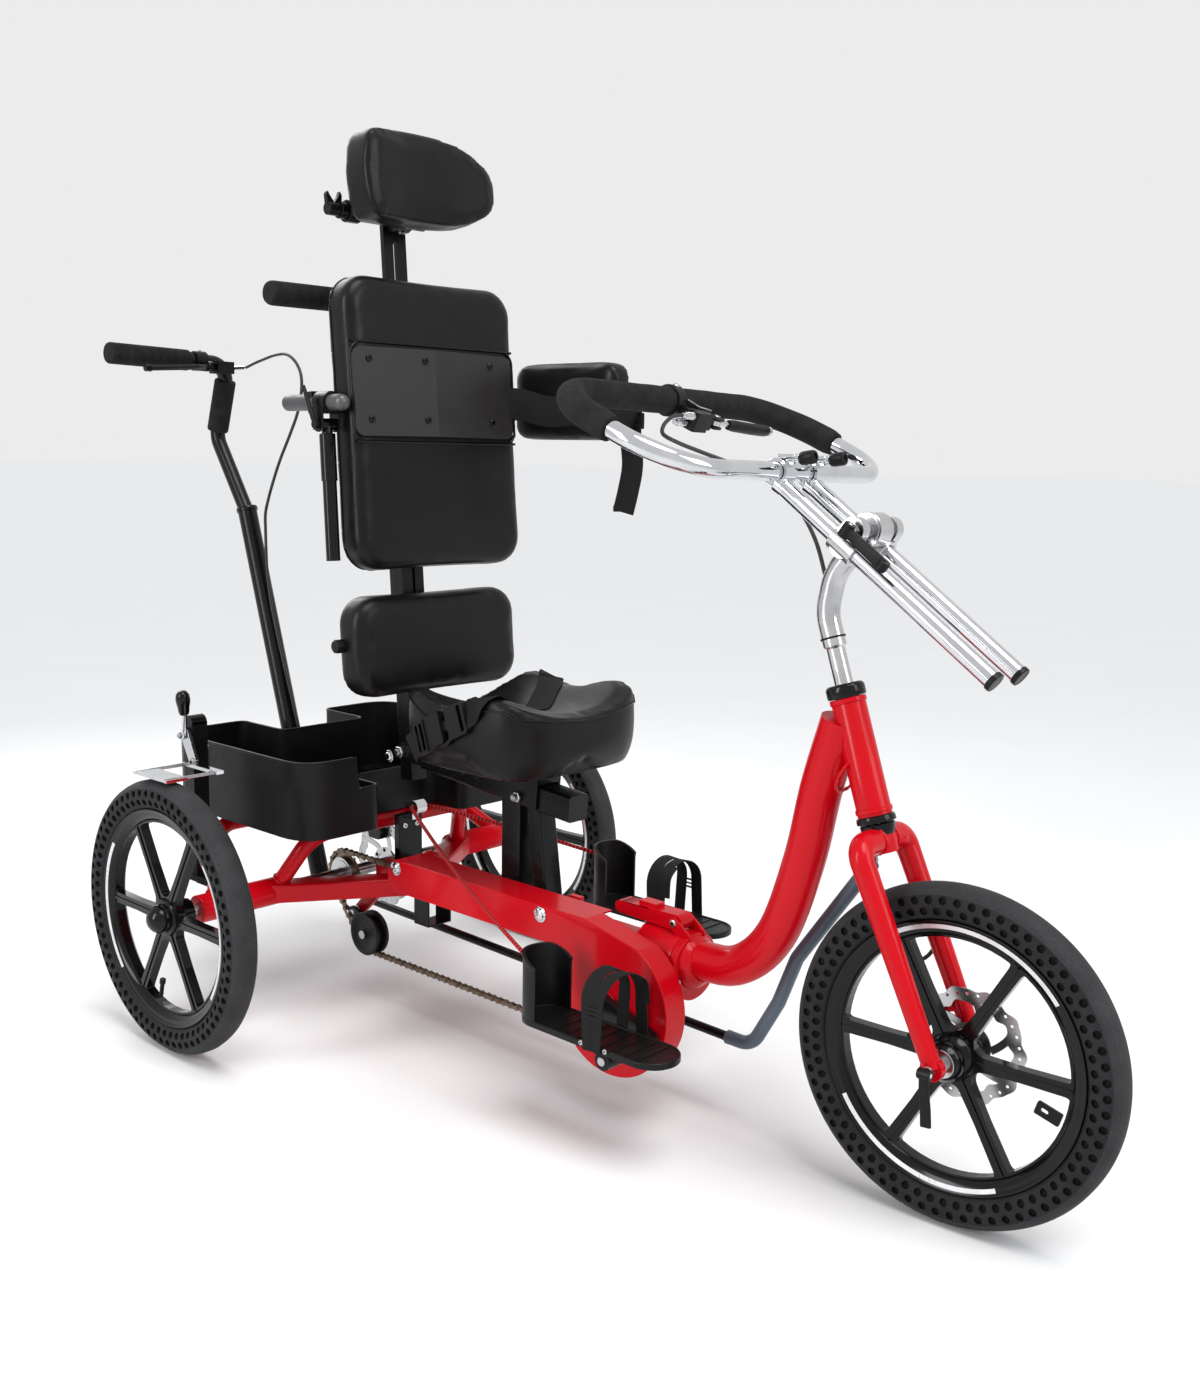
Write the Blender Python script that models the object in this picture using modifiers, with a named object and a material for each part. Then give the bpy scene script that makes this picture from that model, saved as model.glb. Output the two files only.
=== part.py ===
"""Adaptive tricycle with a supported seat, strapped foot plates and a steering push handle.

Metres. +X is forward, +Y is the rider's left and +Z is up. Everything is placed in design coordinates,
with X = 0 at the rear axle and Z = 0 on the ground. The root empty then moves the whole object, so that
its origin is the middle of its footprint.
"""

import math

import bmesh
import bpy
from mathutils import Matrix, Vector

# Clearances
GAP = 0.0003
RUNNING = 0.0006
SLIDING = 0.0005

# Wheels
WHEEL_RADIUS = 0.200
TYRE_WIDTH = 0.044
TYRE_BEAD = 0.160
RIM_INNER = 0.130
RIM_WIDTH = 0.030
SPOKES = 6
SPOKE_THICKNESS = 0.014
SPOKE_AT_HUB = 0.026
SPOKE_AT_RIM = 0.046
HUB_RADIUS = 0.024
WHEEL_STEPS = 28
WHEELBASE = 1.054
REAR_WHEEL_Y = 0.364
AXLE_RADIUS = 0.0095
REAR_HUB_INNER = 0.030
REAR_HUB_OUTER = 0.032
FRONT_HUB_HALF = 0.036
FRONT_PIN_RADIUS = 0.006

# Brake discs
ROTOR_RADIUS = 0.070
ROTOR_THICKNESS = 0.0018
ROTOR_WAVES = 8
FRONT_ROTOR_Y = 0.0394
REAR_ROTOR_Y = 0.030

# Steering head
HEAD_TILT = math.radians(18.8)
HEAD_LOW = Vector((0.939, 0.0, 0.451))
HEAD_LENGTH = 0.149
HEAD_RADIUS = 0.0205
STEERER_RADIUS = 0.0143
HEAD_BORE = STEERER_RADIUS + 0.0022
QUILL_RADIUS = 0.0110
QUILL_BORE = QUILL_RADIUS + GAP
CUP_HEIGHT = 0.009
CUP_RADIUS = 0.0235
FORK_HALF = 0.054
FORK_LEG_TOP = 0.0145
FORK_LEG_TIP = 0.011
CROWN_DROP = 0.030
REST_STEER = math.radians(3.76)

# Frame
BEAM_HALF_WIDTH = 0.020
BEAM_LOW = 0.178
BEAM_TOP = 0.235
BEAM_REAR = 0.050
COUPLING_X = 0.6655
COUPLING_Z = 0.207
COLLAR_RADIUS = 0.045
COLLAR_LENGTH = 0.065
FLANGE_RADIUS = 0.0455
FLANGE_THICKNESS = 0.012
DOWN_TUBE_RADIUS = 0.026
HOUSING_RADIUS = 0.021
HOUSING_INNER = 0.170
HOUSING_OUTER = 0.320
HOOP_RADIUS = 0.0125
HOOP_TOP = 0.290

# Drive
BRACKET_X = 0.600
BRACKET_Z = 0.158
BRACKET_RADIUS = 0.022
BRACKET_HALF = 0.034
SPINDLE_RADIUS = 0.0085
PITCH = 0.0127
RING_TEETH = 36
FREEWHEEL_TEETH = 18
CHAIN_Y = -0.050
TOOTH_THICKNESS = 0.0028
TOOTH_RISE = 0.0022
TOOTH_ROOT = 0.0040
CHAIN_HALF_HEIGHT = 0.0042
CHAIN_HALF_WIDTH = 0.0046
ROLLER_X = 0.060
ROLLER_Z = 0.115
ROLLER_PITCH = 0.030
CRANK_LENGTH = 0.085
CRANK_ANGLE = math.radians(-16)
CRANK_Y = 0.097
CRANK_THICKNESS = 0.012
PEDAL_PIN_RADIUS = 0.006
PEDAL_Y = 0.155
GUARD_Y = -0.086
GUARD_WALL = 0.003

# Seating
BACK_PIVOT = Vector((0.107, 0.0, 0.410))
RECLINE = math.radians(4.3)
POST_HALF = 0.015
POST_TOP = 0.700
SEAT_CENTRE_X = 0.350
SEAT_LENGTH = 0.300
SEAT_WIDTH = 0.320
SEAT_BOTTOM = 0.431
SEAT_BEAM_HALF = 0.019
SEAT_BEAM_FRONT = Vector((0.462, 0.0, 0.381))
SEAT_BEAM_BACK = Vector((0.150, 0.0, 0.408))
BASKET_WALL = 0.004
BASKET_LOW = HOOP_TOP + HOOP_RADIUS + SLIDING
BASKET_RIM = 0.420

# Handlebar
STEM_CLAMP = Vector((0.911, 0.0, 0.788))
REACH_SLOPE = math.radians(35.9)
REACH_LENGTH = 0.348
REACH_SPREAD = 0.034
BAR_RADIUS = 0.0111
FOAM_RADIUS = 0.017
LOOP_FRONT = Vector((0.806, 0.0, 0.850))
LOOP_SLOPE = math.radians(24)
LOOP_DEPTH = 0.208
LOOP_HALF_WIDTH = 0.240

# Push handle
COLUMN_FOOT = Vector((-0.134, 0.0, 0.152))
COLUMN_TILT = math.radians(-17.4)
COLUMN_RADIUS = 0.016

# Middle of the footprint along X, in design coordinates
MIDDLE_X = 0.4141

FLAT = (0.0, 0.0, 0.0)
SIDE = (math.pi / 2, 0.0, 0.0)
FRONT = (math.pi / 2, 0.0, math.pi / 2)
SIDEWAYS = Vector((0.0, 1.0, 0.0))
FORWARD = Vector((1.0, 0.0, 0.0))
UP = Vector((0.0, 0.0, 1.0))


def clear_scene():
    for old in list(bpy.data.objects):
        bpy.data.objects.remove(old)


def new_collection(name):
    made = bpy.data.collections.new(name)
    bpy.context.scene.collection.children.link(made)
    return made


clear_scene()
PARTS = new_collection("adaptive_tricycle")
CUTTERS = new_collection("cutters")
STRAIGHT = {}


def finish(name, colour, roughness, metallic=0.0):
    made = bpy.data.materials.new(name)
    made.use_nodes = True
    shader = made.node_tree.nodes["Principled BSDF"]
    shader.inputs["Base Color"].default_value = (*colour, 1.0)
    shader.inputs["Roughness"].default_value = roughness
    shader.inputs["Metallic"].default_value = metallic
    made.diffuse_color = (*colour, 1.0)
    return made


RED_PAINT = finish("red paint", (0.62, 0.02, 0.02), 0.22)
BLACK_PAINT = finish("black paint", (0.015, 0.015, 0.016), 0.35)
BLACK_PLASTIC = finish("black plastic", (0.02, 0.02, 0.021), 0.5)
GLOSS_BLACK = finish("gloss black plastic", (0.012, 0.012, 0.013), 0.2)
VINYL = finish("black vinyl", (0.018, 0.018, 0.019), 0.42)
WEBBING = finish("black webbing", (0.02, 0.02, 0.02), 0.85)
FOAM = finish("dark foam", (0.035, 0.035, 0.036), 0.9)
RUBBER = finish("tyre rubber", (0.045, 0.045, 0.047), 0.75)
CHROME = finish("chrome", (0.8, 0.8, 0.8), 0.12, 1.0)
STEEL = finish("brushed steel", (0.55, 0.55, 0.56), 0.32, 1.0)
BRONZED = finish("bronzed steel", (0.16, 0.11, 0.07), 0.35, 1.0)
BLUE_GREY = finish("blue grey sleeve", (0.16, 0.19, 0.23), 0.5)
CORD_RED = finish("red and black cord", (0.28, 0.03, 0.03), 0.8)


def group(name, place=(0.0, 0.0, 0.0), turn=(0.0, 0.0, 0.0), parent=None):
    """An empty on a joint's axis. Its place and turn are design coordinates, with the steering straight."""
    empty = bpy.data.objects.new(name, None)
    empty.empty_display_size = 0.03
    PARTS.objects.link(empty)
    empty.location = place
    empty.rotation_euler = turn
    if parent is not None:
        empty.parent = parent
        empty.matrix_parent_inverse = STRAIGHT[parent.name].inverted()
    basis = Matrix.Translation(Vector(place)) @ empty.rotation_euler.to_matrix().to_4x4()
    STRAIGHT[empty.name] = basis
    return empty


def attach(shape, parent):
    shape.parent = parent
    shape.matrix_parent_inverse = STRAIGHT[parent.name].inverted()


def helper(bm, name, smooth_angle=math.radians(38)):
    """A hidden shape in design coordinates, which becomes a piece or joins or cuts one."""
    mesh = bpy.data.meshes.new(name)
    bm.to_mesh(mesh)
    bm.free()
    mesh.shade_smooth()
    mesh.set_sharp_from_angle(angle=smooth_angle)
    shape = bpy.data.objects.new(name, mesh)
    CUTTERS.objects.link(shape)
    shape.hide_render = True
    shape.display_type = "WIRE"
    return shape


def boolean(shape, other, operation):
    step = shape.modifiers.new(operation.capitalize(), "BOOLEAN")
    step.operation = operation
    step.object = other
    step.solver = "EXACT"


def node(name, base, parent, material, add=(), cut=()):
    """Makes a named piece of the base shape, joined with the add shapes and then cut by the cut shapes."""
    CUTTERS.objects.unlink(base)
    PARTS.objects.link(base)
    base.name = name
    base.hide_render = False
    base.display_type = "TEXTURED"
    base.data.materials.append(material)
    for shape in add:
        boolean(base, shape, "UNION")
    for shape in cut:
        boolean(base, shape, "DIFFERENCE")
    for shape in (base, *add, *cut):
        attach(shape, parent)
    return base


def bevel(shape, width, segments=1):
    """Rounds the edges that are sharper than 40 degrees."""
    step = shape.modifiers.new("Bevel", "BEVEL")
    step.width = width
    step.segments = segments
    step.limit_method = "ANGLE"
    step.angle_limit = math.radians(40)
    return shape


def box(size, centre, turn=FLAT, edge=0.0):
    bm = bmesh.new()
    bmesh.ops.create_cube(bm, size=1.0)
    bmesh.ops.scale(bm, vec=Vector(size), verts=bm.verts)
    shape = helper(bm, "box")
    shape.location = centre
    shape.rotation_euler = turn
    return bevel(shape, edge) if edge else shape


def block(xs, ys, zs, edge=0.0):
    """A box between two values on each axis."""
    spans = (xs, ys, zs)
    size = [high - low for low, high in spans]
    centre = [(high + low) / 2 for low, high in spans]
    return box(size, centre, edge=edge)


def along(direction):
    return Vector(direction).to_track_quat("Z", "Y")


def aim(shape, centre, direction):
    """Puts a shape's local Z on a direction."""
    shape.location = centre
    shape.rotation_mode = "QUATERNION"
    shape.rotation_quaternion = along(direction)
    return shape


def strut(start, end, width, depth, edge=0.0):
    """A bar of rectangular section. Where it lies in the XZ plane its width is along Y."""
    start, end = Vector(start), Vector(end)
    bm = bmesh.new()
    bmesh.ops.create_cube(bm, size=1.0)
    bmesh.ops.scale(bm, vec=Vector((width, depth, (end - start).length)), verts=bm.verts)
    shape = aim(helper(bm, "strut"), (start + end) / 2, end - start)
    return bevel(shape, edge) if edge else shape


def rod(radius, start, end, sides=12, end_radius=None):
    """A round bar, or a cone where its end radius differs."""
    start, end = Vector(start), Vector(end)
    bm = bmesh.new()
    bmesh.ops.create_cone(
        bm,
        cap_ends=True,
        segments=sides,
        radius1=radius,
        radius2=radius if end_radius is None else end_radius,
        depth=(end - start).length,
    )
    return aim(helper(bm, "rod"), (start + end) / 2, end - start)


def across(radius, x, z, y_from, y_to, sides=12):
    """A round bar along Y."""
    return rod(radius, (x, y_from, z), (x, y_to, z), sides)


def turned(profile, centre, axis=SIDEWAYS, steps=12):
    """A profile of (radius, height) points turned about an axis. It closes on itself off the axis."""
    bm = bmesh.new()
    points = [bm.verts.new((radius, 0.0, height)) for radius, height in profile]
    for first, second in zip(points, points[1:]):
        bm.edges.new((first, second))
    if min(radius for radius, height in profile) > 0:
        bm.edges.new((points[-1], points[0]))
    shape = aim(helper(bm, "turned"), centre, axis)
    turn = shape.modifiers.new("Turn", "SCREW")
    turn.angle = 2 * math.pi
    turn.steps = steps
    turn.render_steps = steps
    turn.use_merge_vertices = True
    turn.merge_threshold = 0.00001
    turn.use_smooth_shade = True
    return shape


def ring(inner, outer, half, centre, axis=SIDEWAYS, steps=12):
    return turned([(outer, half), (outer, -half), (inner, -half), (inner, half)], centre, axis, steps)


def mesh_of_curve(data, name, place=(0.0, 0.0, 0.0), turn=FLAT):
    """Turns a bevelled or filled curve into a closed mesh, with its caps welded on."""
    curve = bpy.data.objects.new(name, data)
    curve.location = place
    curve.rotation_euler = turn
    CUTTERS.objects.link(curve)
    bpy.context.view_layer.update()
    graph = bpy.context.evaluated_depsgraph_get()
    mesh = bpy.data.meshes.new_from_object(curve.evaluated_get(graph))
    matrix = curve.matrix_world.copy()
    bpy.data.objects.remove(curve)
    bm = bmesh.new()
    bm.from_mesh(mesh)
    bpy.data.meshes.remove(mesh)
    bmesh.ops.remove_doubles(bm, verts=bm.verts, dist=0.00001)
    bmesh.ops.recalc_face_normals(bm, faces=bm.faces)
    shape = helper(bm, name)
    shape.matrix_world = matrix
    return shape


def bent_path(points, bend):
    """Straight runs between the points, with each inner corner rounded to the bend radius."""
    points = [Vector(point) for point in points]
    path = [points[0]]
    for before, corner, after in zip(points, points[1:], points[2:]):
        back = (before - corner).normalized()
        ahead = (after - corner).normalized()
        half = back.angle(ahead) / 2
        if half > math.radians(89):
            continue
        room = 0.48 * min((before - corner).length, (after - corner).length)
        reach = min(bend / math.tan(half), room)
        radius = reach * math.tan(half)
        centre = corner + (back + ahead).normalized() * radius / math.sin(half)
        start = corner + back * reach - centre
        end = corner + ahead * reach - centre
        sweep = start.angle(end)
        steps = max(2, math.ceil(sweep / math.radians(30)))
        for step in range(steps + 1):
            share = step / steps
            arc = start * math.sin((1 - share) * sweep) + end * math.sin(share * sweep)
            path.append(centre + arc / math.sin(sweep))
    path.append(points[-1])
    return path


def smooth_path(points, spacing):
    """Points at an even spacing on a smooth curve through the given points."""
    points = [Vector(point) for point in points]
    ends = [2 * points[0] - points[1], *points, 2 * points[-1] - points[-2]]
    path = []
    for before, start, end, after in zip(ends, ends[1:], ends[2:], ends[3:]):
        steps = max(2, round((end - start).length / spacing))
        for step in range(steps):
            t = step / steps
            path.append(
                0.5
                * (
                    2 * start
                    + (end - before) * t
                    + (2 * before - 5 * start + 4 * end - after) * t**2
                    + (3 * start - before - 3 * end + after) * t**3
                )
            )
    path.append(points[-1])
    return path


def pipe(path, radius, sides=12, closed=False):
    """A round tube along a path of points."""
    data = bpy.data.curves.new("pipe", "CURVE")
    data.dimensions = "3D"
    data.bevel_depth = radius
    data.bevel_resolution = (sides - 4) // 2
    data.use_fill_caps = not closed
    spline = data.splines.new("POLY")
    spline.points.add(len(path) - 1)
    for point, place in zip(spline.points, path):
        point.co = (*place, 1.0)
    spline.use_cyclic_u = closed
    return mesh_of_curve(data, "pipe")


def plate(loops, thickness, place=(0.0, 0.0, 0.0), turn=FLAT, edge=0.0):
    """A flat outline of one or more closed loops, thickened evenly about its plane."""
    data = bpy.data.curves.new("plate", "CURVE")
    data.dimensions = "2D"
    data.fill_mode = "BOTH"
    data.extrude = thickness / 2
    for loop in loops:
        spline = data.splines.new("POLY")
        spline.points.add(len(loop) - 1)
        for point, (u, v) in zip(spline.points, loop):
            point.co = (u, v, 0.0, 1.0)
        spline.use_cyclic_u = True
    shape = mesh_of_curve(data, "plate", place, turn)
    return bevel(shape, edge) if edge else shape


def arc(u, v, radius, start, end, steps):
    """Points on an arc, between two angles in degrees."""
    points = []
    for step in range(steps + 1):
        angle = math.radians(start + (end - start) * step / steps)
        points.append((u + radius * math.cos(angle), v + radius * math.sin(angle)))
    return points


def circle(u, v, radius, steps=12):
    return arc(u, v, radius, 0, 360 * (steps - 1) / steps, steps - 1)


def rounded(u_span, v_span, radius, steps=3):
    """A rectangle with round corners."""
    (u0, u1), (v0, v1) = u_span, v_span
    return [
        *arc(u1 - radius, v1 - radius, radius, 0, 90, steps),
        *arc(u0 + radius, v1 - radius, radius, 90, 180, steps),
        *arc(u0 + radius, v0 + radius, radius, 180, 270, steps),
        *arc(u1 - radius, v0 + radius, radius, 270, 360, steps),
    ]


def belt(circles, steps=6):
    """The outline of a band drawn tight round (u, v, radius) circles, given anticlockwise."""
    points = []
    count = len(circles)
    leaving = []
    for index, (u, v, radius) in enumerate(circles):
        u_next, v_next, next_radius = circles[(index + 1) % count]
        run = math.hypot(u_next - u, v_next - v)
        heading = math.atan2(v_next - v, u_next - u)
        leaving.append(heading - math.acos((radius - next_radius) / run))
    for index, (u, v, radius) in enumerate(circles):
        start = leaving[index - 1]
        end = leaving[index]
        while end < start:
            end += 2 * math.pi
        points += arc(u, v, radius, math.degrees(start), math.degrees(end), steps)
    return points


# Joint empties. A name ending in _axis marks a hinge, and _slide marks a sliding direction.
ROOT = group("tricycle_origin")
FRAME = group("frame", parent=ROOT)
HEAD_TURN = (0.0, -HEAD_TILT, 0.0)
STEERING = group("steering_axis", HEAD_LOW, HEAD_TURN, ROOT)
STEERING.rotation_mode = "ZYX"
BACKREST = group("recline_axis", BACK_PIVOT, (0.0, -RECLINE, 0.0), ROOT)
COLUMN = group("push_column_axis", COLUMN_FOOT, (0.0, COLUMN_TILT, 0.0), ROOT)


def steer(x, y, z):
    """A point given along the head tube: x ahead of its axis, y to the left and z up the axis."""
    return STRAIGHT["steering_axis"] @ Vector((x, y, z))


def back(x, y, z):
    """A point given along the backrest post, from its pivot."""
    return STRAIGHT["recline_axis"] @ Vector((x, y, z))


def column(x, y, z):
    """A point given along the push handle's column, from its foot."""
    return STRAIGHT["push_column_axis"] @ Vector((x, y, z))


HEAD_AXIS = steer(0, 0, 1) - steer(0, 0, 0)
STEER_FORWARD = steer(1, 0, 0) - steer(0, 0, 0)
POST_AXIS = back(0, 0, 1) - back(0, 0, 0)
POST_FORWARD = back(1, 0, 0) - back(0, 0, 0)
COLUMN_AXIS = column(0, 0, 1) - column(0, 0, 0)
BACK_TURN = (0.0, -RECLINE, 0.0)

FRONT_CENTRE = Vector((WHEELBASE, 0.0, WHEEL_RADIUS))
DROPOUT = STRAIGHT["steering_axis"].inverted() @ FRONT_CENTRE
CRANK = group("crank_axis", (BRACKET_X, 0.0, BRACKET_Z), parent=ROOT)
FREEWHEEL = group("freewheel_axis", (0.0, 0.0, WHEEL_RADIUS), parent=ROOT)
AXLE = group("rear_axle_axis", (0.0, 0.0, WHEEL_RADIUS), parent=ROOT)
LEFT_WHEEL = group("left_wheel_axis", (0.0, REAR_WHEEL_Y, WHEEL_RADIUS), parent=ROOT)
FRONT_WHEEL = group("front_wheel_axis", FRONT_CENTRE, parent=STEERING)


def spider_outline():
    """The hub disc and its tapered spokes, which widen where they meet the rim."""
    half_widths = (
        (HUB_RADIUS + 0.004, SPOKE_AT_HUB / 2),
        (0.070, 0.42 * SPOKE_AT_HUB),
        (RIM_INNER - 0.020, 0.50 * SPOKE_AT_HUB),
        (RIM_INNER + 0.006, SPOKE_AT_RIM / 2),
    )
    points = []
    for spoke in range(SPOKES):
        angle = 2 * math.pi * spoke / SPOKES
        sides = [(reach, -half) for reach, half in half_widths]
        sides += [(reach, half) for reach, half in reversed(half_widths)]
        for reach, across_spoke in sides:
            u = reach * math.cos(angle) - across_spoke * math.sin(angle)
            v = reach * math.sin(angle) + across_spoke * math.cos(angle)
            points.append((u, v))
    return points


def rim(centre):
    outer = TYRE_BEAD - GAP
    half = RIM_WIDTH / 2
    profile = [
        (outer, half),
        (outer, -half),
        (RIM_INNER + 0.012, -half),
        (RIM_INNER, 0.0),
        (RIM_INNER + 0.012, half),
    ]
    return turned(profile, centre, steps=WHEEL_STEPS)


def wheel(name, centre, hub, bore, parent):
    """A moulded wheel: spokes, rim and a turned hub, with its axle's bore cut through."""
    spokes = plate([spider_outline()], SPOKE_THICKNESS, centre, SIDE)
    return node(name, spokes, parent, GLOSS_BLACK, add=[rim(centre), hub], cut=[bore])


def tyre(name, centre, parent):
    half = TYRE_WIDTH / 2
    upper = [
        (WHEEL_RADIUS, 0.36 * half),
        (WHEEL_RADIUS - 0.007, 0.80 * half),
        (WHEEL_RADIUS - 0.019, half),
        (TYRE_BEAD, 0.66 * half),
    ]
    lower = [(radius, -height) for radius, height in upper]
    profile = [*reversed(upper), *lower]
    node(name, turned(profile, centre, steps=WHEEL_STEPS), parent, RUBBER)


def rear_wheel(side, label, parent):
    """A rear wheel on its side of the object, +1 left and -1 right, with a domed hub cap outside."""
    y = side * REAR_WHEEL_Y
    centre = Vector((0.0, y, WHEEL_RADIUS))
    profile = [
        (0.0, REAR_HUB_OUTER + 0.003),
        (0.012, REAR_HUB_OUTER),
        (0.021, REAR_HUB_OUTER - 0.010),
        (HUB_RADIUS, SPOKE_THICKNESS / 2 + 0.004),
        (HUB_RADIUS + 0.006, 0.0),
        (HUB_RADIUS - 0.003, -REAR_HUB_INNER),
        (0.0, -REAR_HUB_INNER),
    ]
    hub = turned(profile, centre, (0, side, 0))
    depth = REAR_HUB_OUTER - 0.006
    bore = rod(
        AXLE_RADIUS + GAP,
        centre - Vector((0, side * (REAR_HUB_INNER + 0.01), 0)),
        centre + Vector((0, side * depth, 0)),
    )
    wheel("rear_wheel_" + label, centre, hub, bore, parent)
    tyre("rear_tyre_" + label, centre, parent)


def rotor_loops():
    """The waved brake disc: its wavy edge and the windows between its arms."""
    points_per_wave = 4
    edge = []
    count = ROTOR_WAVES * points_per_wave
    for step in range(count):
        angle = 2 * math.pi * step / count
        radius = ROTOR_RADIUS - 0.0015 + 0.0015 * math.cos(ROTOR_WAVES * angle)
        edge.append((radius * math.cos(angle), radius * math.sin(angle)))
    loops = [edge]
    arms = 6
    for arm in range(arms):
        start = 360 * arm / arms + 9
        end = 360 * (arm + 1) / arms - 9
        outer = arc(0, 0, ROTOR_RADIUS - 0.018, start + 3, end - 3, 2)
        inner = arc(0, 0, 0.027, end - 5, start + 5, 1)
        loops.append([*outer, *inner])
    return loops


def rear_wheels():
    rear_wheel(1, "left", LEFT_WHEEL)
    rear_wheel(-1, "right", AXLE)
    reach = REAR_WHEEL_Y + REAR_HUB_OUTER - 0.006 - GAP
    shaft = across(AXLE_RADIUS, 0.0, WHEEL_RADIUS, -reach, reach)
    loops = [*rotor_loops(), circle(0, 0, 0.012)]
    rotor = plate(loops, ROTOR_THICKNESS, (0.0, REAR_ROTOR_Y, WHEEL_RADIUS), SIDE)
    boss = across(0.021, 0.0, WHEEL_RADIUS, REAR_ROTOR_Y - 0.0004, REAR_ROTOR_Y + 0.0095)
    collars = [
        across(0.015, 0.0, WHEEL_RADIUS, y - 0.004, y + 0.004)
        for y in (HOUSING_INNER - 0.0048, -HOUSING_INNER + 0.0048)
    ]
    node("rear_axle", rotor, AXLE, STEEL, add=[boss, shaft, *collars])


def front_wheel():
    profile = [
        (HUB_RADIUS - 0.006, FRONT_HUB_HALF),
        (HUB_RADIUS, FRONT_HUB_HALF - 0.012),
        (HUB_RADIUS + 0.006, 0.0),
        (HUB_RADIUS, -FRONT_HUB_HALF + 0.012),
        (HUB_RADIUS - 0.006, -FRONT_HUB_HALF),
        (0.004, -FRONT_HUB_HALF),
        (0.004, FRONT_HUB_HALF),
    ]
    hub = turned(profile, FRONT_CENTRE)
    reach = FRONT_HUB_HALF + 0.01
    bore = across(FRONT_PIN_RADIUS + GAP, WHEELBASE, WHEEL_RADIUS, -reach, reach)
    wheel("front_wheel", FRONT_CENTRE, hub, bore, FRONT_WHEEL)
    tyre("front_tyre", FRONT_CENTRE, FRONT_WHEEL)
    loops = [*rotor_loops(), circle(0, 0, 0.012, 12)]
    rotor = plate(loops, ROTOR_THICKNESS, (WHEELBASE, FRONT_ROTOR_Y, WHEEL_RADIUS), SIDE)
    half = (FRONT_ROTOR_Y + ROTOR_THICKNESS / 4 - FRONT_HUB_HALF - GAP) / 2
    carrier_y = FRONT_HUB_HALF + GAP + half
    carrier = ring(fit(FRONT_PIN_RADIUS, GAP), 0.020, half, (WHEELBASE, carrier_y, WHEEL_RADIUS))
    node("front_brake_disc", rotor, FRONT_WHEEL, STEEL, add=[carrier])


def axle_lever_parts():
    """The quick-release lever, which hangs against the fork's right dropout."""
    pivot = FRONT_CENTRE - Vector((0.0, FORK_HALF + FORK_LEG_TIP + 0.0088, 0.0))
    lever = group("axle_lever_axis", pivot, parent=STEERING)
    barrel = rod(0.0065, pivot - Vector((0.008, 0, 0)), pivot + Vector((0.008, 0, 0)), sides=16)
    arm = plate([belt([(0.0, 0.0, 0.0065), (0.006, -0.056, 0.006)], 5)], 0.005, pivot - Vector((0, 0.001, 0)), SIDE)
    node("axle_lever", barrel, lever, BLACK_PLASTIC, add=[arm])


def hoops(radius=HOOP_RADIUS):
    """The two arches over the axle that carry the basket and the push handle's column."""
    shapes = []
    for x_foot, y_foot, x_top, y_top in ((0.0, 0.185, 0.050, 0.150), (0.0, 0.290, -0.100, 0.215)):
        path = [(x_foot, side * y_foot, WHEEL_RADIUS) for side in (1, -1)]
        top = [(x_top, side * y_top, HOOP_TOP) for side in (1, -1)]
        path = [path[0], top[0], top[1], path[1]]
        shapes.append(pipe(bent_path(path, 0.045), radius, sides=10))
    return shapes


def rear_frame():
    beam = block(
        (BEAM_REAR, COUPLING_X - COLLAR_LENGTH + 0.01),
        (-BEAM_HALF_WIDTH, BEAM_HALF_WIDTH),
        (BEAM_LOW, BEAM_TOP),
        edge=0.004,
    )
    collar_start = (COUPLING_X - COLLAR_LENGTH, 0, COUPLING_Z)
    collar = rod(COLLAR_RADIUS, collar_start, (COUPLING_X - GAP, 0, COUPLING_Z), sides=24)
    bracket = across(BRACKET_RADIUS, BRACKET_X, BRACKET_Z, -BRACKET_HALF, BRACKET_HALF)
    tab_start = REAR_CALLIPER + Vector((0.0178, 0.0075, 0.008))
    tab = strut(tab_start, (0.046, tab_start.y, HOOP_TOP - 0.004), 0.010, 0.014)
    shapes = [tab, collar, bracket, *hoops()]
    for side in (1, -1):
        shapes.append(across(HOUSING_RADIUS, 0, WHEEL_RADIUS, side * HOUSING_INNER, side * HOUSING_OUTER))
        rail_end = (0.120, side * 0.010, WHEEL_RADIUS)
        shapes.append(strut((0.0, side * 0.192, WHEEL_RADIUS), rail_end, 0.030, 0.040, edge=0.003))
    sleeve_centre = column(0, 0, 0.128)
    sleeve = rod(COLUMN_RADIUS + 0.006, column(0, 0, 0.096), column(0, 0, 0.160))
    gusset = [
        (-0.095, HOOP_TOP - 0.010),
        (-0.095, HOOP_TOP + 0.008),
        (sleeve_centre.x + 0.012, sleeve_centre.z + 0.020),
        (sleeve_centre.x + 0.012, sleeve_centre.z - 0.026),
    ]
    shapes += [sleeve, plate([gusset], 0.010, turn=SIDE)]
    for x in GUARD_BOLTS:
        shapes.append(block((x - 0.011, x + 0.011), (-BEAM_HALF_WIDTH + 0.001, -0.010), (BEAM_TOP - 0.01, 0.262)))
    shapes += tensioner_mount()
    bores = [
        across(fit(AXLE_RADIUS, RUNNING), 0, WHEEL_RADIUS, side * 0.10, side * (HOUSING_OUTER + 0.02))
        for side in (1, -1)
    ]
    for side in (1, -1):
        bores.append(across(0.0165, 0, WHEEL_RADIUS, side * 0.10, side * HOUSING_INNER))
    bores.append(rod(fit(COLUMN_RADIUS, RUNNING), column(0, 0, 0.05), column(0, 0, 0.2)))
    bores.append(across(fit(SPINDLE_RADIUS, RUNNING), BRACKET_X, BRACKET_Z, -0.05, 0.05))
    node("rear_frame", beam, FRAME, RED_PAINT, add=shapes, cut=bores)


GUARD_BOLTS = (0.170, 0.475)
REAR_CALLIPER = Vector((-0.012, REAR_ROTOR_Y + 0.0005, WHEEL_RADIUS + 0.062))
TENSIONER_PIVOT = Vector((-0.002, -0.036, 0.131))


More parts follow.
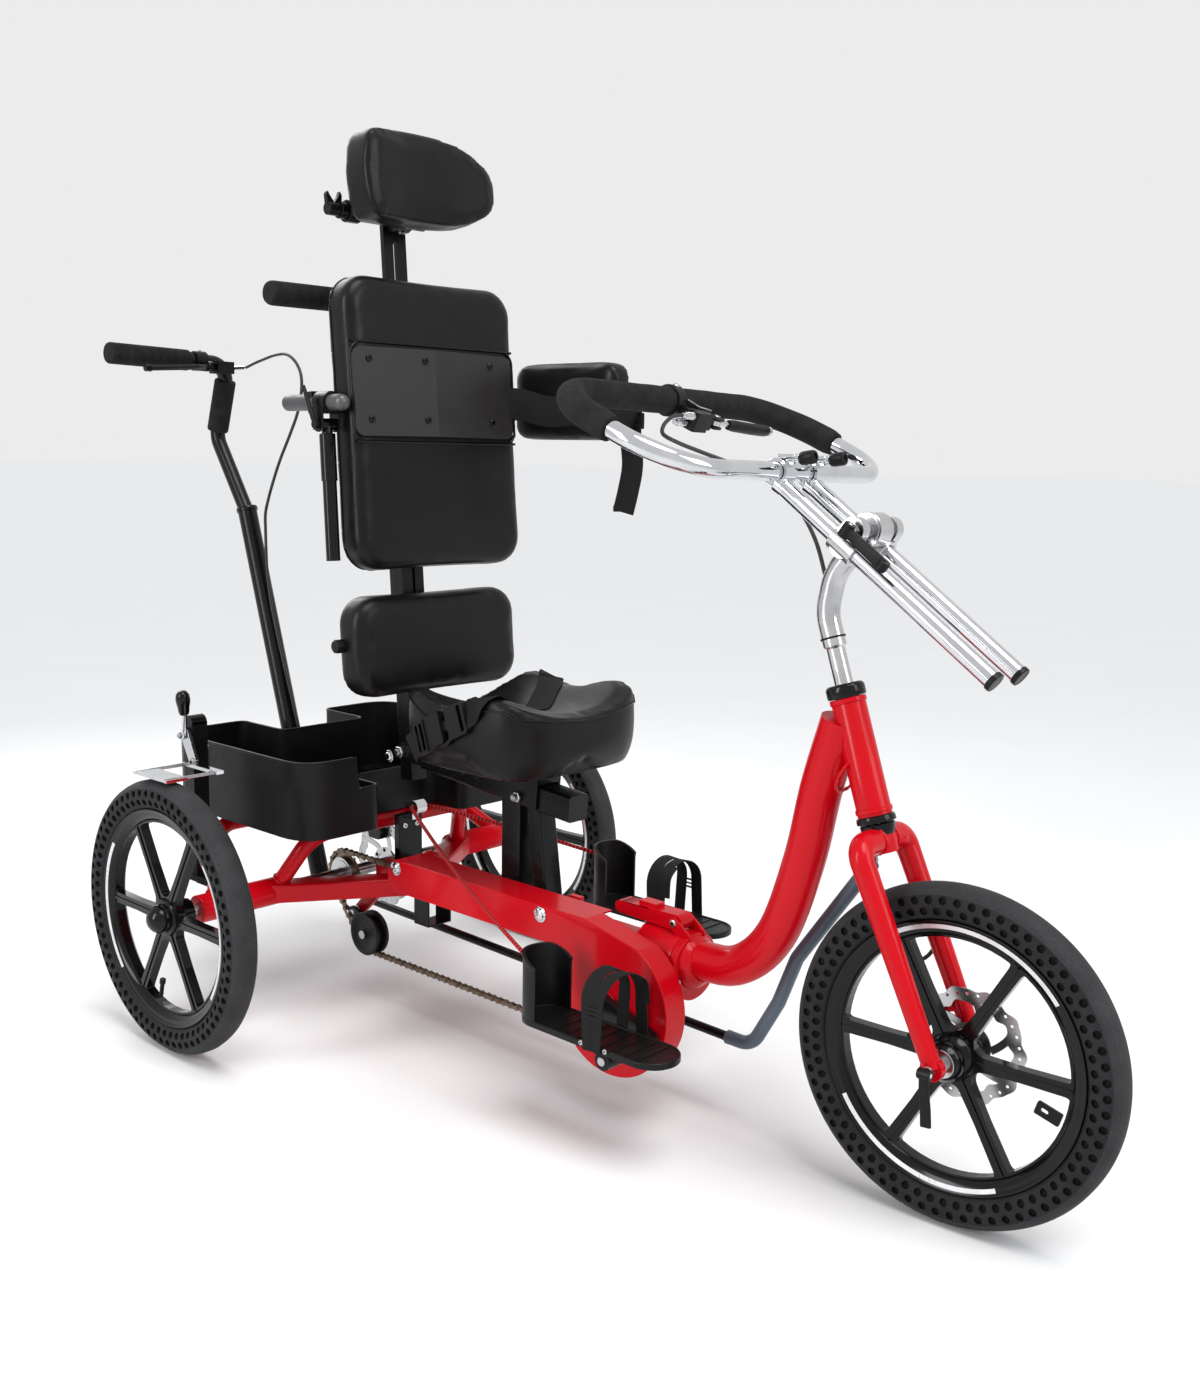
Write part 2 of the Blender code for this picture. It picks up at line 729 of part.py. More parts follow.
def tensioner_mount():
    """The tab on the beam's right side that carries the chain tensioner, and its pivot pin."""
    px, pz = TENSIONER_PIVOT.x, TENSIONER_PIVOT.z
    outline = belt([(px, pz, 0.010), (BEAM_REAR + 0.014, 0.195, 0.012)], 5)
    tab = plate([outline], 0.006, (0.0, TAB_SIDE + 0.003, 0.0), SIDE)
    pin = across(TENSIONER_PIN, px, pz, ARM_Y - ARM_HALF, TAB_SIDE + 0.002)
    return [tab, pin]


def pitch_radius(teeth):
    return PITCH / (2 * math.sin(math.pi / teeth))


def sprocket_outline(teeth):
    """Teeth round a sprocket: a pointed tip and a seat for each roller."""
    pitch = pitch_radius(teeth)
    step = 2 * math.pi / teeth
    corners = (
        (pitch - TOOTH_ROOT, 0.14),
        (pitch + TOOTH_RISE, 0.50),
        (pitch - TOOTH_ROOT, 0.86),
    )
    points = []
    for tooth in range(teeth):
        for radius, share in corners:
            angle = step * (tooth + share)
            points.append((radius * math.cos(angle), radius * math.sin(angle)))
    return points


def ring_windows(count, inner, outer, margin):
    """Openings between the arms of a disc, each an arc slot."""
    loops = []
    for window in range(count):
        start = 360 * window / count + margin
        end = 360 * (window + 1) / count - margin
        loops.append([*arc(0, 0, outer, start, end, 4), *arc(0, 0, inner, end, start, 2)])
    return loops


def drive_circles():
    """The pitch circles that the chain runs round, anticlockwise as seen from the right: (x, z, radius)."""
    return [
        (BRACKET_X, BRACKET_Z, pitch_radius(RING_TEETH)),
        (0.0, WHEEL_RADIUS, pitch_radius(FREEWHEEL_TEETH)),
        (ROLLER_X, ROLLER_Z, ROLLER_PITCH),
    ]


def even_points(outline, spacing, multiple):
    """Points along a closed outline, near the wanted spacing, their count a multiple of the given number."""
    closed = [*outline, outline[0]]
    lengths = [math.dist(a, b) for a, b in zip(closed, closed[1:])]
    total = sum(lengths)
    count = multiple * round(total / spacing / multiple)
    points = []
    index = 0
    passed = 0.0
    for step in range(count):
        wanted = total * step / count
        while passed + lengths[index] < wanted:
            passed += lengths[index]
            index += 1
        share = (wanted - passed) / lengths[index]
        (u0, v0), (u1, v1) = closed[index], closed[index + 1]
        points.append((u0 + (u1 - u0) * share, v0 + (v1 - v0) * share))
    return points


def chain_band():
    """A closed band with a wide ring at each link pin and a narrow waist between the pins."""
    path = even_points(belt(drive_circles(), steps=40), 1.25 * PITCH, 4)
    bm = bmesh.new()
    rings = []
    for index, (x, z) in enumerate(path):
        x_before, z_before = path[index - 1]
        x_after, z_after = path[(index + 1) % len(path)]
        run = math.hypot(x_after - x_before, z_after - z_before)
        normal_x, normal_z = (z_after - z_before) / run, (x_before - x_after) / run
        pin = index % 2 == 0
        half_height = CHAIN_HALF_HEIGHT if pin else 0.68 * CHAIN_HALF_HEIGHT
        half_width = CHAIN_HALF_WIDTH if index % 4 < 2 else 0.80 * CHAIN_HALF_WIDTH
        corners = ((1, 1), (1, -1), (-1, -1), (-1, 1))
        rings.append(
            [
                bm.verts.new(
                    (
                        x + rise * half_height * normal_x,
                        CHAIN_Y + side * half_width,
                        z + rise * half_height * normal_z,
                    )
                )
                for rise, side in corners
            ]
        )
    for index, first in enumerate(rings):
        second = rings[(index + 1) % len(rings)]
        for corner in range(4):
            after = (corner + 1) % 4
            bm.faces.new((first[corner], first[after], second[after], second[corner]))
    bmesh.ops.recalc_face_normals(bm, faces=bm.faces)
    return helper(bm, "chain band", smooth_angle=math.radians(20))


def tooth_groove(x, z, teeth):
    """The space between the chain's plates that a sprocket's teeth run in."""
    pitch = pitch_radius(teeth)
    outer = pitch + TOOTH_RISE + RUNNING
    inner = pitch - CHAIN_HALF_HEIGHT - 0.004
    return ring(inner, outer, TOOTH_THICKNESS / 2 + RUNNING, (x, CHAIN_Y, z), steps=36)


def drive():
    pitch = pitch_radius(RING_TEETH)
    windows = ring_windows(5, 0.030, pitch - 0.016, 10)
    bore = circle(0, 0, fit(SPINDLE_RADIUS, GAP))
    place = (BRACKET_X, CHAIN_Y, BRACKET_Z)
    node("chainring", plate([sprocket_outline(RING_TEETH), bore, *windows], TOOTH_THICKNESS, place, SIDE), CRANK, BLACK_PAINT)

    place = (0.0, CHAIN_Y, WHEEL_RADIUS)
    bore_radius = AXLE_RADIUS + RUNNING
    teeth = plate([sprocket_outline(FREEWHEEL_TEETH), circle(0, 0, bore_radius + 0.003)], TOOTH_THICKNESS, place, SIDE)
    body = ring(bore_radius, 0.027, 0.0085, place, steps=16)
    node("freewheel", teeth, FREEWHEEL, STEEL, add=[body])

    grooves = [
        tooth_groove(BRACKET_X, BRACKET_Z, RING_TEETH),
        tooth_groove(0.0, WHEEL_RADIUS, FREEWHEEL_TEETH),
    ]
    node("chain", chain_band(), FRAME, BRONZED, cut=grooves)
    tensioner()


ROLLER_HALF = 0.012
ARM_HALF = 0.003
ARM_Y = CHAIN_Y + ROLLER_HALF + RUNNING + ARM_HALF


def tensioner():
    arm_group = group("tensioner_axis", TENSIONER_PIVOT, parent=ROOT)
    roller_group = group("tensioner_roller_axis", (ROLLER_X, CHAIN_Y, ROLLER_Z), parent=arm_group)
    px, pz = TENSIONER_PIVOT.x, TENSIONER_PIVOT.z
    pin_end = CHAIN_Y - ROLLER_HALF - 0.005
    arm = plate([belt([(px, pz, 0.010), (ROLLER_X, ROLLER_Z, 0.009)], 5)], 2 * ARM_HALF, (0, ARM_Y, 0), SIDE)
    spring = across(0.009, px, pz, ARM_Y, TAB_SIDE - GAP)
    pin = across(0.0042, ROLLER_X, ROLLER_Z, ARM_Y, pin_end)
    head = across(0.0075, ROLLER_X, ROLLER_Z, pin_end, CHAIN_Y - ROLLER_HALF - RUNNING, 6)
    bore = across(fit(TENSIONER_PIN, RUNNING), px, pz, -0.06, 0.0)
    node("tensioner_arm", arm, arm_group, BLACK_PAINT, add=[spring, pin, head], cut=[bore])
    core = ROLLER_PITCH - CHAIN_HALF_HEIGHT - 2 * GAP
    flange = ROLLER_PITCH + CHAIN_HALF_HEIGHT
    upper = [
        (0.0042 + RUNNING, ROLLER_HALF),
        (flange - 0.003, ROLLER_HALF),
        (flange, ROLLER_HALF - 0.002),
        (flange, ROLLER_HALF - 0.005),
        (core, CHAIN_HALF_WIDTH + 0.001),
    ]
    lower = [(radius, -height) for radius, height in reversed(upper)]
    profile = turned([*upper, *lower], (ROLLER_X, CHAIN_Y, ROLLER_Z))
    node("tensioner_roller", profile, roller_group, BLACK_PLASTIC)


TENSIONER_PIN = 0.005
TAB_SIDE = -BEAM_HALF_WIDTH - 0.004


def cranks():
    """The spindle with the right crank, and the left crank on its other end."""
    for side, label in ((-1, "right"), (1, "left")):
        phase = CRANK_ANGLE + (0.0 if side < 0 else math.pi)
        dx = CRANK_LENGTH * math.cos(phase)
        dz = CRANK_LENGTH * math.sin(phase)
        pedal_x, pedal_z = BRACKET_X + dx, BRACKET_Z + dz
        place = (BRACKET_X, side * CRANK_Y, BRACKET_Z)
        arm = plate([belt([(0, 0, 0.016), (dx, dz, 0.0125)], 6)], CRANK_THICKNESS, place, SIDE)
        pin_start = side * (CRANK_Y - CRANK_THICKNESS / 2)
        pin_end = side * (PEDAL_Y + 0.032)
        pin = across(PEDAL_PIN_RADIUS, pedal_x, pedal_z, pin_start, pin_end)
        if side < 0:
            reach = CRANK_Y + CRANK_THICKNESS / 2
            spindle = across(SPINDLE_RADIUS, BRACKET_X, BRACKET_Z, -reach - 0.003, reach - GAP)
            node("crank_right", arm, CRANK, BLACK_PAINT, add=[spindle, pin])
        else:
            socket = across(fit(SPINDLE_RADIUS, GAP), BRACKET_X, BRACKET_Z, 0.05, CRANK_Y + CRANK_THICKNESS)
            node("crank_left", arm, CRANK, BLACK_PAINT, add=[pin], cut=[socket])
        foot_plate(label, side, Vector((pedal_x, side * PEDAL_Y, pedal_z)))


FOOT_HALF = 0.036
SOLE_RISE = 0.0145
SOLE_THICKNESS = 0.008
HEEL_X = -0.120
TOE_X = 0.055
HEEL_HEIGHT = 0.088
STRAP_HEIGHT = 0.100
STRAP_WIDTH = 0.040


def foot_plate(label, side, pedal):
    """A sole on the pedal pin with a curved heel cup, and the strap over the instep."""
    parent = group("pedal_axis_" + label, pedal, parent=CRANK)
    outline = [(pedal.x + u, pedal.y + v) for u, v in belt([(HEEL_X, 0, FOOT_HALF), (TOE_X, 0, FOOT_HALF)], 8)]
    sole = plate([outline], SOLE_THICKNESS, (0, 0, pedal.z + SOLE_RISE), FLAT)
    boss = ring(fit(PEDAL_PIN_RADIUS, RUNNING), 0.0125, 0.030, pedal)
    wall = 0.003
    cup = [*arc(HEEL_X, 0, FOOT_HALF, 78, 282, 10), *arc(HEEL_X, 0, FOOT_HALF - wall, 282, 78, 10)]
    cup = [(pedal.x + u, pedal.y + v) for u, v in cup]
    cup_z = pedal.z + SOLE_RISE + HEEL_HEIGHT / 2
    heel = plate([cup], HEEL_HEIGHT, (0, 0, cup_z))
    slope = box((0.12, 0.10, 0.05), (pedal.x + HEEL_X + 0.012, pedal.y, cup_z + HEEL_HEIGHT / 2 + 0.022), (0, 0.42, 0))
    boolean(heel, slope, "DIFFERENCE")
    attach(slope, parent)
    node("foot_plate_" + label, sole, parent, BLACK_PLASTIC, add=[boss, heel])

    inner = FOOT_HALF + GAP
    outer = inner + 0.0025
    low = pedal.z + SOLE_RISE - SOLE_THICKNESS / 2
    rise = low + STRAP_HEIGHT - outer
    arch = [(outer, low), *arc(0, rise, outer, 0, 180, 10), (-outer, low)]
    arch += [(-inner, low), *arc(0, rise, inner, 180, 0, 10), (inner, low)]
    place = (pedal.x - 0.010, pedal.y, 0.0)
    node("foot_strap_" + label, plate([arch], STRAP_WIDTH, place, FRONT), parent, WEBBING)


GUARD_TOP = 0.2635
GUARD_TAIL = 0.150
GUARD_DROP = 0.050
GUARD_RADIUS = 0.097
GUARD_INNER = -0.030
GUARD_BOLT_Z = 0.2505


def chain_guard():
    """A long cover with a slanted tail and a round front over the ring, open behind and below."""
    u, v = BRACKET_X + 0.004, BRACKET_Z
    low = GUARD_TOP - GUARD_DROP
    outline = [
        (GUARD_TAIL, low + 0.024),
        (GUARD_TAIL + 0.012, GUARD_TOP),
        (BRACKET_X - 0.045, GUARD_TOP),
        *arc(u, v, GUARD_RADIUS, 52, -128, 10),
        (BRACKET_X - 0.113, low),
        (GUARD_TAIL + 0.015, low),
        (GUARD_TAIL, low + 0.012),
    ]
    inside = [
        (GUARD_TAIL - 0.05, GUARD_TOP - GUARD_WALL),
        (BRACKET_X - 0.045, GUARD_TOP - GUARD_WALL),
        *arc(u, v, GUARD_RADIUS - GUARD_WALL, 52, -60, 7),
        (BRACKET_X, 0.0),
        (GUARD_TAIL - 0.05, 0.0),
    ]
    depth = GUARD_INNER - GUARD_Y
    face = plate([outline], depth, (0, GUARD_Y + depth / 2, 0), SIDE)
    hollow = plate([inside], depth, (0, GUARD_Y + depth / 2 + GUARD_WALL, 0), SIDE)
    relief = block((BRACKET_X - 0.050, COUPLING_X + 0.1), (-FLANGE_RADIUS - 0.002, 0.0), (0.05, 0.30))
    hole = across(0.014, BRACKET_X, BRACKET_Z, GUARD_Y - 0.01, 0.0)
    for cutter in (hollow, relief):
        boolean(face, cutter, "DIFFERENCE")
        attach(cutter, FRAME)
    bosses = [across(0.006, x, GUARD_BOLT_Z, GUARD_Y + 0.001, -BEAM_HALF_WIDTH + 0.001 - GAP) for x in GUARD_BOLTS]
    heads = [across(0.0085, x, GUARD_BOLT_Z, GUARD_Y - 0.003, GUARD_Y + 0.001, 12) for x in GUARD_BOLTS]
    node("chain_guard", face, FRAME, RED_PAINT, add=[*bosses, *heads], cut=[hole])


UPRIGHT_X = (0.325, 0.365)
SWIVEL_X = 0.367
EAR_THICKNESS = 0.0055
BACK_BOLT_RADIUS = 0.005


def seat_support():
    """The upright, brace and sloping beam that carry the seat, with the backrest's ears behind."""
    upright = strut(((UPRIGHT_X[0] + UPRIGHT_X[1]) / 2, 0, BEAM_TOP - 0.01), (0.345, 0, 0.395), 0.038, 0.038, edge=0.003)
    brace = strut((0.408, 0, BEAM_TOP - 0.02), (0.386, 0, 0.390), 0.034, 0.024, edge=0.003)
    beam = strut(SEAT_BEAM_BACK, SEAT_BEAM_FRONT, 2 * SEAT_BEAM_HALF, 2 * SEAT_BEAM_HALF, edge=0.004)
    inner = POST_HALF + SLIDING
    shapes = [brace, beam]
    for side in (1, -1):
        outline = belt([(BACK_PIVOT.x, BACK_PIVOT.z, 0.014), (SEAT_BEAM_BACK.x + 0.028, SEAT_BEAM_BACK.z, 0.014)], 6)
        y = side * (inner + EAR_THICKNESS / 2)
        shapes.append(plate([outline], EAR_THICKNESS, (0, y, 0), SIDE))
    outside = inner + EAR_THICKNESS
    shapes.append(across(BACK_BOLT_RADIUS, BACK_PIVOT.x, BACK_PIVOT.z, -outside - 0.012, outside + 0.003))
    shapes.append(across(0.0095, BACK_PIVOT.x, BACK_PIVOT.z, -outside - 0.009, -outside + 0.001, 6))
    foot = block((0.28, 0.48), (-0.05, 0.05), (BEAM_TOP - 0.08, BEAM_TOP + GAP))
    node("seat_support", upright, FRAME, BLACK_PAINT, add=shapes, cut=[foot])


def seat_direction():
    return (SEAT_BEAM_FRONT - SEAT_BEAM_BACK).normalized()


def on_seat_beam(x, rise):
    """The point over the seat beam's centre line at x, raised square to the beam."""
    direction = seat_direction()
    start = SEAT_BEAM_BACK + direction * ((x - SEAT_BEAM_BACK.x) / direction.x)
    return start + Vector((-direction.z, 0.0, direction.x)) * rise


def seat_swivel():
    """A saddle that slides on the seat beam, with the seat's round base on it."""
    slide = group("seat_slide", on_seat_beam(SWIVEL_X, 0), parent=ROOT)
    direction = seat_direction()
    centre = on_seat_beam(SWIVEL_X, 0.0)
    saddle = strut(centre - direction * 0.036, centre + direction * 0.036, 0.050, 0.062, edge=0.003)
    channel_half = SEAT_BEAM_HALF + SLIDING
    channel = strut(centre - direction * 0.06, centre + direction * 0.06, 2 * channel_half, 2 * channel_half)
    lower = on_seat_beam(SWIVEL_X, -0.030)
    below = strut(lower - direction * 0.06, lower + direction * 0.06, 0.070, 0.030)
    disc_top = SEAT_BOTTOM - GAP
    disc = rod(0.036, (SWIVEL_X, 0, disc_top - 0.012), (SWIVEL_X, 0, disc_top), 24)
    clamp = across(0.005, centre.x, centre.z - 0.004, -0.036, -0.024, 12)
    above = block((0.30, 0.44), (-0.06, 0.06), (disc_top, disc_top + 0.05))
    node("seat_swivel", saddle, slide, BLACK_PAINT, add=[disc, clamp], cut=[channel, below, above])
    return slide


def cushion_cage(size, cuts, shape_point):
    """A cage for a soft form: a cube cut into a grid, its points moved by shape_point(u, v, w) from -1..1."""
    bm = bmesh.new()
    bmesh.ops.create_cube(bm, size=2.0)
    bmesh.ops.subdivide_edges(bm, edges=bm.edges, cuts=cuts, use_grid_fill=True)
    for vert in bm.verts:
        u, v, w = shape_point(*vert.co)
        vert.co = (u * size[0] / 2, v * size[1] / 2, w * size[2] / 2)
    return helper(bm, "cushion")


def soften(shape, levels=1):
    step = shape.modifiers.new("Subdivision", "SUBSURF")
    step.levels = levels
    step.render_levels = levels
    return shape


def draw_in(value, other, share):
    """Draws a value in towards the middle as the other coordinate nears its end."""
    return value * (1 - share * other**4)


def seat_cushion(slide):
    """A dished seat with raised sides and a lip at the front."""

    def form(u, v, w):
        rise = 0.55 * max(0.0, abs(v) - 0.35) ** 2 / 0.42
        dip = 0.20 * max(0.0, 1 - abs(v) / 0.6) * (1 - 0.5 * u)
        if w > 0:
            w = 0.30 + rise - dip + 0.12 * max(0.0, u - 0.4)
        elif w < 0:
            w = -1.0
        else:
            w = -0.30 + 0.3 * rise
        return draw_in(u, v, 0.16), draw_in(v, u, 0.12), w

    height = 0.130
    centre = (SEAT_CENTRE_X, 0.0, SEAT_BOTTOM + height / 2)
    cushion = soften(cushion_cage((SEAT_LENGTH + 0.01, SEAT_WIDTH + 0.01, height), 4, form))
    cushion.location = centre
    node("seat_cushion", cushion, slide, VINYL)


BASKET_X = (-0.230, 0.130)
BASKET_HALF = 0.220
NOTCH_HALF = 0.080
FRONT_NOTCH_X = 0.055
REAR_NOTCH_X = -0.118


def basket_outline(inset):
    """The basket from above, with notches for the backrest post in front and the column behind."""
    x0, x1 = BASKET_X[0] + inset, BASKET_X[1] - inset
    half = BASKET_HALF - inset
    notch = NOTCH_HALF + inset
    front, rear = FRONT_NOTCH_X - inset, REAR_NOTCH_X + inset
    corner = 0.030 - inset
    return [
        (x1, notch),
        *arc(x1 - corner, half - corner, corner, 0, 90, 4),
        *arc(x0 + corner, half - corner, corner, 90, 180, 4),
        (x0, notch),
        (rear, notch),
        (rear, -notch),
        (x0, -notch),
        *arc(x0 + corner, -half + corner, corner, 180, 270, 4),
        *arc(x1 - corner, -half + corner, corner, 270, 360, 4),
        (x1, -notch),
        (front, -notch),
        (front, notch),
    ]


def basket():
    height = BASKET_RIM - BASKET_LOW
    middle = BASKET_LOW + height / 2
    walls = plate([basket_outline(0.0), basket_outline(BASKET_WALL)], height, (0, 0, middle))
    floor = plate([basket_outline(BASKET_WALL / 2)], BASKET_WALL, (0, 0, BASKET_LOW + BASKET_WALL / 2 + 0.0002))
    low_front = block((FRONT_NOTCH_X - 0.03, 0.2), (-NOTCH_HALF - 0.045, NOTCH_HALF + 0.045), (0.372, BASKET_RIM + 0.02))
    node("basket", walls, FRAME, BLACK_PLASTIC, add=[floor], cut=[low_front])


BRAKE_POST = Vector((-0.070, -0.270, 0.0))
BRAKE_POST_TOP = 0.475


def brake_post():
    """A square post on the right axle housing, for the parking brake."""
    x, y = BRAKE_POST.x, BRAKE_POST.y
    half = 0.0125
    post = block((x - half, x + half), (y - half, y + half), (0.188, BRAKE_POST_TOP - 0.005), edge=0.002)
    cap = block((x - half - 0.001, x + half + 0.001), (y - half - 0.001, y + half + 0.001), (BRAKE_POST_TOP - 0.008, BRAKE_POST_TOP), edge=0.002)
    foot = block((x, 0.012), (y - 0.014, y + 0.010), (0.176, 0.224), edge=0.002)
    saddle = across(fit(HOUSING_RADIUS, GAP), 0, WHEEL_RADIUS, y - 0.05, y + 0.05)
    pin = across(0.004, PARK_PIVOT.x, PARK_PIVOT.z, PARK_PIVOT.y - 0.016, y, 12)
    leg = hoops(fit(HOOP_RADIUS, GAP, 10))[1]
    node("brake_post", post, FRAME, BLACK_PAINT, add=[cap, foot, pin], cut=[saddle, leg])


PARK_PIVOT = Vector((BRAKE_POST.x, BRAKE_POST.y - 0.0135, 0.446))


def parking_brake_lever():
    """A lever that swings a bar down on the right tyre, with a knob above."""
    lever = group("parking_brake_axis", PARK_PIVOT, parent=ROOT)
    x, z = PARK_PIVOT.x, PARK_PIVOT.z
    wall = 0.0045
    y = BRAKE_POST.y - 0.0138 - GAP - wall / 2
    link = belt([(x, z, 0.011), (-0.050, 0.4085, 0.009)], 5)
    bar_y = (y - wall / 2 + 0.001, -REAR_WHEEL_Y - 0.016)
    bar = block((-0.059, 0.030), bar_y, (0.4030, 0.4090), edge=0.001)
    grip_stem = strut((x, y - 0.0015, z), (-0.058, y - 0.010, 0.487), 0.005, 0.012)
    knob = rod(0.0095, (-0.058, y - 0.009, 0.480), (-0.050, y - 0.016, 0.515), 16, 0.0105)
    bore = across(fit(0.004, RUNNING, 12), x, z, y - 0.02, y + 0.02, 12)
    base = plate([link], wall, (0, y, 0), SIDE)
    node("parking_brake_lever", base, lever, CHROME, add=[bar, grip_stem, knob], cut=[bore])


CORD_CLAMP = Vector((0.120, 0.0, 0.322))
CORD_RADIUS = 0.0028


def cord_post():
    """A strap round the frame's beam with a flat post behind it, which holds the elastic cord's clamp."""
    wall = 0.003
    half = BEAM_HALF_WIDTH + GAP
    outer = block((0.088, 0.171), (-half - wall, half + wall), (0.142, BEAM_TOP - 0.004), edge=0.001)
    inner = block((0.07, 0.19), (-half, half), (0.142 + wall, BEAM_TOP + 0.05))
    post = block((0.090, 0.102), (-half - wall, half + wall), (BEAM_TOP + GAP, 0.308), edge=0.001)
    cheeks = [
        block((0.090, 0.102), sorted((side * half, side * (half + wall))), (BEAM_TOP - 0.0125, BEAM_TOP + 0.02))
        for side in (1, -1)
    ]
    room = block((0.05, 0.136), (-0.1, 0.1), (0.1, 0.2215))
    for cutter in (inner, room):
        boolean(outer, cutter, "DIFFERENCE")
        attach(cutter, FRAME)
    neck = block((0.094, 0.114), (-0.006, 0.006), (0.300, 0.330), edge=0.001)
    eye = across(0.011, CORD_CLAMP.x, CORD_CLAMP.z, -0.010, 0.010)
    hole = across(fit(CORD_RADIUS, 3 * GAP), CORD_CLAMP.x, CORD_CLAMP.z, -0.03, 0.03)
    node("cord_post", outer, FRAME, BLACK_PAINT, add=[*cheeks, post, neck, eye], cut=[hole])


def fit(radius, gap, sides=12):
    """The radius of a many-sided bore whose flats clear a round piece by the gap."""
    return (radius + gap) / math.cos(math.pi / sides)


LATCH_PIVOT = Vector((0.651, 0.0, COUPLING_Z + COLLAR_RADIUS + 0.0005 + 0.011))
LATCH_HALF = 0.0125
DOWN_TUBE = (
    (COUPLING_X + 0.004, 0, 0.2175),
    (0.745, 0, 0.227),
    (0.803, 0, 0.282),
    (0.840, 0, 0.384),
    (0.861, 0, 0.480),
    (0.886, 0, 0.565),
)


def front_frame():
    """The bent down tube between the coupling's flange and the head tube, with the latch's ears."""
    tube = pipe(smooth_path(DOWN_TUBE, 0.055), DOWN_TUBE_RADIUS, sides=14)
    head = rod(HEAD_RADIUS, steer(0, 0, 0), steer(0, 0, HEAD_LENGTH), 16)
    cup = rod(CUP_RADIUS, steer(0, 0, -0.0001), steer(0, 0, CUP_HEIGHT), 16)
    flange_start = (COUPLING_X, 0, COUPLING_Z)
    flange = rod(FLANGE_RADIUS, flange_start, (COUPLING_X + FLANGE_THICKNESS, 0, COUPLING_Z), 24)
    shapes = [head, cup, flange]
    for side in (1, -1):
        outline = belt([(LATCH_PIVOT.x, LATCH_PIVOT.z, 0.008), (COUPLING_X + 0.006, 0.247, 0.009)], 5)
        y = side * (LATCH_HALF + SLIDING + 0.002)
        shapes.append(plate([outline], 0.004, (0, y, 0), SIDE))
    ear = LATCH_HALF + SLIDING + 0.006
    shapes.append(across(0.004, LATCH_PIVOT.x, LATCH_PIVOT.z, -ear, ear, 12))
    bore = rod(HEAD_BORE, steer(0, 0, -0.02), steer(0, 0, HEAD_LENGTH + 0.03))
    collar_end = COUPLING_X - GAP / 2
    collar_room = rod(fit(COLLAR_RADIUS, GAP, 24), (0.60, 0, COUPLING_Z), (collar_end, 0, COUPLING_Z), 24)
    node("front_frame", tube, FRAME, RED_PAINT, add=shapes, cut=[bore, collar_room])

    latch = group("latch_axis", LATCH_PIVOT, parent=ROOT)
    outline = belt([(LATCH_PIVOT.x, LATCH_PIVOT.z, 0.011), (LATCH_PIVOT.x - 0.098, LATCH_PIVOT.z, 0.0085)], 6)
    bore = circle(LATCH_PIVOT.x, LATCH_PIVOT.z, fit(0.004, RUNNING))
    lever = plate([outline, bore], 2 * LATCH_HALF, turn=SIDE, edge=0.0012)
    catch = block((0.585, 0.615), (-0.009, 0.009), (LATCH_PIVOT.z + 0.006, LATCH_PIVOT.z + 0.016), edge=0.002)
    node("latch_lever", lever, latch, RED_PAINT, add=[catch])


LOCKNUT_HEIGHT = 0.016
STEERER_TOP = HEAD_LENGTH + 0.014
QUILL_TOP = 0.217
ARM_END = Vector((-0.048, 0.050, 0.0))
ARM_DROP = 0.027
LINK_RADIUS = 0.008


def headset():
    half = LOCKNUT_HEIGHT / 2
    profile = [
        (CUP_RADIUS - 0.003, half),
        (CUP_RADIUS, half - 0.004),
        (CUP_RADIUS, -half + 0.002),
        (CUP_RADIUS - 0.001, -half),
        (fit(STEERER_RADIUS, GAP), -half),
        (fit(STEERER_RADIUS, GAP), half),
    ]
    centre = steer(0, 0, HEAD_LENGTH + GAP + half)
    node("headset_top", turned(profile, centre, HEAD_AXIS, 16), STEERING, STEEL)


FRONT_TAB = Vector((-0.006, 0, -0.226))
FRONT_CALLIPER = steer(FRONT_TAB.x - 0.0157, 0.0415, FRONT_TAB.z)
FRONT_CALLIPER_ARM = FRONT_CALLIPER + Vector((-0.0165, 0.009, 0.0475))


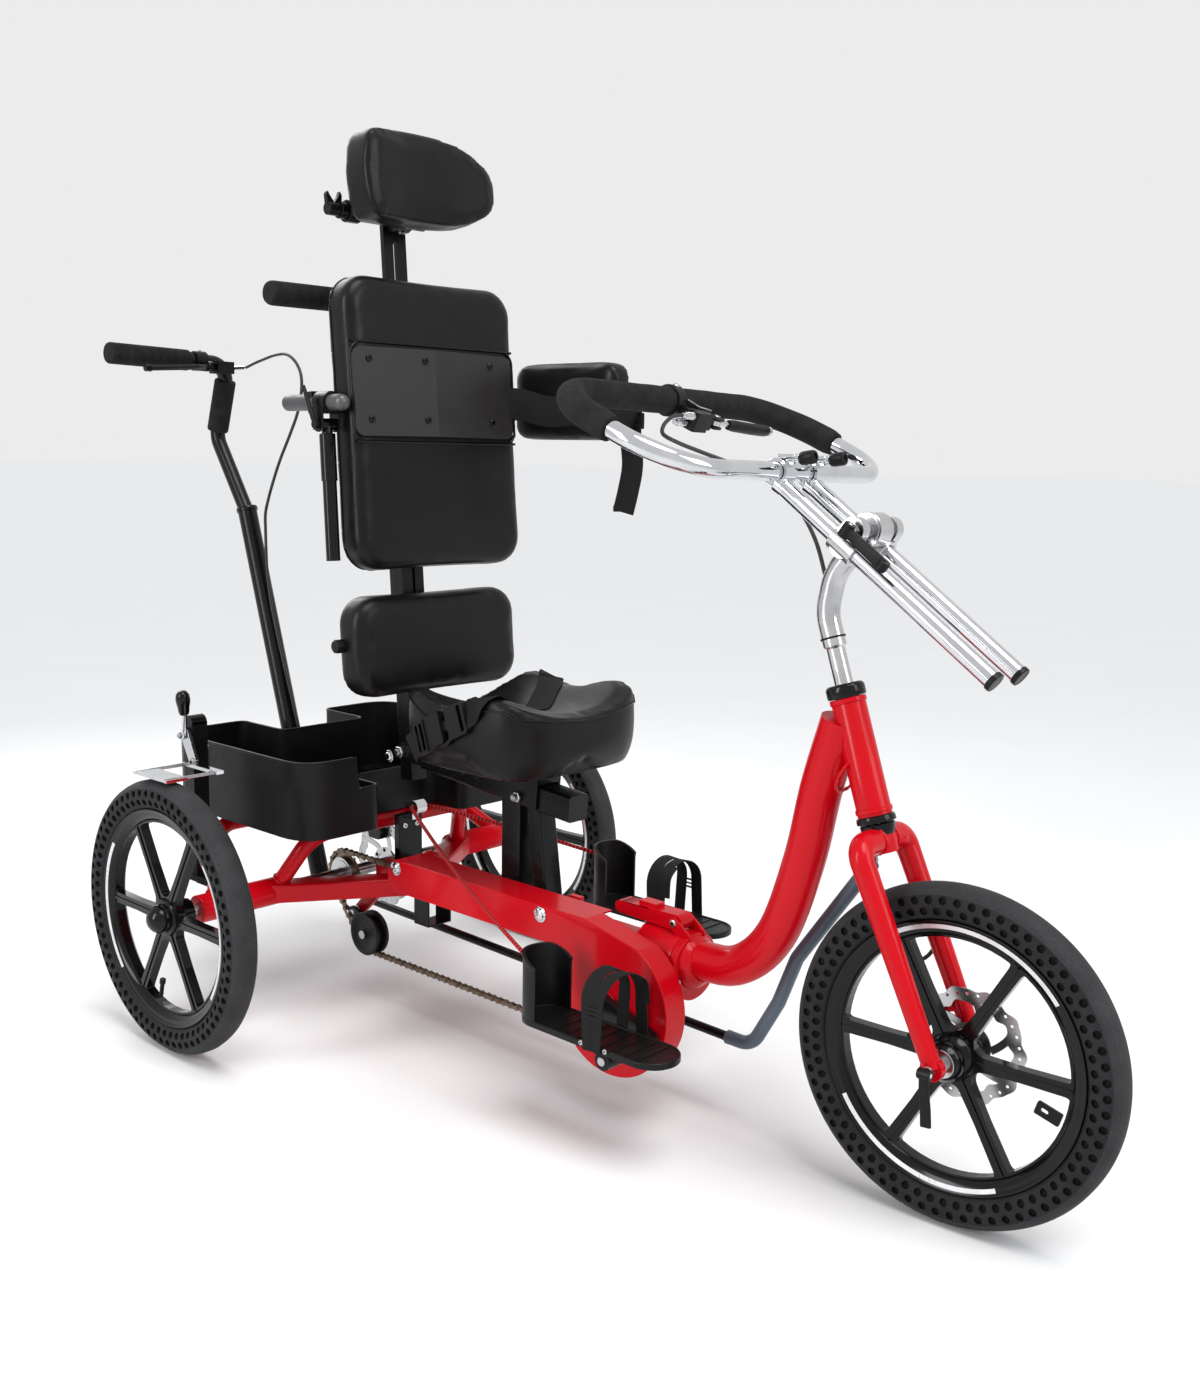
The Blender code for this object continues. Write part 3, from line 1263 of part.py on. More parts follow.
def fork():
    """Steerer, crown, two tapered legs and the front axle's pin, with the steering arm on the left."""
    crown_z = -GAP - 0.0165 - 0.004
    crown = rod(0.0165, steer(0, -FORK_HALF - 0.004, crown_z), steer(0, FORK_HALF + 0.004, crown_z), 14)
    steerer = rod(STEERER_RADIUS, steer(0, 0, crown_z), steer(0, 0, STEERER_TOP))
    race = rod(0.021, steer(0, 0, crown_z), steer(0, 0, -2 * GAP))
    shapes = [steerer, race]
    for side in (1, -1):
        top = steer(0, side * FORK_HALF, crown_z)
        tip = steer(DROPOUT.x, side * FORK_HALF, DROPOUT.z)
        shapes.append(rod(FORK_LEG_TOP, top, tip, 12, FORK_LEG_TIP))
        y = side * FORK_HALF
        shapes.append(across(0.014, WHEELBASE, WHEEL_RADIUS, y - 0.0052, y + 0.0052, 14))
    reach = FORK_HALF + FORK_LEG_TIP
    shapes.append(across(FRONT_PIN_RADIUS, WHEELBASE, WHEEL_RADIUS, -reach - 0.002, reach + 0.004))
    shapes.append(across(0.0095, WHEELBASE, WHEEL_RADIUS, reach - 0.004, reach + 0.003, 6))
    right_spacer = -FRONT_HUB_HALF - GAP
    left_spacer = FRONT_ROTOR_Y + ROTOR_THICKNESS / 2 + GAP
    shapes.append(across(0.010, WHEELBASE, WHEEL_RADIUS, -FORK_HALF, right_spacer))
    shapes.append(across(0.010, WHEELBASE, WHEEL_RADIUS, left_spacer, FORK_HALF))
    arm = plate([belt([(0.004, 0.030, 0.013), (ARM_END.x, ARM_END.y, 0.0085)], 5)], 0.006, steer(0, 0, -ARM_DROP), HEAD_TURN)
    shapes.append(arm)
    tab = FRONT_TAB
    shapes.append(strut(steer(0.016, 0.0505, tab.z), steer(tab.x + 0.0015, 0.0505, tab.z), 0.010, 0.020))
    bore = rod(fit(QUILL_RADIUS, GAP), steer(0, 0, 0.012), steer(0, 0, STEERER_TOP + 0.03))
    node("fork", crown, STEERING, RED_PAINT, add=shapes, cut=[bore])
    front_calliper()


def calliper(name, centre, turn, disc, parent, add):
    """A calliper: its block and pad adjuster, with a round slot that the brake disc's edge runs in."""
    body = box((0.030, 0.026, 0.042), centre, turn, edge=0.003)
    knob = across(0.009, centre.x, centre.z, centre.y + 0.011, centre.y + 0.018, 12)
    half = ROTOR_THICKNESS / 2 + 0.0011
    slot = across(ROTOR_RADIUS + 0.0018, disc.x, disc.z, disc.y - half, disc.y + half, 40)
    node(name, body, parent, BLACK_PAINT, add=[knob, *add], cut=[slot])


def front_calliper():
    centre = FRONT_CALLIPER
    disc = Vector((WHEELBASE, FRONT_ROTOR_Y, WHEEL_RADIUS))
    arm = strut(centre + Vector((-0.010, 0.009, 0.015)), centre + Vector((-0.016, 0.009, 0.045)), 0.006, 0.012)
    calliper("front_brake_calliper", centre, HEAD_TURN, disc, STEERING, [arm])


def rear_calliper():
    disc = Vector((0.0, REAR_ROTOR_Y, WHEEL_RADIUS))
    calliper("rear_brake_calliper", REAR_CALLIPER, FLAT, disc, FRAME, [])


REACH_AXIS = Vector((math.cos(REACH_SLOPE), 0.0, -math.sin(REACH_SLOPE)))
REACH_DOWN = Vector((-math.sin(REACH_SLOPE), 0.0, -math.cos(REACH_SLOPE)))
REACH_DROP = 0.0105
REACH_TOP = LOOP_FRONT + REACH_DOWN * REACH_DROP
LOOP_RISE = Vector((-math.cos(LOOP_SLOPE), 0.0, math.sin(LOOP_SLOPE)))


def reach_point(distance, y=0.0):
    return REACH_TOP + REACH_AXIS * distance + Vector((0, y, 0))


def stem():
    """A quill that slides in the steerer, bent forward to an eye for the bar clamp."""
    slide = group("stem_slide", steer(0, 0, STEERER_TOP), HEAD_TURN, STEERING)
    quill = rod(QUILL_RADIUS, steer(0, 0, 0.060), steer(0, 0, QUILL_TOP + 0.01))
    neck = pipe(
        bent_path(
            [
                steer(0, 0, QUILL_TOP - 0.004),
                steer(0, 0, QUILL_TOP + 0.035),
                STEM_CLAMP + Vector((-0.045, 0, -0.052)),
                STEM_CLAMP,
            ],
            0.06,
        ),
        0.0140,
        sides=14,
    )
    eye = across(0.020, STEM_CLAMP.x, STEM_CLAMP.z, -0.015, 0.015, 16)
    bore = across(fit(0.0072, RUNNING), STEM_CLAMP.x, STEM_CLAMP.z, -0.03, 0.03)
    node("stem", quill, slide, STEEL, add=[neck, eye], cut=[bore])
    return slide


def bar_clamp(slide):
    """The yoke that tilts on the stem's eye and holds the two reach bars."""
    tilt = group("bar_tilt_axis", STEM_CLAMP, parent=slide)
    along_bars = (STEM_CLAMP - REACH_TOP).dot(REACH_AXIS)
    held = reach_point(along_bars)
    pin = across(0.0072, STEM_CLAMP.x, STEM_CLAMP.z, -0.0525, 0.0525)
    cheeks = []
    bores = []
    for side in (1, -1):
        outline = belt([(STEM_CLAMP.x, STEM_CLAMP.z, 0.015), (held.x, held.z, 0.0175)], 7)
        cheeks.append(plate([outline], 0.036, (0, side * REACH_SPREAD, 0), SIDE))
        y = side * REACH_SPREAD
        bores.append(rod(fit(BAR_RADIUS, RUNNING), reach_point(along_bars - 0.06, y), reach_point(along_bars + 0.06, y)))
    node("bar_clamp", pin, tilt, STEEL, add=cheeks, cut=bores)

    pivot = STEM_CLAMP + Vector((0.0, -0.0595, 0.0))
    lever = group("bar_clamp_lever_axis", pivot, (0.0, REACH_SLOPE, 0.0), tilt)
    barrel = rod(0.0068, pivot - REACH_DOWN * 0.009, pivot + REACH_DOWN * 0.009)
    blade = strut(pivot + REACH_AXIS * -0.002, pivot + REACH_AXIS * 0.062 + Vector((0, -0.006, 0)), 0.006, 0.015, edge=0.001)
    node("bar_clamp_lever", barrel, lever, BLACK_PLASTIC, add=[blade])
    return tilt


def loop_point(u, v):
    """A point in the handlebar loop's plane: u to the left and v up its slope from the front tube."""
    return LOOP_FRONT + LOOP_RISE * v + Vector((0, u, 0))


def loop_path(corner, steps):
    """The handlebar's closed oval, from the middle of its front tube round by the left."""
    half, depth = LOOP_HALF_WIDTH, LOOP_DEPTH
    corners = [
        (half - corner, corner, -90, 0),
        (half - corner, depth - corner, 0, 90),
        (-half + corner, depth - corner, 90, 180),
        (-half + corner, corner, 180, 270),
    ]
    points = []
    for u, v, start, end in corners:
        points += arc(u, v, corner, start, end, steps)
    return [loop_point(u, v) for u, v in points]


LOOP_CORNER = 0.085
FOAM_START = 0.098


def handlebar(tilt):
    """The two sliding reach bars and the padded loop that turns in their clamps."""
    slide = group("reach_slide", REACH_TOP, (0.0, REACH_SLOPE, 0.0), tilt)
    bore_radius = fit(BAR_RADIUS, RUNNING)
    for side, label in ((-1, "right"), (1, "left")):
        y = side * REACH_SPREAD
        bar = rod(BAR_RADIUS, reach_point(0.002, y), reach_point(REACH_LENGTH, y))
        collar = across(0.0185, LOOP_FRONT.x, LOOP_FRONT.z, y - 0.012, y + 0.012)
        lug = block((LOOP_FRONT.x - 0.004, LOOP_FRONT.x + 0.026), (y - 0.006, y + 0.006), (LOOP_FRONT.z + 0.006, LOOP_FRONT.z + 0.022), edge=0.001)
        knob = rod(0.0085, (LOOP_FRONT.x + 0.016, y, LOOP_FRONT.z + 0.014), (LOOP_FRONT.x + 0.046, y, LOOP_FRONT.z + 0.018), 12)
        plug = rod(BAR_RADIUS + 0.001, reach_point(REACH_LENGTH - 0.001, y), reach_point(REACH_LENGTH + 0.006, y))
        hole = across(bore_radius, LOOP_FRONT.x, LOOP_FRONT.z, y - 0.03, y + 0.03)
        node("reach_bar_" + label, bar, slide, CHROME, add=[collar, lug, knob, plug], cut=[hole])

    turn = group("handlebar_axis", LOOP_FRONT, parent=slide)
    path = loop_path(LOOP_CORNER, 4)
    node("handlebar", pipe(path, BAR_RADIUS, 12, closed=True), turn, CHROME)
    inside = pipe(path, fit(BAR_RADIUS, GAP, 12) + GAP, 12, closed=True)
    sleeve_path = [
        loop_point(LOOP_HALF_WIDTH, FOAM_START),
        *path[len(path) // 4 : 3 * len(path) // 4],
        loop_point(-LOOP_HALF_WIDTH, FOAM_START),
    ]
    sleeve = pipe(sleeve_path, FOAM_RADIUS, 12)
    node("handlebar_grip", sleeve, turn, FOAM, cut=[inside])
    brake_lever(turn)


LOOP_TURN = (0.0, LOOP_SLOPE, 0.0)
LOOP_NORMAL = Vector((math.sin(LOOP_SLOPE), 0.0, math.cos(LOOP_SLOPE)))


def lever_point(u, v, w):
    return loop_point(u, v) + LOOP_NORMAL * w


def brake_lever(turn):
    """The brake lever's clamp round the padded bar, its body with two cable adjusters, and the lever."""
    band = ring(fit(FOAM_RADIUS, GAP), 0.0215, 0.009, loop_point(0.004, LOOP_DEPTH))
    body = box((0.024, 0.046, 0.026), lever_point(0.030, 0.175, -0.010), LOOP_TURN, edge=0.002)
    neck = box((0.015, 0.016, 0.014), lever_point(0.008, 0.1815, -0.004), LOOP_TURN)
    adjusters = [
        rod(0.0048, lever_point(0.010, v, w), lever_point(-0.016, v, w), 12)
        for v, w in ((0.170, -0.004), (0.178, -0.016))
    ]
    pivot = lever_point(0.0615, 0.172, -0.010)
    ears = [
        box((0.018, 0.022, 0.003), lever_point(0.0605, 0.172, w), LOOP_TURN, edge=0.0008)
        for w in (-0.0042, -0.0158)
    ]
    pin = rod(0.003, pivot - LOOP_NORMAL * 0.008, pivot + LOOP_NORMAL * 0.008, 12)
    gap_box = box((0.030, 0.022, 0.0086), lever_point(0.0635, 0.172, -0.010), LOOP_TURN)
    clamp_body = node("brake_lever_clamp", band, turn, BLACK_PLASTIC, add=[neck, body], cut=[gap_box])
    for shape in (*ears, pin, *adjusters):
        boolean(clamp_body, shape, "UNION")
        attach(shape, turn)

    lever = group("front_brake_lever_axis", pivot, LOOP_TURN, turn)
    eye = rod(0.0075, pivot - LOOP_NORMAL * 0.0038, pivot + LOOP_NORMAL * 0.0038)
    tip = lever_point(0.168, 0.160, -0.012)
    blade = strut(pivot, lever_point(0.100, 0.166, -0.011), 0.007, 0.0058)
    sleeve = rod(0.0078, lever_point(0.085, 0.168, -0.011), tip, 12)
    ball = rod(0.0066, tip, tip + (tip - pivot).normalized() * 0.006, 12)
    bore = rod(fit(0.003, GAP, 12), pivot - LOOP_NORMAL * 0.02, pivot + LOOP_NORMAL * 0.02, 12)
    node("front_brake_lever", eye, lever, STEEL, add=[blade, sleeve, ball], cut=[bore])


def at_rest(point):
    """Where a point of the steered parts lies at the rest angle."""
    return HEAD_LOW + Matrix.Rotation(REST_STEER, 3, HEAD_AXIS) @ (Vector(point) - HEAD_LOW)


def cord(name, points, radius, material, parent, spacing=None, sides=6):
    """A cable or cord along a smooth curve through its route's points."""
    path = smooth_path(points, spacing or 6 * radius)
    node(name, pipe(path, radius, sides), parent, material)


def steered(x, y, z):
    """A point on the steered parts, in steering coordinates, where it lies at the rest angle."""
    turn_cos, turn_sin = math.cos(REST_STEER), math.sin(REST_STEER)
    return steer(x * turn_cos - y * turn_sin, x * turn_sin + y * turn_cos, z)


COLUMN_ARM = 0.050
LINK_GAP = 0.0008


def steering_rod():
    """The link from the push column's arm to the fork's arm, which slides as they turn together."""
    slide = group("steering_rod_slide", (0.0, COLUMN_ARM, 0.11), HEAD_TURN, ROOT)
    front_top = steered(ARM_END.x, ARM_END.y, -ARM_DROP - 0.003 - LINK_GAP)
    front_end = steered(ARM_END.x, ARM_END.y, -ARM_DROP - 0.024)
    rear_top = column(0, COLUMN_ARM, -LINK_GAP)
    rear_end = column(0, COLUMN_ARM, -0.020)
    y = COLUMN_ARM
    knee = [(0.655, y, 0.101), (0.736, y, 0.100), (0.7845, y, 0.193)]
    lower = [rear_end, (-0.070, y, 0.118), (0.340, y, 0.108), *knee]
    upper = [(0.776, y, 0.171), (0.802, y, 0.238), front_end]
    thin = pipe(bent_path(lower, 0.035), 0.0065, 10)
    thick = pipe(bent_path(upper, 0.05), 0.0095, 12)
    front_joint = rod(0.0082, front_end - HEAD_AXIS * 0.002, front_top)
    rear_joint = rod(0.0085, rear_end - COLUMN_AXIS * 0.006, rear_top)
    node("steering_rod", thin, slide, BLUE_GREY, add=[thick, front_joint, rear_joint])


def in_back(shape):
    """Moves a shape given in the backrest's own coordinates to its place."""
    shape.matrix_basis = STRAIGHT["recline_axis"] @ local_matrix(shape)
    return shape


def local_matrix(shape):
    """A shape's matrix from its location and its rotation, in whichever mode it uses."""
    if shape.rotation_mode == "QUATERNION":
        turn = shape.rotation_quaternion.to_matrix()
    else:
        turn = shape.rotation_euler.to_matrix()
    return Matrix.Translation(shape.location) @ turn.to_4x4() @ Matrix.Diagonal((*shape.scale, 1.0))


RAIL_FRONT = POST_HALF + 0.0085
RAIL_HALF = 0.021
RAIL_TOP = 0.470
GRIP_X = -0.040
GRIP_Z = 0.680
GRIP_HALF = 0.185


def back_post():
    """The reclining post with the rail in front of it and the padded carer's bar behind its top."""
    post = in_back(block((-POST_HALF, POST_HALF), (-POST_HALF, POST_HALF), (-0.045, POST_TOP), edge=0.002))
    rail = in_back(block((POST_HALF - 0.002, RAIL_FRONT), (-RAIL_HALF, RAIL_HALF), (0.030, RAIL_TOP), edge=0.0015))
    slot = in_back(block((RAIL_FRONT - 0.003, RAIL_FRONT + 0.01), (-0.004, 0.004), (0.05, RAIL_TOP - 0.02)))
    bracket = in_back(block((GRIP_X, -POST_HALF + 0.002), (-0.012, 0.012), (GRIP_Z - 0.012, GRIP_Z + 0.012), edge=0.001))
    outer_half = [
        (0.0, GRIP_HALF),
        (0.012, GRIP_HALF),
        (0.0175, GRIP_HALF - 0.006),
        (0.0175, 0.055),
        (0.0125, 0.055),
    ]
    profile = [*outer_half, *[(radius, -height) for radius, height in reversed(outer_half)]]
    bar = in_back(turned(profile, (GRIP_X, 0, GRIP_Z)))
    bore = across(fit(BACK_BOLT_RADIUS, GAP), BACK_PIVOT.x, BACK_PIVOT.z, -0.04, 0.04)
    node("back_post", post, BACKREST, BLACK_PAINT, add=[rail, bracket, bar], cut=[slot, bore])


def spread(value, share):
    """Moves a cage's inner loops out to the given share of its half, to keep its middle flat."""
    size = abs(value)
    if size < 0.1 or size > 0.9:
        return value
    return math.copysign(share, value)


def pad_form(thickness_crown, corner, loops):
    """A form for an upholstered pad: u through its thickness, v across and w up it."""

    def form(u, v, w):
        v, w = spread(v, loops), spread(w, loops)
        drawn_v = v * (1 - corner * w**4)
        drawn_w = w * (1 - corner * v**4)
        edge = max(abs(v), abs(w))
        u = u * (1 - thickness_crown * edge**3)
        return u, drawn_v, drawn_w

    return form


def pad(size, centre, cuts, crown, corner, loops=0.68):
    shape = soften(cushion_cage(size, cuts, pad_form(crown, corner, loops)))
    shape.location = centre
    return shape


PAD_REAR = 0.054
PAD_FRONT = 0.104
PAD_LOW = 0.280
PAD_TOP = 0.695
PAD_HALF = 0.160


def back_pad():
    """The long back pad, whose bracket slides on the rail."""
    slide = group("back_pad_slide", back(0, 0, PAD_LOW), BACK_TURN, BACKREST)
    middle = ((PAD_REAR + PAD_FRONT) / 2, 0.0, (PAD_LOW + PAD_TOP) / 2)
    size = (PAD_FRONT - PAD_REAR, 2 * PAD_HALF, PAD_TOP - PAD_LOW + 0.012)
    shape = in_back(pad(size, middle, 3, 0.16, 0.10, 0.74))
    bracket = in_back(block((RAIL_FRONT + GAP, PAD_REAR + 0.006), (-0.024, 0.024), (0.300, 0.425), edge=0.002))
    node("back_pad", shape, slide, VINYL, add=[bracket])

    bottom, top = 0.463, 0.600
    right, crease, left = -0.160, -0.020, 0.140
    rise, sheet = 0.012, 0.004
    near = PAD_FRONT + 0.0035
    section = [
        (near, right),
        (near + rise, crease),
        (near, left),
        (near + sheet, left),
        (near + rise + sheet, crease),
        (near + sheet, right),
    ]
    bent = in_back(plate([section], top - bottom, (0, 0, (bottom + top) / 2)))
    frame = in_back(plate([rounded((right, left), (bottom, top), 0.014)], 0.06, (near, 0, 0), FRONT))
    boolean(bent, frame, "INTERSECT")
    attach(frame, slide)
    backing_x = (PAD_FRONT - 0.0006, near + 0.0105)
    backing = in_back(block(backing_x, (-0.065, 0.045), (bottom + 0.03, top - 0.03)))
    node("trunk_plate", bent, slide, BLACK_PAINT, add=[backing])
    laterals(slide)


LATERAL_Z = 0.519
LATERAL_BAR_X = (0.0435, PAD_REAR + 0.0006)
LATERAL_Y = -0.180
LEFT_PAD_Y = 0.200


def laterals(slide):
    """The bar behind the pad with the right side's folded arm and the left side's pad on its ends."""
    bar_x = sum(LATERAL_BAR_X) / 2
    left_end = LEFT_PAD_Y + 0.0135
    bar = in_back(block(LATERAL_BAR_X, (LATERAL_Y - 0.010, left_end), (LATERAL_Z - 0.015, LATERAL_Z + 0.015), edge=0.001))
    tube_z = 0.931
    profile = [(0.0, 0.070), (0.007, 0.068), (0.0115, 0.062), (0.0115, -0.064), (0.0, -0.064)]
    tube = turned(profile, (0.117, LATERAL_Y, tube_z), FORWARD)
    pivot = Vector((0.142, LATERAL_Y, tube_z - 0.030))
    hanger = [
        block((pivot.x - 0.011, pivot.x + 0.011), sorted((LATERAL_Y + side * 0.0125, LATERAL_Y + side * 0.0155)), (pivot.z - 0.008, tube_z))
        for side in (1, -1)
    ]
    saddle = block((pivot.x - 0.013, pivot.x + 0.013), (LATERAL_Y - 0.016, LATERAL_Y + 0.016), (tube_z - 0.016, tube_z + 0.014), edge=0.001)
    pin = across(0.004, pivot.x, pivot.z, LATERAL_Y - 0.020, LATERAL_Y + 0.018, 12)
    handle = strut((pivot.x, LATERAL_Y - 0.020, pivot.z), (pivot.x - 0.018, LATERAL_Y - 0.026, pivot.z + 0.052), 0.005, 0.012)
    clamp_end = in_back(rod(0.006, (bar_x, left_end - 0.02, LATERAL_Z), (bar_x, left_end + 0.0095, LATERAL_Z)))
    clamp_head = in_back(rod(0.0095, (bar_x, left_end + 0.0065, LATERAL_Z), (bar_x, left_end + 0.0105, LATERAL_Z), 6))
    shapes = [tube, saddle, *hanger, pin, handle, clamp_end, clamp_head]
    node("lateral_bracket", bar, slide, BLACK_PAINT, add=shapes)

    arm_axis = group("lateral_arm_right_axis", pivot, parent=slide)
    eye = across(0.0085, pivot.x, pivot.z, LATERAL_Y - 0.0120, LATERAL_Y + 0.0120)
    arm = rod(0.0112, pivot + Vector((0.001, 0, -0.0125)), pivot + Vector((0.011, 0, -0.188)))
    neck = rod(0.0075, pivot, pivot + Vector((0.002, 0, -0.02)), 12)
    bore = across(fit(0.004, RUNNING, 12), pivot.x, pivot.z, LATERAL_Y - 0.03, LATERAL_Y + 0.03, 12)
    node("lateral_arm_right", eye, arm_axis, BLACK_PAINT, add=[neck, arm], cut=[bore])

    hinge = back(bar_x, left_end + 0.003, LATERAL_Z)
    pad_axis = group("lateral_pad_left_axis", hinge, parent=slide)
    cushion = pad((0.036, 0.214, 0.112), (0, 0, 0), 2, 0.12, 0.14, 0.55)
    cushion.rotation_euler = (0, 0, -math.pi / 2)
    cushion.location = (0.245, LEFT_PAD_Y, 0.944)
    plate_y = left_end + GAP + 0.0028
    outline = belt([(hinge.x, hinge.z, 0.013), (0.285, 0.944, 0.014)], 6)
    arm_plate = plate([outline], 0.0056, (0, plate_y, 0), SIDE)
    bore = across(fit(0.006, RUNNING), hinge.x, hinge.z, 0.19, 0.24)
    node("lateral_pad_left", cushion, pad_axis, VINYL, add=[arm_plate], cut=[bore])


def lumbar_pad():
    slide = group("lumbar_slide", back(0, 0, 0.17), BACK_TURN, BACKREST)
    shape = in_back(pad((0.052, 0.318, 0.150), (0.060, 0.0, 0.172), 2, 0.14, 0.12, 0.60))
    bracket = in_back(block((RAIL_FRONT + GAP, 0.044), (-0.024, 0.024), (0.135, 0.210), edge=0.002))
    knob = in_back(across(0.009, 0.046, 0.176, -0.172, -0.145, 12))
    node("lumbar_pad", shape, slide, VINYL, add=[bracket, knob])


HEAD_HUB = Vector((0.0375, 0.0, 0.790))


def headrest():
    """The slotted stem above the rail, with the headrest tilting on the cross tube at its top."""
    slide = group("headrest_slide", back(0, 0, RAIL_TOP), BACK_TURN, BACKREST)
    stem_low = RAIL_TOP + SLIDING
    outline = rounded((-RAIL_HALF, RAIL_HALF), (stem_low, HEAD_HUB.z + 0.012), 0.004)
    groove = rounded((-0.0035, 0.0035), (stem_low + 0.02, HEAD_HUB.z - 0.03), 0.003)
    bar = in_back(plate([outline, groove], 0.0078, (POST_HALF + SLIDING + 0.0039, 0, 0), FRONT))
    boss = in_back(ring(fit(0.012, RUNNING), 0.0185, 0.013, HEAD_HUB))
    web = in_back(block((POST_HALF + 0.002, HEAD_HUB.x - 0.013), (-0.013, 0.013), (HEAD_HUB.z - 0.013, HEAD_HUB.z + 0.011)))
    node("headrest_stem", bar, slide, BLACK_PAINT, add=[web, boss])

    tilt = group("headrest_axis", back(*HEAD_HUB), BACK_TURN, slide)

    def form(u, v, w):
        v, w = spread(v, 0.66), spread(w, 0.56)
        wing = 0.50 * v * v
        taper = 1 - 0.16 * v**4
        u = u * (1 - 0.14 * max(abs(v), abs(w)) ** 3) + wing
        return u, v * (1 - 0.08 * w * w), w * taper - 0.10 * v * v

    cushion = in_back(soften(cushion_cage((0.056, 0.268, 0.140), 2, form)))
    centre = back(HEAD_HUB.x + 0.046, 0.0, HEAD_HUB.z + 0.040)
    cushion.matrix_basis = Matrix.Translation(centre) @ STRAIGHT["recline_axis"].to_3x3().to_4x4()
    tube = in_back(across(0.012, HEAD_HUB.x, HEAD_HUB.z, -0.112, 0.045))
    mounts = [
        in_back(block((HEAD_HUB.x - 0.004, HEAD_HUB.x + 0.036), sorted((side * 0.020, side * 0.036)), (HEAD_HUB.z - 0.010, HEAD_HUB.z + 0.022)))
        for side in (1, -1)
    ]
    wing_knob = in_back(block((HEAD_HUB.x - 0.004, HEAD_HUB.x + 0.004), (-0.132, -0.108), (HEAD_HUB.z - 0.006, HEAD_HUB.z + 0.026), edge=0.002))
    collar = in_back(across(0.0155, HEAD_HUB.x, HEAD_HUB.z, -0.100, -0.078))
    node("headrest", cushion, tilt, VINYL, add=[*mounts, tube, wing_knob, collar])


COLUMN_TOP = 0.640
HANDLE_RADIUS = 0.0125
HANDLE_BEND = Vector((-0.412, 0.0, 0.885))
HANDLE_TOP = Vector((-0.372, 0.0, 1.006))
HANDLE_END_Y = -0.215
PUSH_PIVOT = HANDLE_TOP + Vector((0.028, -0.052, -0.008))


def push_handle():
    """The push column that steers the front wheel, with its bent handle, grip and brake lever."""
    tube = rod(COLUMN_RADIUS, column(0, 0, 0.0), column(0, 0, COLUMN_TOP))
    collar = rod(COLUMN_RADIUS + 0.002, column(0, 0, COLUMN_TOP - 0.004), column(0, 0, COLUMN_TOP + 0.004))
    path = [column(0, 0, COLUMN_TOP - 0.01), HANDLE_BEND, HANDLE_TOP, HANDLE_TOP + Vector((0.002, HANDLE_END_Y, 0.006))]
    upper = pipe(bent_path(path, 0.035), HANDLE_RADIUS, 12)
    sleeve = rod(0.018, HANDLE_BEND.lerp(HANDLE_TOP, 0.08), HANDLE_BEND.lerp(HANDLE_TOP, 0.78))
    arm = plate([belt([(0.0, 0.0, COLUMN_RADIUS + 0.005), (0.0, COLUMN_ARM, 0.0085)], 6)], 0.006, column(0, 0, 0.003), (0, COLUMN_TILT, 0))
    stop = rod(COLUMN_RADIUS + 0.005, column(0, 0, 0.083), column(0, 0, 0.096 - GAP))
    pivot = PUSH_PIVOT
    clamp_centre = HANDLE_TOP + Vector((0.001, -0.056, 0.002))
    clamp_ring = across(0.0165, clamp_centre.x, clamp_centre.z, clamp_centre.y - 0.012, clamp_centre.y + 0.010)
    body = block((pivot.x - 0.018, pivot.x + 0.010), (pivot.y + 0.0085, pivot.y + 0.040), (pivot.z - 0.010, pivot.z + 0.010), edge=0.002)
    neck = block((clamp_centre.x, pivot.x - 0.004), (pivot.y + 0.009, pivot.y + 0.022), (pivot.z - 0.006, pivot.z + 0.008))
    adjuster = rod(0.0045, (pivot.x + 0.004, pivot.y + 0.036, pivot.z), (pivot.x + 0.012, pivot.y + 0.058, pivot.z + 0.002), 12)
    ears = [
        block((pivot.x - 0.008, pivot.x + 0.008), (pivot.y - 0.007, pivot.y + 0.010), sorted((pivot.z + side * 0.0044, pivot.z + side * 0.0074)), edge=0.0006)
        for side in (1, -1)
    ]
    pin = rod(0.003, pivot - UP * 0.007, pivot + UP * 0.007, 12)
    shapes = [collar, upper, sleeve, arm, stop, clamp_ring, body, neck, adjuster, *ears, pin]
    node("push_handle", tube, COLUMN, BLACK_PAINT, add=shapes)

    grip_bore = fit(HANDLE_RADIUS, GAP, 12) + 0.0008
    grip_start = HANDLE_TOP + Vector((0.001, -0.078, 0.0022))
    grip_end = HANDLE_TOP + Vector((0.002, HANDLE_END_Y - 0.006, 0.006))
    outside = rod(0.0172, grip_start, grip_end)
    inside = rod(grip_bore, grip_start - (grip_end - grip_start) * 0.2, HANDLE_TOP + Vector((0.002, HANDLE_END_Y - 0.0012, 0.006)))
    node("push_grip", bevel(outside, 0.003), COLUMN, FOAM, cut=[inside])

    lever = group("push_brake_lever_axis", pivot, parent=COLUMN)
    eye = rod(0.0072, pivot - UP * 0.0039, pivot + UP * 0.0039)
    bend = pivot + Vector((0.012, -0.030, -0.002))
    tip = pivot + Vector((0.012, -0.120, -0.008))
    blade = pipe(bent_path([pivot, bend, tip], 0.03), 0.0038, 8)
    end = rod(0.0058, tip + Vector((0, 0.004, 0)), tip + Vector((0, -0.008, 0)), 12)
    bore = rod(fit(0.003, GAP, 12), pivot - UP * 0.02, pivot + UP * 0.02, 12)
    node("push_brake_lever", eye, lever, STEEL, add=[blade, end], cut=[bore])


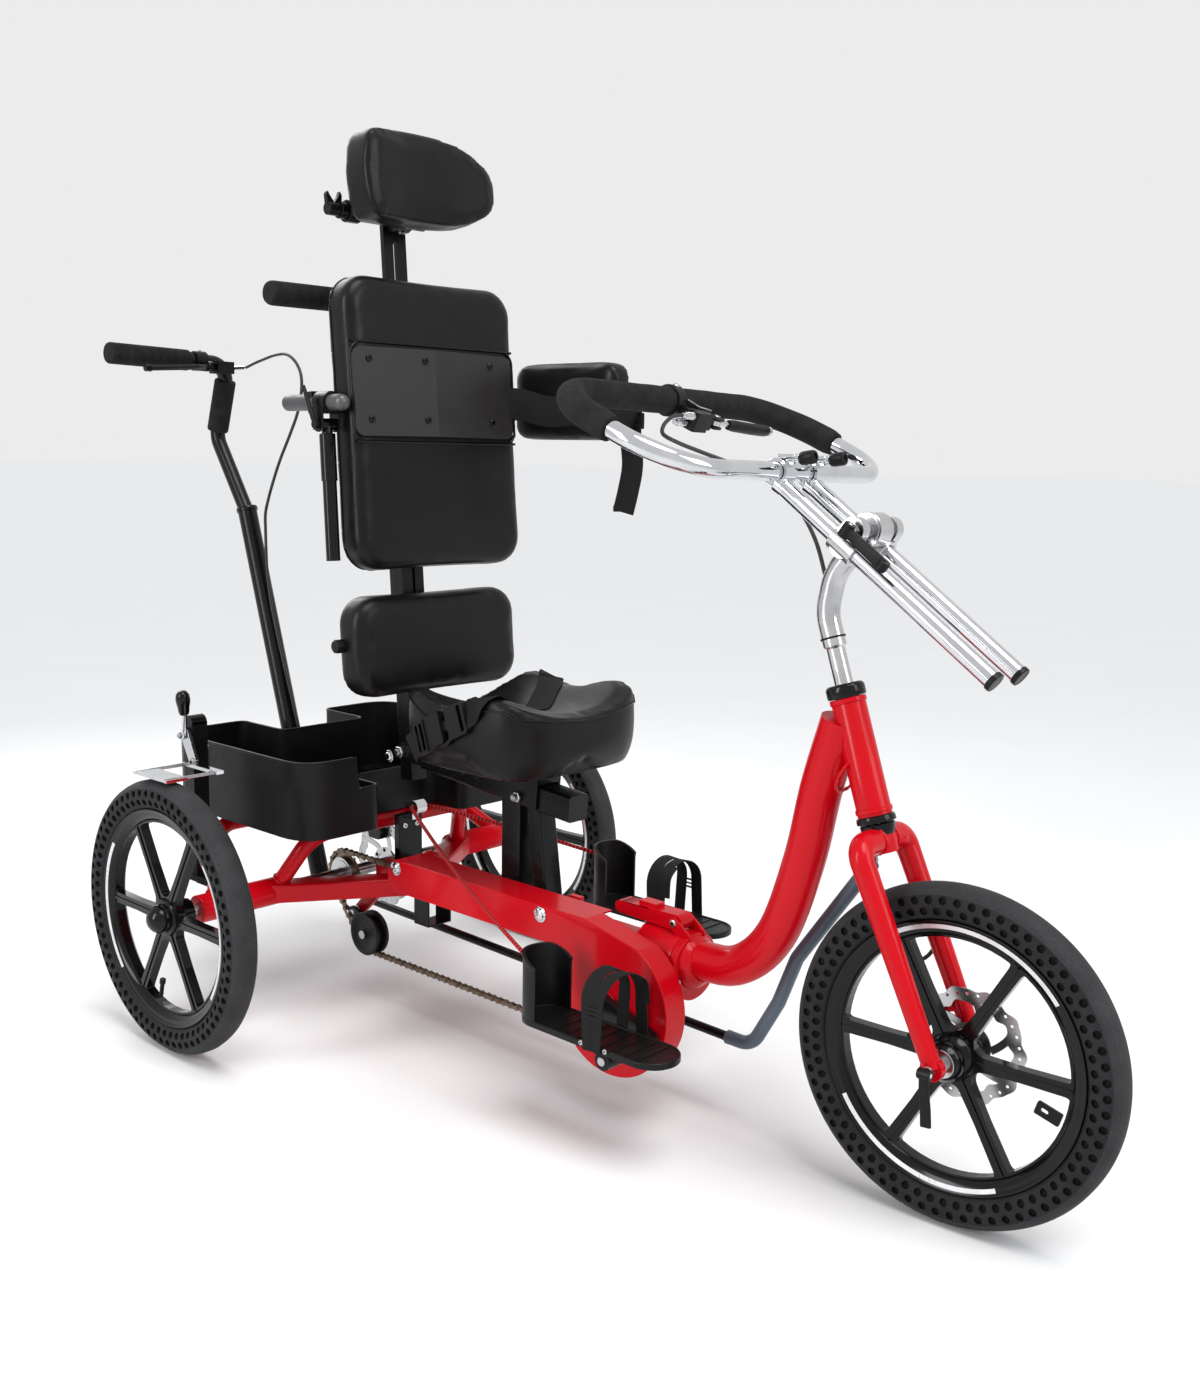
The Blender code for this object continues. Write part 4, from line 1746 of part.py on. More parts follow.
def cords():
    """The brake cables and the elastic cord, each along its real route."""
    front_route = [
        at_rest(lever_point(-0.0168, 0.170, -0.004)),
        at_rest(lever_point(-0.040, 0.168, -0.008)),
        (0.668, -0.080, 0.892),
        (0.720, -0.072, 0.872),
        (0.770, -0.040, 0.850),
        (0.800, -0.004, 0.822),
        (0.830, 0.012, 0.770),
        (0.846, 0.022, 0.700),
        (0.852, 0.025, 0.645),
        (0.868, 0.040, 0.560),
        (0.905, 0.055, 0.460),
        (0.945, 0.072, 0.370),
        (0.985, 0.070, 0.300),
        at_rest(FRONT_CALLIPER_ARM),
    ]
    cord("front_brake_cable", front_route, 0.0025, BLACK_PLASTIC, FRAME, 0.030)
    pivot = PUSH_PIVOT
    push_route = [
        (pivot.x + 0.0127, pivot.y + 0.0608, pivot.z + 0.002),
        (-0.282, 0.010, 1.012),
        (-0.215, 0.008, 1.018),
        (-0.165, 0.000, 0.985),
        (-0.168, -0.005, 0.925),
        (-0.215, -0.008, 0.848),
        (-0.257, -0.006, 0.775),
        (-0.268, -0.003, 0.730),
        column(0.0215, -0.004, 0.480),
        column(0.0200, 0.000, 0.300),
        column(0.0205, 0.006, 0.190),
        (-0.148, 0.018, 0.308),
        (-0.118, 0.027, 0.283),
        (-0.100, 0.030, 0.270),
        (-0.070, 0.031, 0.264),
        (REAR_CALLIPER.x - 0.015 - 3 * GAP, REAR_CALLIPER.y, 0.270),
    ]
    cord("push_brake_cable", push_route, 0.0025, BLACK_PLASTIC, FRAME, 0.040)
    elastic = [
        (0.5246, -PEDAL_Y, 0.217),
        (0.420, -0.128, 0.247),
        (0.300, -0.088, 0.278),
        (0.190, -0.044, 0.305),
        (0.128, -0.018, 0.3213),
        (0.1203, -0.0105, 0.322),
        (0.1200, 0.0, 0.322),
        (0.1203, 0.0105, 0.322),
        (0.128, 0.018, 0.3213),
        (0.200, 0.060, 0.306),
        (0.280, 0.108, 0.286),
        (0.3605, PEDAL_Y, 0.264),
    ]
    cord("elastic_cord", elastic, CORD_RADIUS, CORD_RED, FRAME, 0.045)


def main():
    rear_wheels()
    front_wheel()
    axle_lever_parts()
    rear_frame()
    front_frame()
    headset()
    fork()
    rear_calliper()
    drive()
    cranks()
    chain_guard()
    seat_support()
    slide = seat_swivel()
    seat_cushion(slide)
    basket()
    brake_post()
    parking_brake_lever()
    cord_post()
    bar_clamp_group = bar_clamp(stem())
    handlebar(bar_clamp_group)
    steering_rod()
    back_post()
    back_pad()
    lumbar_pad()
    headrest()
    push_handle()
    cords()
    STEERING.rotation_euler.z = REST_STEER
    ROOT.location.x = -MIDDLE_X


main()
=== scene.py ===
"""The tricycle's looks: every piece in its finest form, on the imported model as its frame."""

import math

import bmesh
import bpy
from mathutils import Matrix, Vector
from mathutils.bvhtree import BVHTree


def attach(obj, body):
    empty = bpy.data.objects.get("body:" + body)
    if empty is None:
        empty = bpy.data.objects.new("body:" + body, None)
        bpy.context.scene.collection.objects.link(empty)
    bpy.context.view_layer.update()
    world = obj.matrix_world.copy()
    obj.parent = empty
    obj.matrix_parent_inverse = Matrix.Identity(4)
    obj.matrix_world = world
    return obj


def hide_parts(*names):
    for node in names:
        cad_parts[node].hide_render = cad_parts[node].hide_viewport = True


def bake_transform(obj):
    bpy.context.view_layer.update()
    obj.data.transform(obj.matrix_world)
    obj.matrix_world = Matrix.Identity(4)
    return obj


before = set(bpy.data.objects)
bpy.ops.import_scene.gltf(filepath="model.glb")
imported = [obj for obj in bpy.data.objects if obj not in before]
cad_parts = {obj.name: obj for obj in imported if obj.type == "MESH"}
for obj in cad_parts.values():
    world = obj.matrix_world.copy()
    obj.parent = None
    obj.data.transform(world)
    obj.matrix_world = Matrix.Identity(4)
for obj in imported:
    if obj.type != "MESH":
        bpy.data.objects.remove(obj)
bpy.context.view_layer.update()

# Sizes in metres, as the CAD has them, with X forward of the rear axle
MIDDLE_X = 0.4141
GAP = 0.0003
WHEEL_RADIUS = 0.200
TYRE_BEAD = 0.160
WHEELBASE = 1.054
REAR_WHEEL_Y = 0.364
HUB_RADIUS = 0.024
ROTOR_RADIUS = 0.070
FRONT_ROTOR_Y = 0.0394
REAR_ROTOR_Y = 0.030
HEAD_TILT = math.radians(18.8)
HEAD_LOW = Vector((0.939, 0.0, 0.451))
HEAD_LENGTH = 0.149
REST_STEER = math.radians(3.76)
BACK_PIVOT = Vector((0.107, 0.0, 0.410))
RECLINE = math.radians(4.3)
COLUMN_FOOT = Vector((-0.134, 0.0, 0.152))
COLUMN_TILT = math.radians(-17.4)
FRONT_CENTRE = Vector((WHEELBASE, 0.0, WHEEL_RADIUS))

UP = Vector((0.0, 0.0, 1.0))
SIDEWAYS = Vector((0.0, 1.0, 0.0))
FORWARD = Vector((1.0, 0.0, 0.0))
SIDE = Matrix.Rotation(math.pi / 2, 4, "X")
FRONT = Matrix.Rotation(math.pi / 2, 4, "Z") @ Matrix.Rotation(math.pi / 2, 4, "X")


def basis(place, angle):
    return Matrix.Translation(place) @ Matrix.Rotation(angle, 4, "Y")


HEAD = basis(HEAD_LOW, -HEAD_TILT)
BACK = basis(BACK_PIVOT, -RECLINE)
COLUMN = basis(COLUMN_FOOT, COLUMN_TILT)
HEAD_AXIS = (HEAD.to_3x3() @ UP).normalized()
SHIFT = Matrix.Translation((-MIDDLE_X, 0.0, 0.0))
TURNED = (
    SHIFT
    @ Matrix.Translation(HEAD_LOW)
    @ Matrix.Rotation(REST_STEER, 4, HEAD_AXIS)
    @ Matrix.Translation(-HEAD_LOW)
)


def steer(x, y, z):
    return HEAD @ Vector((x, y, z))


def back(x, y, z):
    return BACK @ Vector((x, y, z))


def column(x, y, z):
    return COLUMN @ Vector((x, y, z))


# Materials


def wire(tree, kind, inputs, output=0, **settings):
    """Adds a shader node, sets or links its inputs, and returns one of its outputs."""
    made = tree.nodes.new("ShaderNode" + kind)
    for key, value in settings.items():
        setattr(made, key, value)
    for key, value in inputs.items():
        if isinstance(value, bpy.types.NodeSocket):
            tree.links.new(value, made.inputs[key])
        else:
            made.inputs[key].default_value = value
    return made.outputs[output]


def start_material(name, metallic=0.0, coat=0.0, coat_roughness=0.1, specular=0.5, sheen=0.0):
    made = bpy.data.materials.new(name)
    made.use_nodes = True
    shader = made.node_tree.nodes["Principled BSDF"]
    shader.inputs["Metallic"].default_value = metallic
    shader.inputs["Coat Weight"].default_value = coat
    shader.inputs["Coat Roughness"].default_value = coat_roughness
    shader.inputs["Specular IOR Level"].default_value = specular
    shader.inputs["Sheen Weight"].default_value = sheen
    return made, made.node_tree, shader


def scaled_coordinates(tree, stretch, source="Object"):
    coordinates = wire(tree, "TexCoord", {}, 2 if source == "UV" else 3)
    return wire(tree, "Mapping", {0: coordinates, 3: stretch})


def span(tree, value, low, high, from_low=0.3, from_high=0.7):
    return wire(tree, "MapRange", {0: value, 1: from_low, 2: from_high, 3: low, 4: high})


def two_tone(tree, value, dark, light, low=0.3, high=0.7):
    made = tree.nodes.new("ShaderNodeValToRGB")
    ramp = made.color_ramp
    ramp.elements[0].position = low
    ramp.elements[0].color = (*dark, 1.0)
    ramp.elements[1].position = high
    ramp.elements[1].color = (*light, 1.0)
    tree.links.new(value, made.inputs[0])
    return made.outputs[0]


def connect(tree, shader, colour=None, roughness=None, normal=None):
    for name, value in (("Base Color", colour), ("Roughness", roughness), ("Normal", normal)):
        if value is not None:
            tree.links.new(value, shader.inputs[name])


def surface(name, dark, light, rough, grain, metallic=0.0, mottle=9.0, stretch=(1, 1, 1), pores=False, **extra):
    """A finish with uneven colour and gloss, and a fine grain: (its scale, strength, depth in metres)."""
    made, tree, shader = start_material(name, metallic, **extra)
    where = scaled_coordinates(tree, stretch)
    clouds = wire(tree, "TexNoise", {"Vector": where, "Scale": mottle, "Detail": 6.0, "Roughness": 0.6})
    smears = wire(tree, "TexNoise", {"Vector": where, "Scale": 4.3 * mottle, "Detail": 4.0, "Distortion": 0.6})
    scale, strength, depth = grain
    if pores:
        height = wire(tree, "TexVoronoi", {"Vector": where, "Scale": scale}, feature="SMOOTH_F1")
    else:
        height = wire(tree, "TexNoise", {"Vector": where, "Scale": scale, "Detail": 3.0})
    normal = wire(tree, "Bump", {"Strength": strength, "Distance": depth, "Height": height})
    connect(tree, shader, two_tone(tree, clouds, dark, light), span(tree, smears, *rough), normal)
    return made


def brushed(name, dark, light, rough, scale, stretch, metallic=1.0):
    """Metal with fine streaks along the long side of the stretch, in the piece's own UV map."""
    made, tree, shader = start_material(name, metallic)
    where = scaled_coordinates(tree, stretch, "UV")
    streaks = wire(tree, "TexNoise", {"Vector": where, "Scale": scale, "Detail": 5.0, "Roughness": 0.7})
    place = scaled_coordinates(tree, (1, 1, 1))
    clouds = wire(tree, "TexNoise", {"Vector": place, "Scale": 14.0, "Detail": 5.0})
    normal = wire(tree, "Bump", {"Strength": 0.12, "Distance": 0.0002, "Height": streaks})
    connect(tree, shader, two_tone(tree, clouds, dark, light), span(tree, streaks, *rough), normal)
    return made


def woven(name, dark, light, across_scale, roughness=0.8):
    """Webbing: ribs along the strap crossed by its weft, from the strap's own UV map in metres."""
    made, tree, shader = start_material(name, specular=0.15)
    where = scaled_coordinates(tree, (1, 1, 1), "UV")
    warp = wire(tree, "TexWave", {"Vector": where, "Scale": across_scale, "Distortion": 0.0}, 1,
                bands_direction="Y")
    weft = wire(
        tree, "TexWave",
        {"Vector": where, "Scale": 1.3 * across_scale, "Distortion": 0.4, "Detail Scale": 2.0},
        1, bands_direction="X",
    )
    height = wire(tree, "Math", {0: warp, 1: weft}, operation="MULTIPLY")
    fuzz = wire(tree, "TexNoise", {"Vector": where, "Scale": 900.0, "Detail": 2.0})
    mixed = wire(tree, "Math", {0: height, 1: fuzz}, operation="ADD")
    normal = wire(tree, "Bump", {"Strength": 0.6, "Distance": 0.0005, "Height": mixed})
    # The colour follows the weave's height: painted shade in the low parts between ribs and weft, with the fuzz
    # adding real fibre tone.
    colour = two_tone(tree, mixed, dark, light, 0.35, 1.2)
    shader.inputs["Roughness"].default_value = roughness
    connect(tree, shader, colour, None, normal)
    return made


def braided(name, colours, turns):
    """A cord of helical strands in two colours, from its own UV map."""
    made, tree, shader = start_material(name, specular=0.3)
    where = scaled_coordinates(tree, (turns, 1.0, 1.0), "UV")
    parts = wire(tree, "SeparateXYZ", {0: where}, 0).node
    left = wire(tree, "Math", {0: parts.outputs[0], 1: parts.outputs[1]}, operation="ADD")
    right = wire(tree, "Math", {0: parts.outputs[0], 1: parts.outputs[1]}, operation="SUBTRACT")
    waves = []
    for strand in (left, right):
        turn = wire(tree, "Math", {0: strand, 1: 4 * math.pi}, operation="MULTIPLY")
        waves.append(wire(tree, "Math", {0: turn}, operation="SINE"))
    weave = wire(tree, "Math", {0: waves[0], 1: waves[1]}, operation="MULTIPLY")
    normal = wire(tree, "Bump", {"Strength": 0.5, "Distance": 0.0006, "Height": weave})
    shader.inputs["Roughness"].default_value = 0.75
    connect(tree, shader, two_tone(tree, weave, colours[0], colours[1], 0.2, 0.45), None, normal)
    return made


def tread(name):
    """Tyre rubber whose running face has rows of short cross cuts, from its own UV map."""
    made, tree, shader = start_material(name, specular=0.3)
    where = scaled_coordinates(tree, (1, 1, 1), "UV")
    blocks = wire(
        tree,
        "TexBrick",
        {"Vector": where, "Scale": 1.0, "Mortar Size": 0.0011, "Mortar Smooth": 0.3,
         "Brick Width": 0.0105, "Row Height": 0.0058},
        1,
    )
    speckle = wire(tree, "TexNoise",
                   {"Vector": scaled_coordinates(tree, (1, 1, 1)), "Scale": 500.0, "Detail": 4.0})
    clouds = wire(tree, "TexNoise",
                  {"Vector": scaled_coordinates(tree, (1, 1, 1)), "Scale": 25.0, "Detail": 5.0})
    cut = wire(tree, "Math", {0: 1.0, 1: blocks}, operation="SUBTRACT")
    height = wire(tree, "Math", {0: speckle, 1: 0.08, 2: cut}, operation="MULTIPLY_ADD")
    normal = wire(tree, "Bump", {"Strength": 0.9, "Distance": 0.0012, "Height": height})
    colour = two_tone(tree, clouds, (0.020, 0.0205, 0.022), (0.036, 0.037, 0.039))
    connect(tree, shader, colour, span(tree, speckle, 0.62, 0.85), normal)
    return made


RED = surface("red paint", (0.58, 0.0010, 0.0070), (0.62, 0.0014, 0.0095), (0.30, 0.34), (260.0, 0.02, 0.0002),
              coat=0.22, coat_roughness=0.10, specular=0.10)
BLACK = surface("black paint", (0.0030, 0.0030, 0.0032), (0.0060, 0.0060, 0.0064), (0.20, 0.30),
                (900.0, 0.08, 0.0002), specular=0.22)
MOULDED = surface("black plastic", (0.0035, 0.0035, 0.0037), (0.0070, 0.0070, 0.0074), (0.34, 0.46),
                  (1300.0, 0.18, 0.0002), specular=0.2)
GLOSSY = surface("gloss black plastic", (0.0022, 0.0022, 0.0025), (0.0042, 0.0042, 0.0048), (0.10, 0.17),
                 (700.0, 0.03, 0.0002), specular=0.25)
VINYL = surface("black vinyl", (0.0032, 0.0032, 0.0034), (0.0058, 0.0057, 0.0058), (0.30, 0.40),
                (950.0, 0.16, 0.0003), mottle=6.0, pores=True, specular=0.2)
FOAM = surface("dark foam", (0.0150, 0.0150, 0.0158), (0.0270, 0.0270, 0.0280), (0.86, 0.96),
               (1100.0, 0.55, 0.0005), mottle=60.0, specular=0.1)
RUBBER = surface("tyre rubber", (0.0140, 0.0145, 0.0155), (0.0240, 0.0250, 0.0265), (0.58, 0.76),
                 (700.0, 0.3, 0.0003), mottle=22.0, specular=0.15)
TREAD = tread("tyre tread")
# Darker than the tyre rubber, for the insides of the tyre's holes and for dark discs on the seat beam: painted
# shade in recesses.
HOLE_SHADE = surface("tyre hole painted shade", (0.004, 0.004, 0.004), (0.009, 0.009, 0.009), (0.8, 0.9), (600.0, 0.2, 0.0002),
              specular=0.2)
CHROME = surface("chrome", (0.56, 0.57, 0.59), (0.68, 0.69, 0.71), (0.03, 0.07), (40.0, 0.01, 0.0001),
                 metallic=1.0, mottle=20.0)
STEEL = brushed("brushed steel", (0.36, 0.36, 0.37), (0.54, 0.54, 0.55), (0.18, 0.34), 60.0, (40.0, 900.0, 1.0))
ALLOY = surface("polished alloy", (0.46, 0.46, 0.47), (0.60, 0.60, 0.61), (0.15, 0.27), (240.0, 0.05, 0.0002),
                metallic=1.0, mottle=16.0)
BRONZED = surface("bronzed steel", (0.10, 0.075, 0.052), (0.26, 0.20, 0.15), (0.28, 0.48),
                  (600.0, 0.2, 0.0002), metallic=1.0, mottle=60.0)
SLEEVE = surface("blue grey sleeve", (0.075, 0.105, 0.140), (0.110, 0.145, 0.185), (0.36, 0.50),
                 (400.0, 0.15, 0.0002), specular=0.4)
WEBBING = woven("black webbing", (0.004, 0.004, 0.0042), (0.022, 0.022, 0.023), 260.0)
CORD = braided("red and black cord", ((0.008, 0.006, 0.006), (0.62, 0.010, 0.014)), 42.0)
REFLECTIVE = surface("reflective strip", (0.62, 0.62, 0.64), (0.80, 0.80, 0.82), (0.25, 0.4),
                     (900.0, 0.5, 0.0002), metallic=0.7, mottle=40.0)
GRAPHITE = surface("grey anodised tube", (0.075, 0.075, 0.078), (0.11, 0.11, 0.115), (0.34, 0.48),
                   (700.0, 0.1, 0.0002), metallic=0.6)
MATT = surface("satin black sheet", (0.0140, 0.0125, 0.0120), (0.0210, 0.0190, 0.0185), (0.34, 0.44),
               (900.0, 0.12, 0.0002), mottle=5.0, specular=0.35)
THREAD = surface("black thread", (0.010, 0.010, 0.010), (0.024, 0.024, 0.024), (0.7, 0.85),
                 (900.0, 0.4, 0.0002))
CABLE = surface("cable housing", (0.012, 0.012, 0.0125), (0.020, 0.020, 0.021), (0.32, 0.46),
                (500.0, 0.1, 0.0002))


# Shapes: each is (points, faces, texture places or None), and a piece joins several


def shape(points, faces, places=None):
    return [Vector(point) for point in points], faces, places


def moved(matrix, made):
    points, faces, places = made
    return [matrix @ point for point in points], faces, places


def from_bmesh(bm):
    bm.verts.index_update()
    made = shape([v.co.copy() for v in bm.verts], [[v.index for v in f.verts] for f in bm.faces])
    bm.free()
    return made


def box(xs, ys, zs):
    points = [(x, y, z) for x in xs for y in ys for z in zs]
    faces = [[0, 1, 3, 2], [4, 6, 7, 5], [0, 4, 5, 1], [2, 3, 7, 6], [0, 2, 6, 4], [1, 5, 7, 3]]
    return shape(points, faces)


def facing(centre, axis):
    """The frame at the centre that has its Z along the axis."""
    turn = Vector(axis).to_track_quat("Z", "Y").to_matrix().to_4x4()
    return Matrix.Translation(Vector(centre)) @ turn


def along(start, end):
    """The frame at the start that has its Z toward the end, and the length between them."""
    reach = Vector(end) - Vector(start)
    return facing(start, reach), reach.length


def bar(start, end, width, depth):
    """A bar of rectangular section. Where it lies in the XZ plane its width is along Y."""
    matrix, length = along(start, end)
    return moved(matrix, box((-width / 2, width / 2), (-depth / 2, depth / 2), (0, length)))


def turned(profile, centre=(0, 0, 0), axis=SIDEWAYS, steps=48, closed=False):
    """A profile of (radius, height) points turned about an axis, with flat discs on open ends."""
    count = len(profile)
    points = []
    for radius, height in profile:
        for step in range(steps):
            angle = 2 * math.pi * step / steps
            points.append((radius * math.cos(angle), radius * math.sin(angle), height))
    runs = [0.0]
    for first, second in zip(profile, profile[1:]):
        runs.append(runs[-1] + math.dist(first, second))
    widest = max(radius for radius, height in profile)
    arc_step = 2 * math.pi * widest / steps
    faces = []
    places = []
    for row in range(count - (0 if closed else 1)):
        after = (row + 1) % count
        v0, v1 = runs[row], runs[row + 1] if row + 1 < count else runs[row] + 0.01
        for step in range(steps):
            side = (step + 1) % steps
            faces.append([row * steps + step, row * steps + side, after * steps + side, after * steps + step])
            u0, u1 = step * arc_step, (step + 1) * arc_step
            places.append([(u0, v0), (u1, v0), (u1, v1), (u0, v1)])
    if not closed:
        for row, flip in ((0, True), (count - 1, False)):
            if profile[row][0] > 1e-6:
                cap = [row * steps + step for step in range(steps)]
                faces.append(cap[::-1] if flip else cap)
                places.append([(0.0, 0.0)] * steps)
    return moved(facing(centre, axis), shape(points, faces, places))


def rod(radius, start, end, steps=32, end_radius=None):
    matrix, length = along(start, end)
    last = radius if end_radius is None else end_radius
    edge = min(0.0008, 0.2 * radius, 0.2 * length)
    profile = [(radius - edge, 0), (radius, edge), (last, length - edge), (last - edge, length)]
    return moved(matrix, turned(profile, axis=UP, steps=steps))


def pin_through(radius, centre, reach, steps):
    """A rod whose ends lie at the reach, a vector, on both sides of its centre."""
    return rod(radius, centre - reach, centre + reach, steps)


def across(radius, x, z, y_from, y_to, steps=32):
    return rod(radius, (x, y_from, z), (x, y_to, z), steps)


def ring(inner, outer, half, centre, axis=SIDEWAYS, steps=48):
    edge = min(0.0006, 0.3 * (outer - inner))
    profile = [
        (inner, half), (outer - edge, half), (outer, half - edge), (outer, -half + edge),
        (outer - edge, -half), (inner, -half)
    ]
    return turned(profile, centre, axis, steps, closed=True)


def bent_path(points, bend, turn_step=7):
    """Straight runs between the points, with each corner rounded to the bend radius."""
    points = [Vector(point) for point in points]
    path = [points[0]]
    for before, corner, after in zip(points, points[1:], points[2:]):
        behind = (before - corner).normalized()
        ahead = (after - corner).normalized()
        half = behind.angle(ahead) / 2
        if half > math.radians(89):
            continue
        room = 0.48 * min((before - corner).length, (after - corner).length)
        reach = min(bend / math.tan(half), room)
        radius = reach * math.tan(half)
        centre = corner + (behind + ahead).normalized() * radius / math.sin(half)
        start = corner + behind * reach - centre
        end = corner + ahead * reach - centre
        sweep = start.angle(end)
        steps = max(3, math.ceil(sweep / math.radians(turn_step)))
        for step in range(steps + 1):
            share = step / steps
            off = start * math.sin((1 - share) * sweep) + end * math.sin(share * sweep)
            path.append(centre + off / math.sin(sweep))
    path.append(points[-1])
    return path


def smooth_path(points, spacing):
    """Points at an even spacing on a smooth curve through the given points."""
    points = [Vector(point) for point in points]
    ends = [2 * points[0] - points[1], *points, 2 * points[-1] - points[-2]]
    path = []
    for before, start, end, after in zip(ends, ends[1:], ends[2:], ends[3:]):
        steps = max(2, round((end - start).length / spacing))
        for step in range(steps):
            t = step / steps
            slope = (end - before) * t
            bow = (2 * before - 5 * start + 4 * end - after) * t**2
            cubic = (3 * start - before - 3 * end + after) * t**3
            path.append(0.5 * (2 * start + slope + bow + cubic))
    path.append(points[-1])
    return path


def frames(path, closed, side=None):
    """(side, up) at each point of a path, turning as little as it can."""
    count = len(path)
    made = []
    last = side
    for index, point in enumerate(path):
        before = path[index - 1] if index or closed else point
        after = path[(index + 1) % count] if index + 1 < count or closed else point
        ahead = (after - before).normalized()
        if last is None:
            last = ahead.orthogonal()
        across_path = (last - ahead * last.dot(ahead)).normalized()
        made.append((across_path, ahead.cross(across_path)))
        last = across_path
    return made


def skin(path, points, outline, closed=False):
    """The faces over rings of points that follow a path, with texture places in metres along and round it."""
    count, size = len(path), len(outline)
    runs, widths = [0.0], [0.0]
    for first, second in zip(path, [*path[1:], path[0]]):
        runs.append(runs[-1] + (second - first).length)
    for first, second in zip(outline, [*outline[1:], outline[0]]):
        widths.append(widths[-1] + math.dist(first, second))
    faces, places = [], []
    for index in range(count if closed else count - 1):
        after = (index + 1) % count
        u0, u1 = runs[index], runs[index + 1]
        for corner in range(size):
            beside = (corner + 1) % size
            v0, v1 = widths[corner], widths[corner + 1]
            faces.append([index * size + corner, index * size + beside, after * size + beside,
                          after * size + corner])
            places.append([(u0, v0), (u0, v1), (u1, v1), (u1, v0)])
    if not closed:
        faces += [list(range(size))[::-1], [(count - 1) * size + corner for corner in range(size)]]
        places += [[(0.0, 0.0)] * size, [(0.0, 0.0)] * size]
    return shape(points, faces, places)


def sweep(path, section, closed=False, side=None):
    """A section of (side, up) points carried along a path. It may be a function of the share passed."""
    path = [Vector(point) for point in path]
    points = []
    for index, (point, (beside, up)) in enumerate(zip(path, frames(path, closed, side))):
        outline = section(index / max(1, len(path) - 1)) if callable(section) else section
        points += [point + beside * s + up * t for s, t in outline]
    return skin(path, points, outline, closed)


def disc(radius, steps):
    angles = [2 * math.pi * step / steps for step in range(steps)]
    return [(radius * math.cos(angle), radius * math.sin(angle)) for angle in angles]


def pipe(path, radius, steps=24, closed=False):
    return sweep(path, disc(radius, steps), closed)


def webbing_section(width, thickness):
    """A flat section with bevelled edges."""
    half, edge = width / 2, thickness / 2
    return [(-half, -edge * 0.6), (-half + edge, -edge), (half - edge, -edge), (half, -edge * 0.6),
            (half, edge * 0.6), (half - edge, edge), (-half + edge, edge), (-half, edge * 0.6)]


def strap(path, width, thickness, side):
    """Webbing laid along a path, with its width near the side direction."""
    return sweep(path, webbing_section(width, thickness), side=Vector(side))


def plate(loops, thickness, matrix=None):
    """A flat outline of closed loops, thickened evenly about its plane."""
    data = bpy.data.curves.new("plate", "CURVE")
    data.dimensions = "2D"
    data.fill_mode = "BOTH"
    data.extrude = thickness / 2
    for loop in loops:
        spline = data.splines.new("POLY")
        spline.points.add(len(loop) - 1)
        for point, (u, v) in zip(spline.points, loop):
            point.co = (u, v, 0.0, 1.0)
        spline.use_cyclic_u = True
    curve = bpy.data.objects.new("plate", data)
    bpy.context.scene.collection.objects.link(curve)
    graph = bpy.context.evaluated_depsgraph_get()
    mesh = bpy.data.meshes.new_from_object(curve.evaluated_get(graph))
    bpy.data.objects.remove(curve)
    bm = bmesh.new()
    bm.from_mesh(mesh)
    bpy.data.meshes.remove(mesh)
    bmesh.ops.remove_doubles(bm, verts=bm.verts, dist=0.00001)
    bmesh.ops.recalc_face_normals(bm, faces=bm.faces)
    made = from_bmesh(bm)
    return moved(matrix, made) if matrix else made


def side_plate(loops, thickness, y):
    """A plate in the XZ plane, its middle at y."""
    return plate(loops, thickness, Matrix.Translation((0.0, y, 0.0)) @ SIDE)


def arc(u, v, radius, start, end, steps):
    points = []
    for step in range(steps + 1):
        angle = math.radians(start + (end - start) * step / steps)
        points.append((u + radius * math.cos(angle), v + radius * math.sin(angle)))
    return points


def circle(u, v, radius, steps=32):
    return arc(u, v, radius, 0, 360 * (steps - 1) / steps, steps - 1)


def rounded(u_span, v_span, radius, steps=8):
    (u0, u1), (v0, v1) = u_span, v_span
    return [
        *arc(u1 - radius, v1 - radius, radius, 0, 90, steps),
        *arc(u0 + radius, v1 - radius, radius, 90, 180, steps),
        *arc(u0 + radius, v0 + radius, radius, 180, 270, steps),
        *arc(u1 - radius, v0 + radius, radius, 270, 360, steps),
    ]


def belt(circles, steps=12):
    """The outline of a band drawn tight round (u, v, radius) circles, given anticlockwise."""
    leaving = []
    for index, (u, v, radius) in enumerate(circles):
        u_next, v_next, next_radius = circles[(index + 1) % len(circles)]
        run = math.hypot(u_next - u, v_next - v)
        leaving.append(math.atan2(v_next - v, u_next - u) - math.acos((radius - next_radius) / run))
    points = []
    for index, (u, v, radius) in enumerate(circles):
        start, end = leaving[index - 1], leaving[index]
        while end < start:
            end += 2 * math.pi
        points += arc(u, v, radius, math.degrees(start), math.degrees(end), steps)
    return points


def soft_section(half_u, half_v, corner):
    """A rounded rectangular section. The corner is a share of its half width."""
    return [(u * half_u, v * half_v) for u, v in rounded((-1, 1), (-1, 1), corner, 4)]


def divided(outline, spacing):
    """A closed outline with its long edges cut into pieces of about the spacing."""
    dense = []
    for (u0, v0), (u1, v1) in zip(outline, [*outline[1:], outline[0]]):
        pieces = max(1, round(math.dist((u0, v0), (u1, v1)) / spacing))
        dense += [(u0 + (u1 - u0) * k / pieces, v0 + (v1 - v0) * k / pieces) for k in range(pieces)]
    return dense


def divided_path(path, spacing):
    """An open path with its long runs cut into pieces of about the spacing."""
    dense = []
    for start, end in zip(path, path[1:]):
        pieces = max(1, round((end - start).length / spacing))
        dense += [start.lerp(end, k / pieces) for k in range(pieces)]
    return [*dense, path[-1]]


def mirrored(profile):
    """A profile of (radius, height) points followed by its own mirror image."""
    return [*profile, *[(radius, -height) for radius, height in reversed(profile)]]


def screw(centre, axis, radius, height=0.003):
    """A socket-headed screw: a domed head with a hexagonal recess."""
    head = turned([(radius, 0), (radius, 0.6 * height), (0.8 * radius, height), (0.52 * radius, height)],
                  axis=UP, steps=28)
    recess = turned([(0.5 * radius, height), (0.46 * radius, 0.25 * height), (0.0, 0.25 * height)], axis=UP,
                    steps=6)
    return [moved(facing(centre, axis), part) for part in (head, recess)]


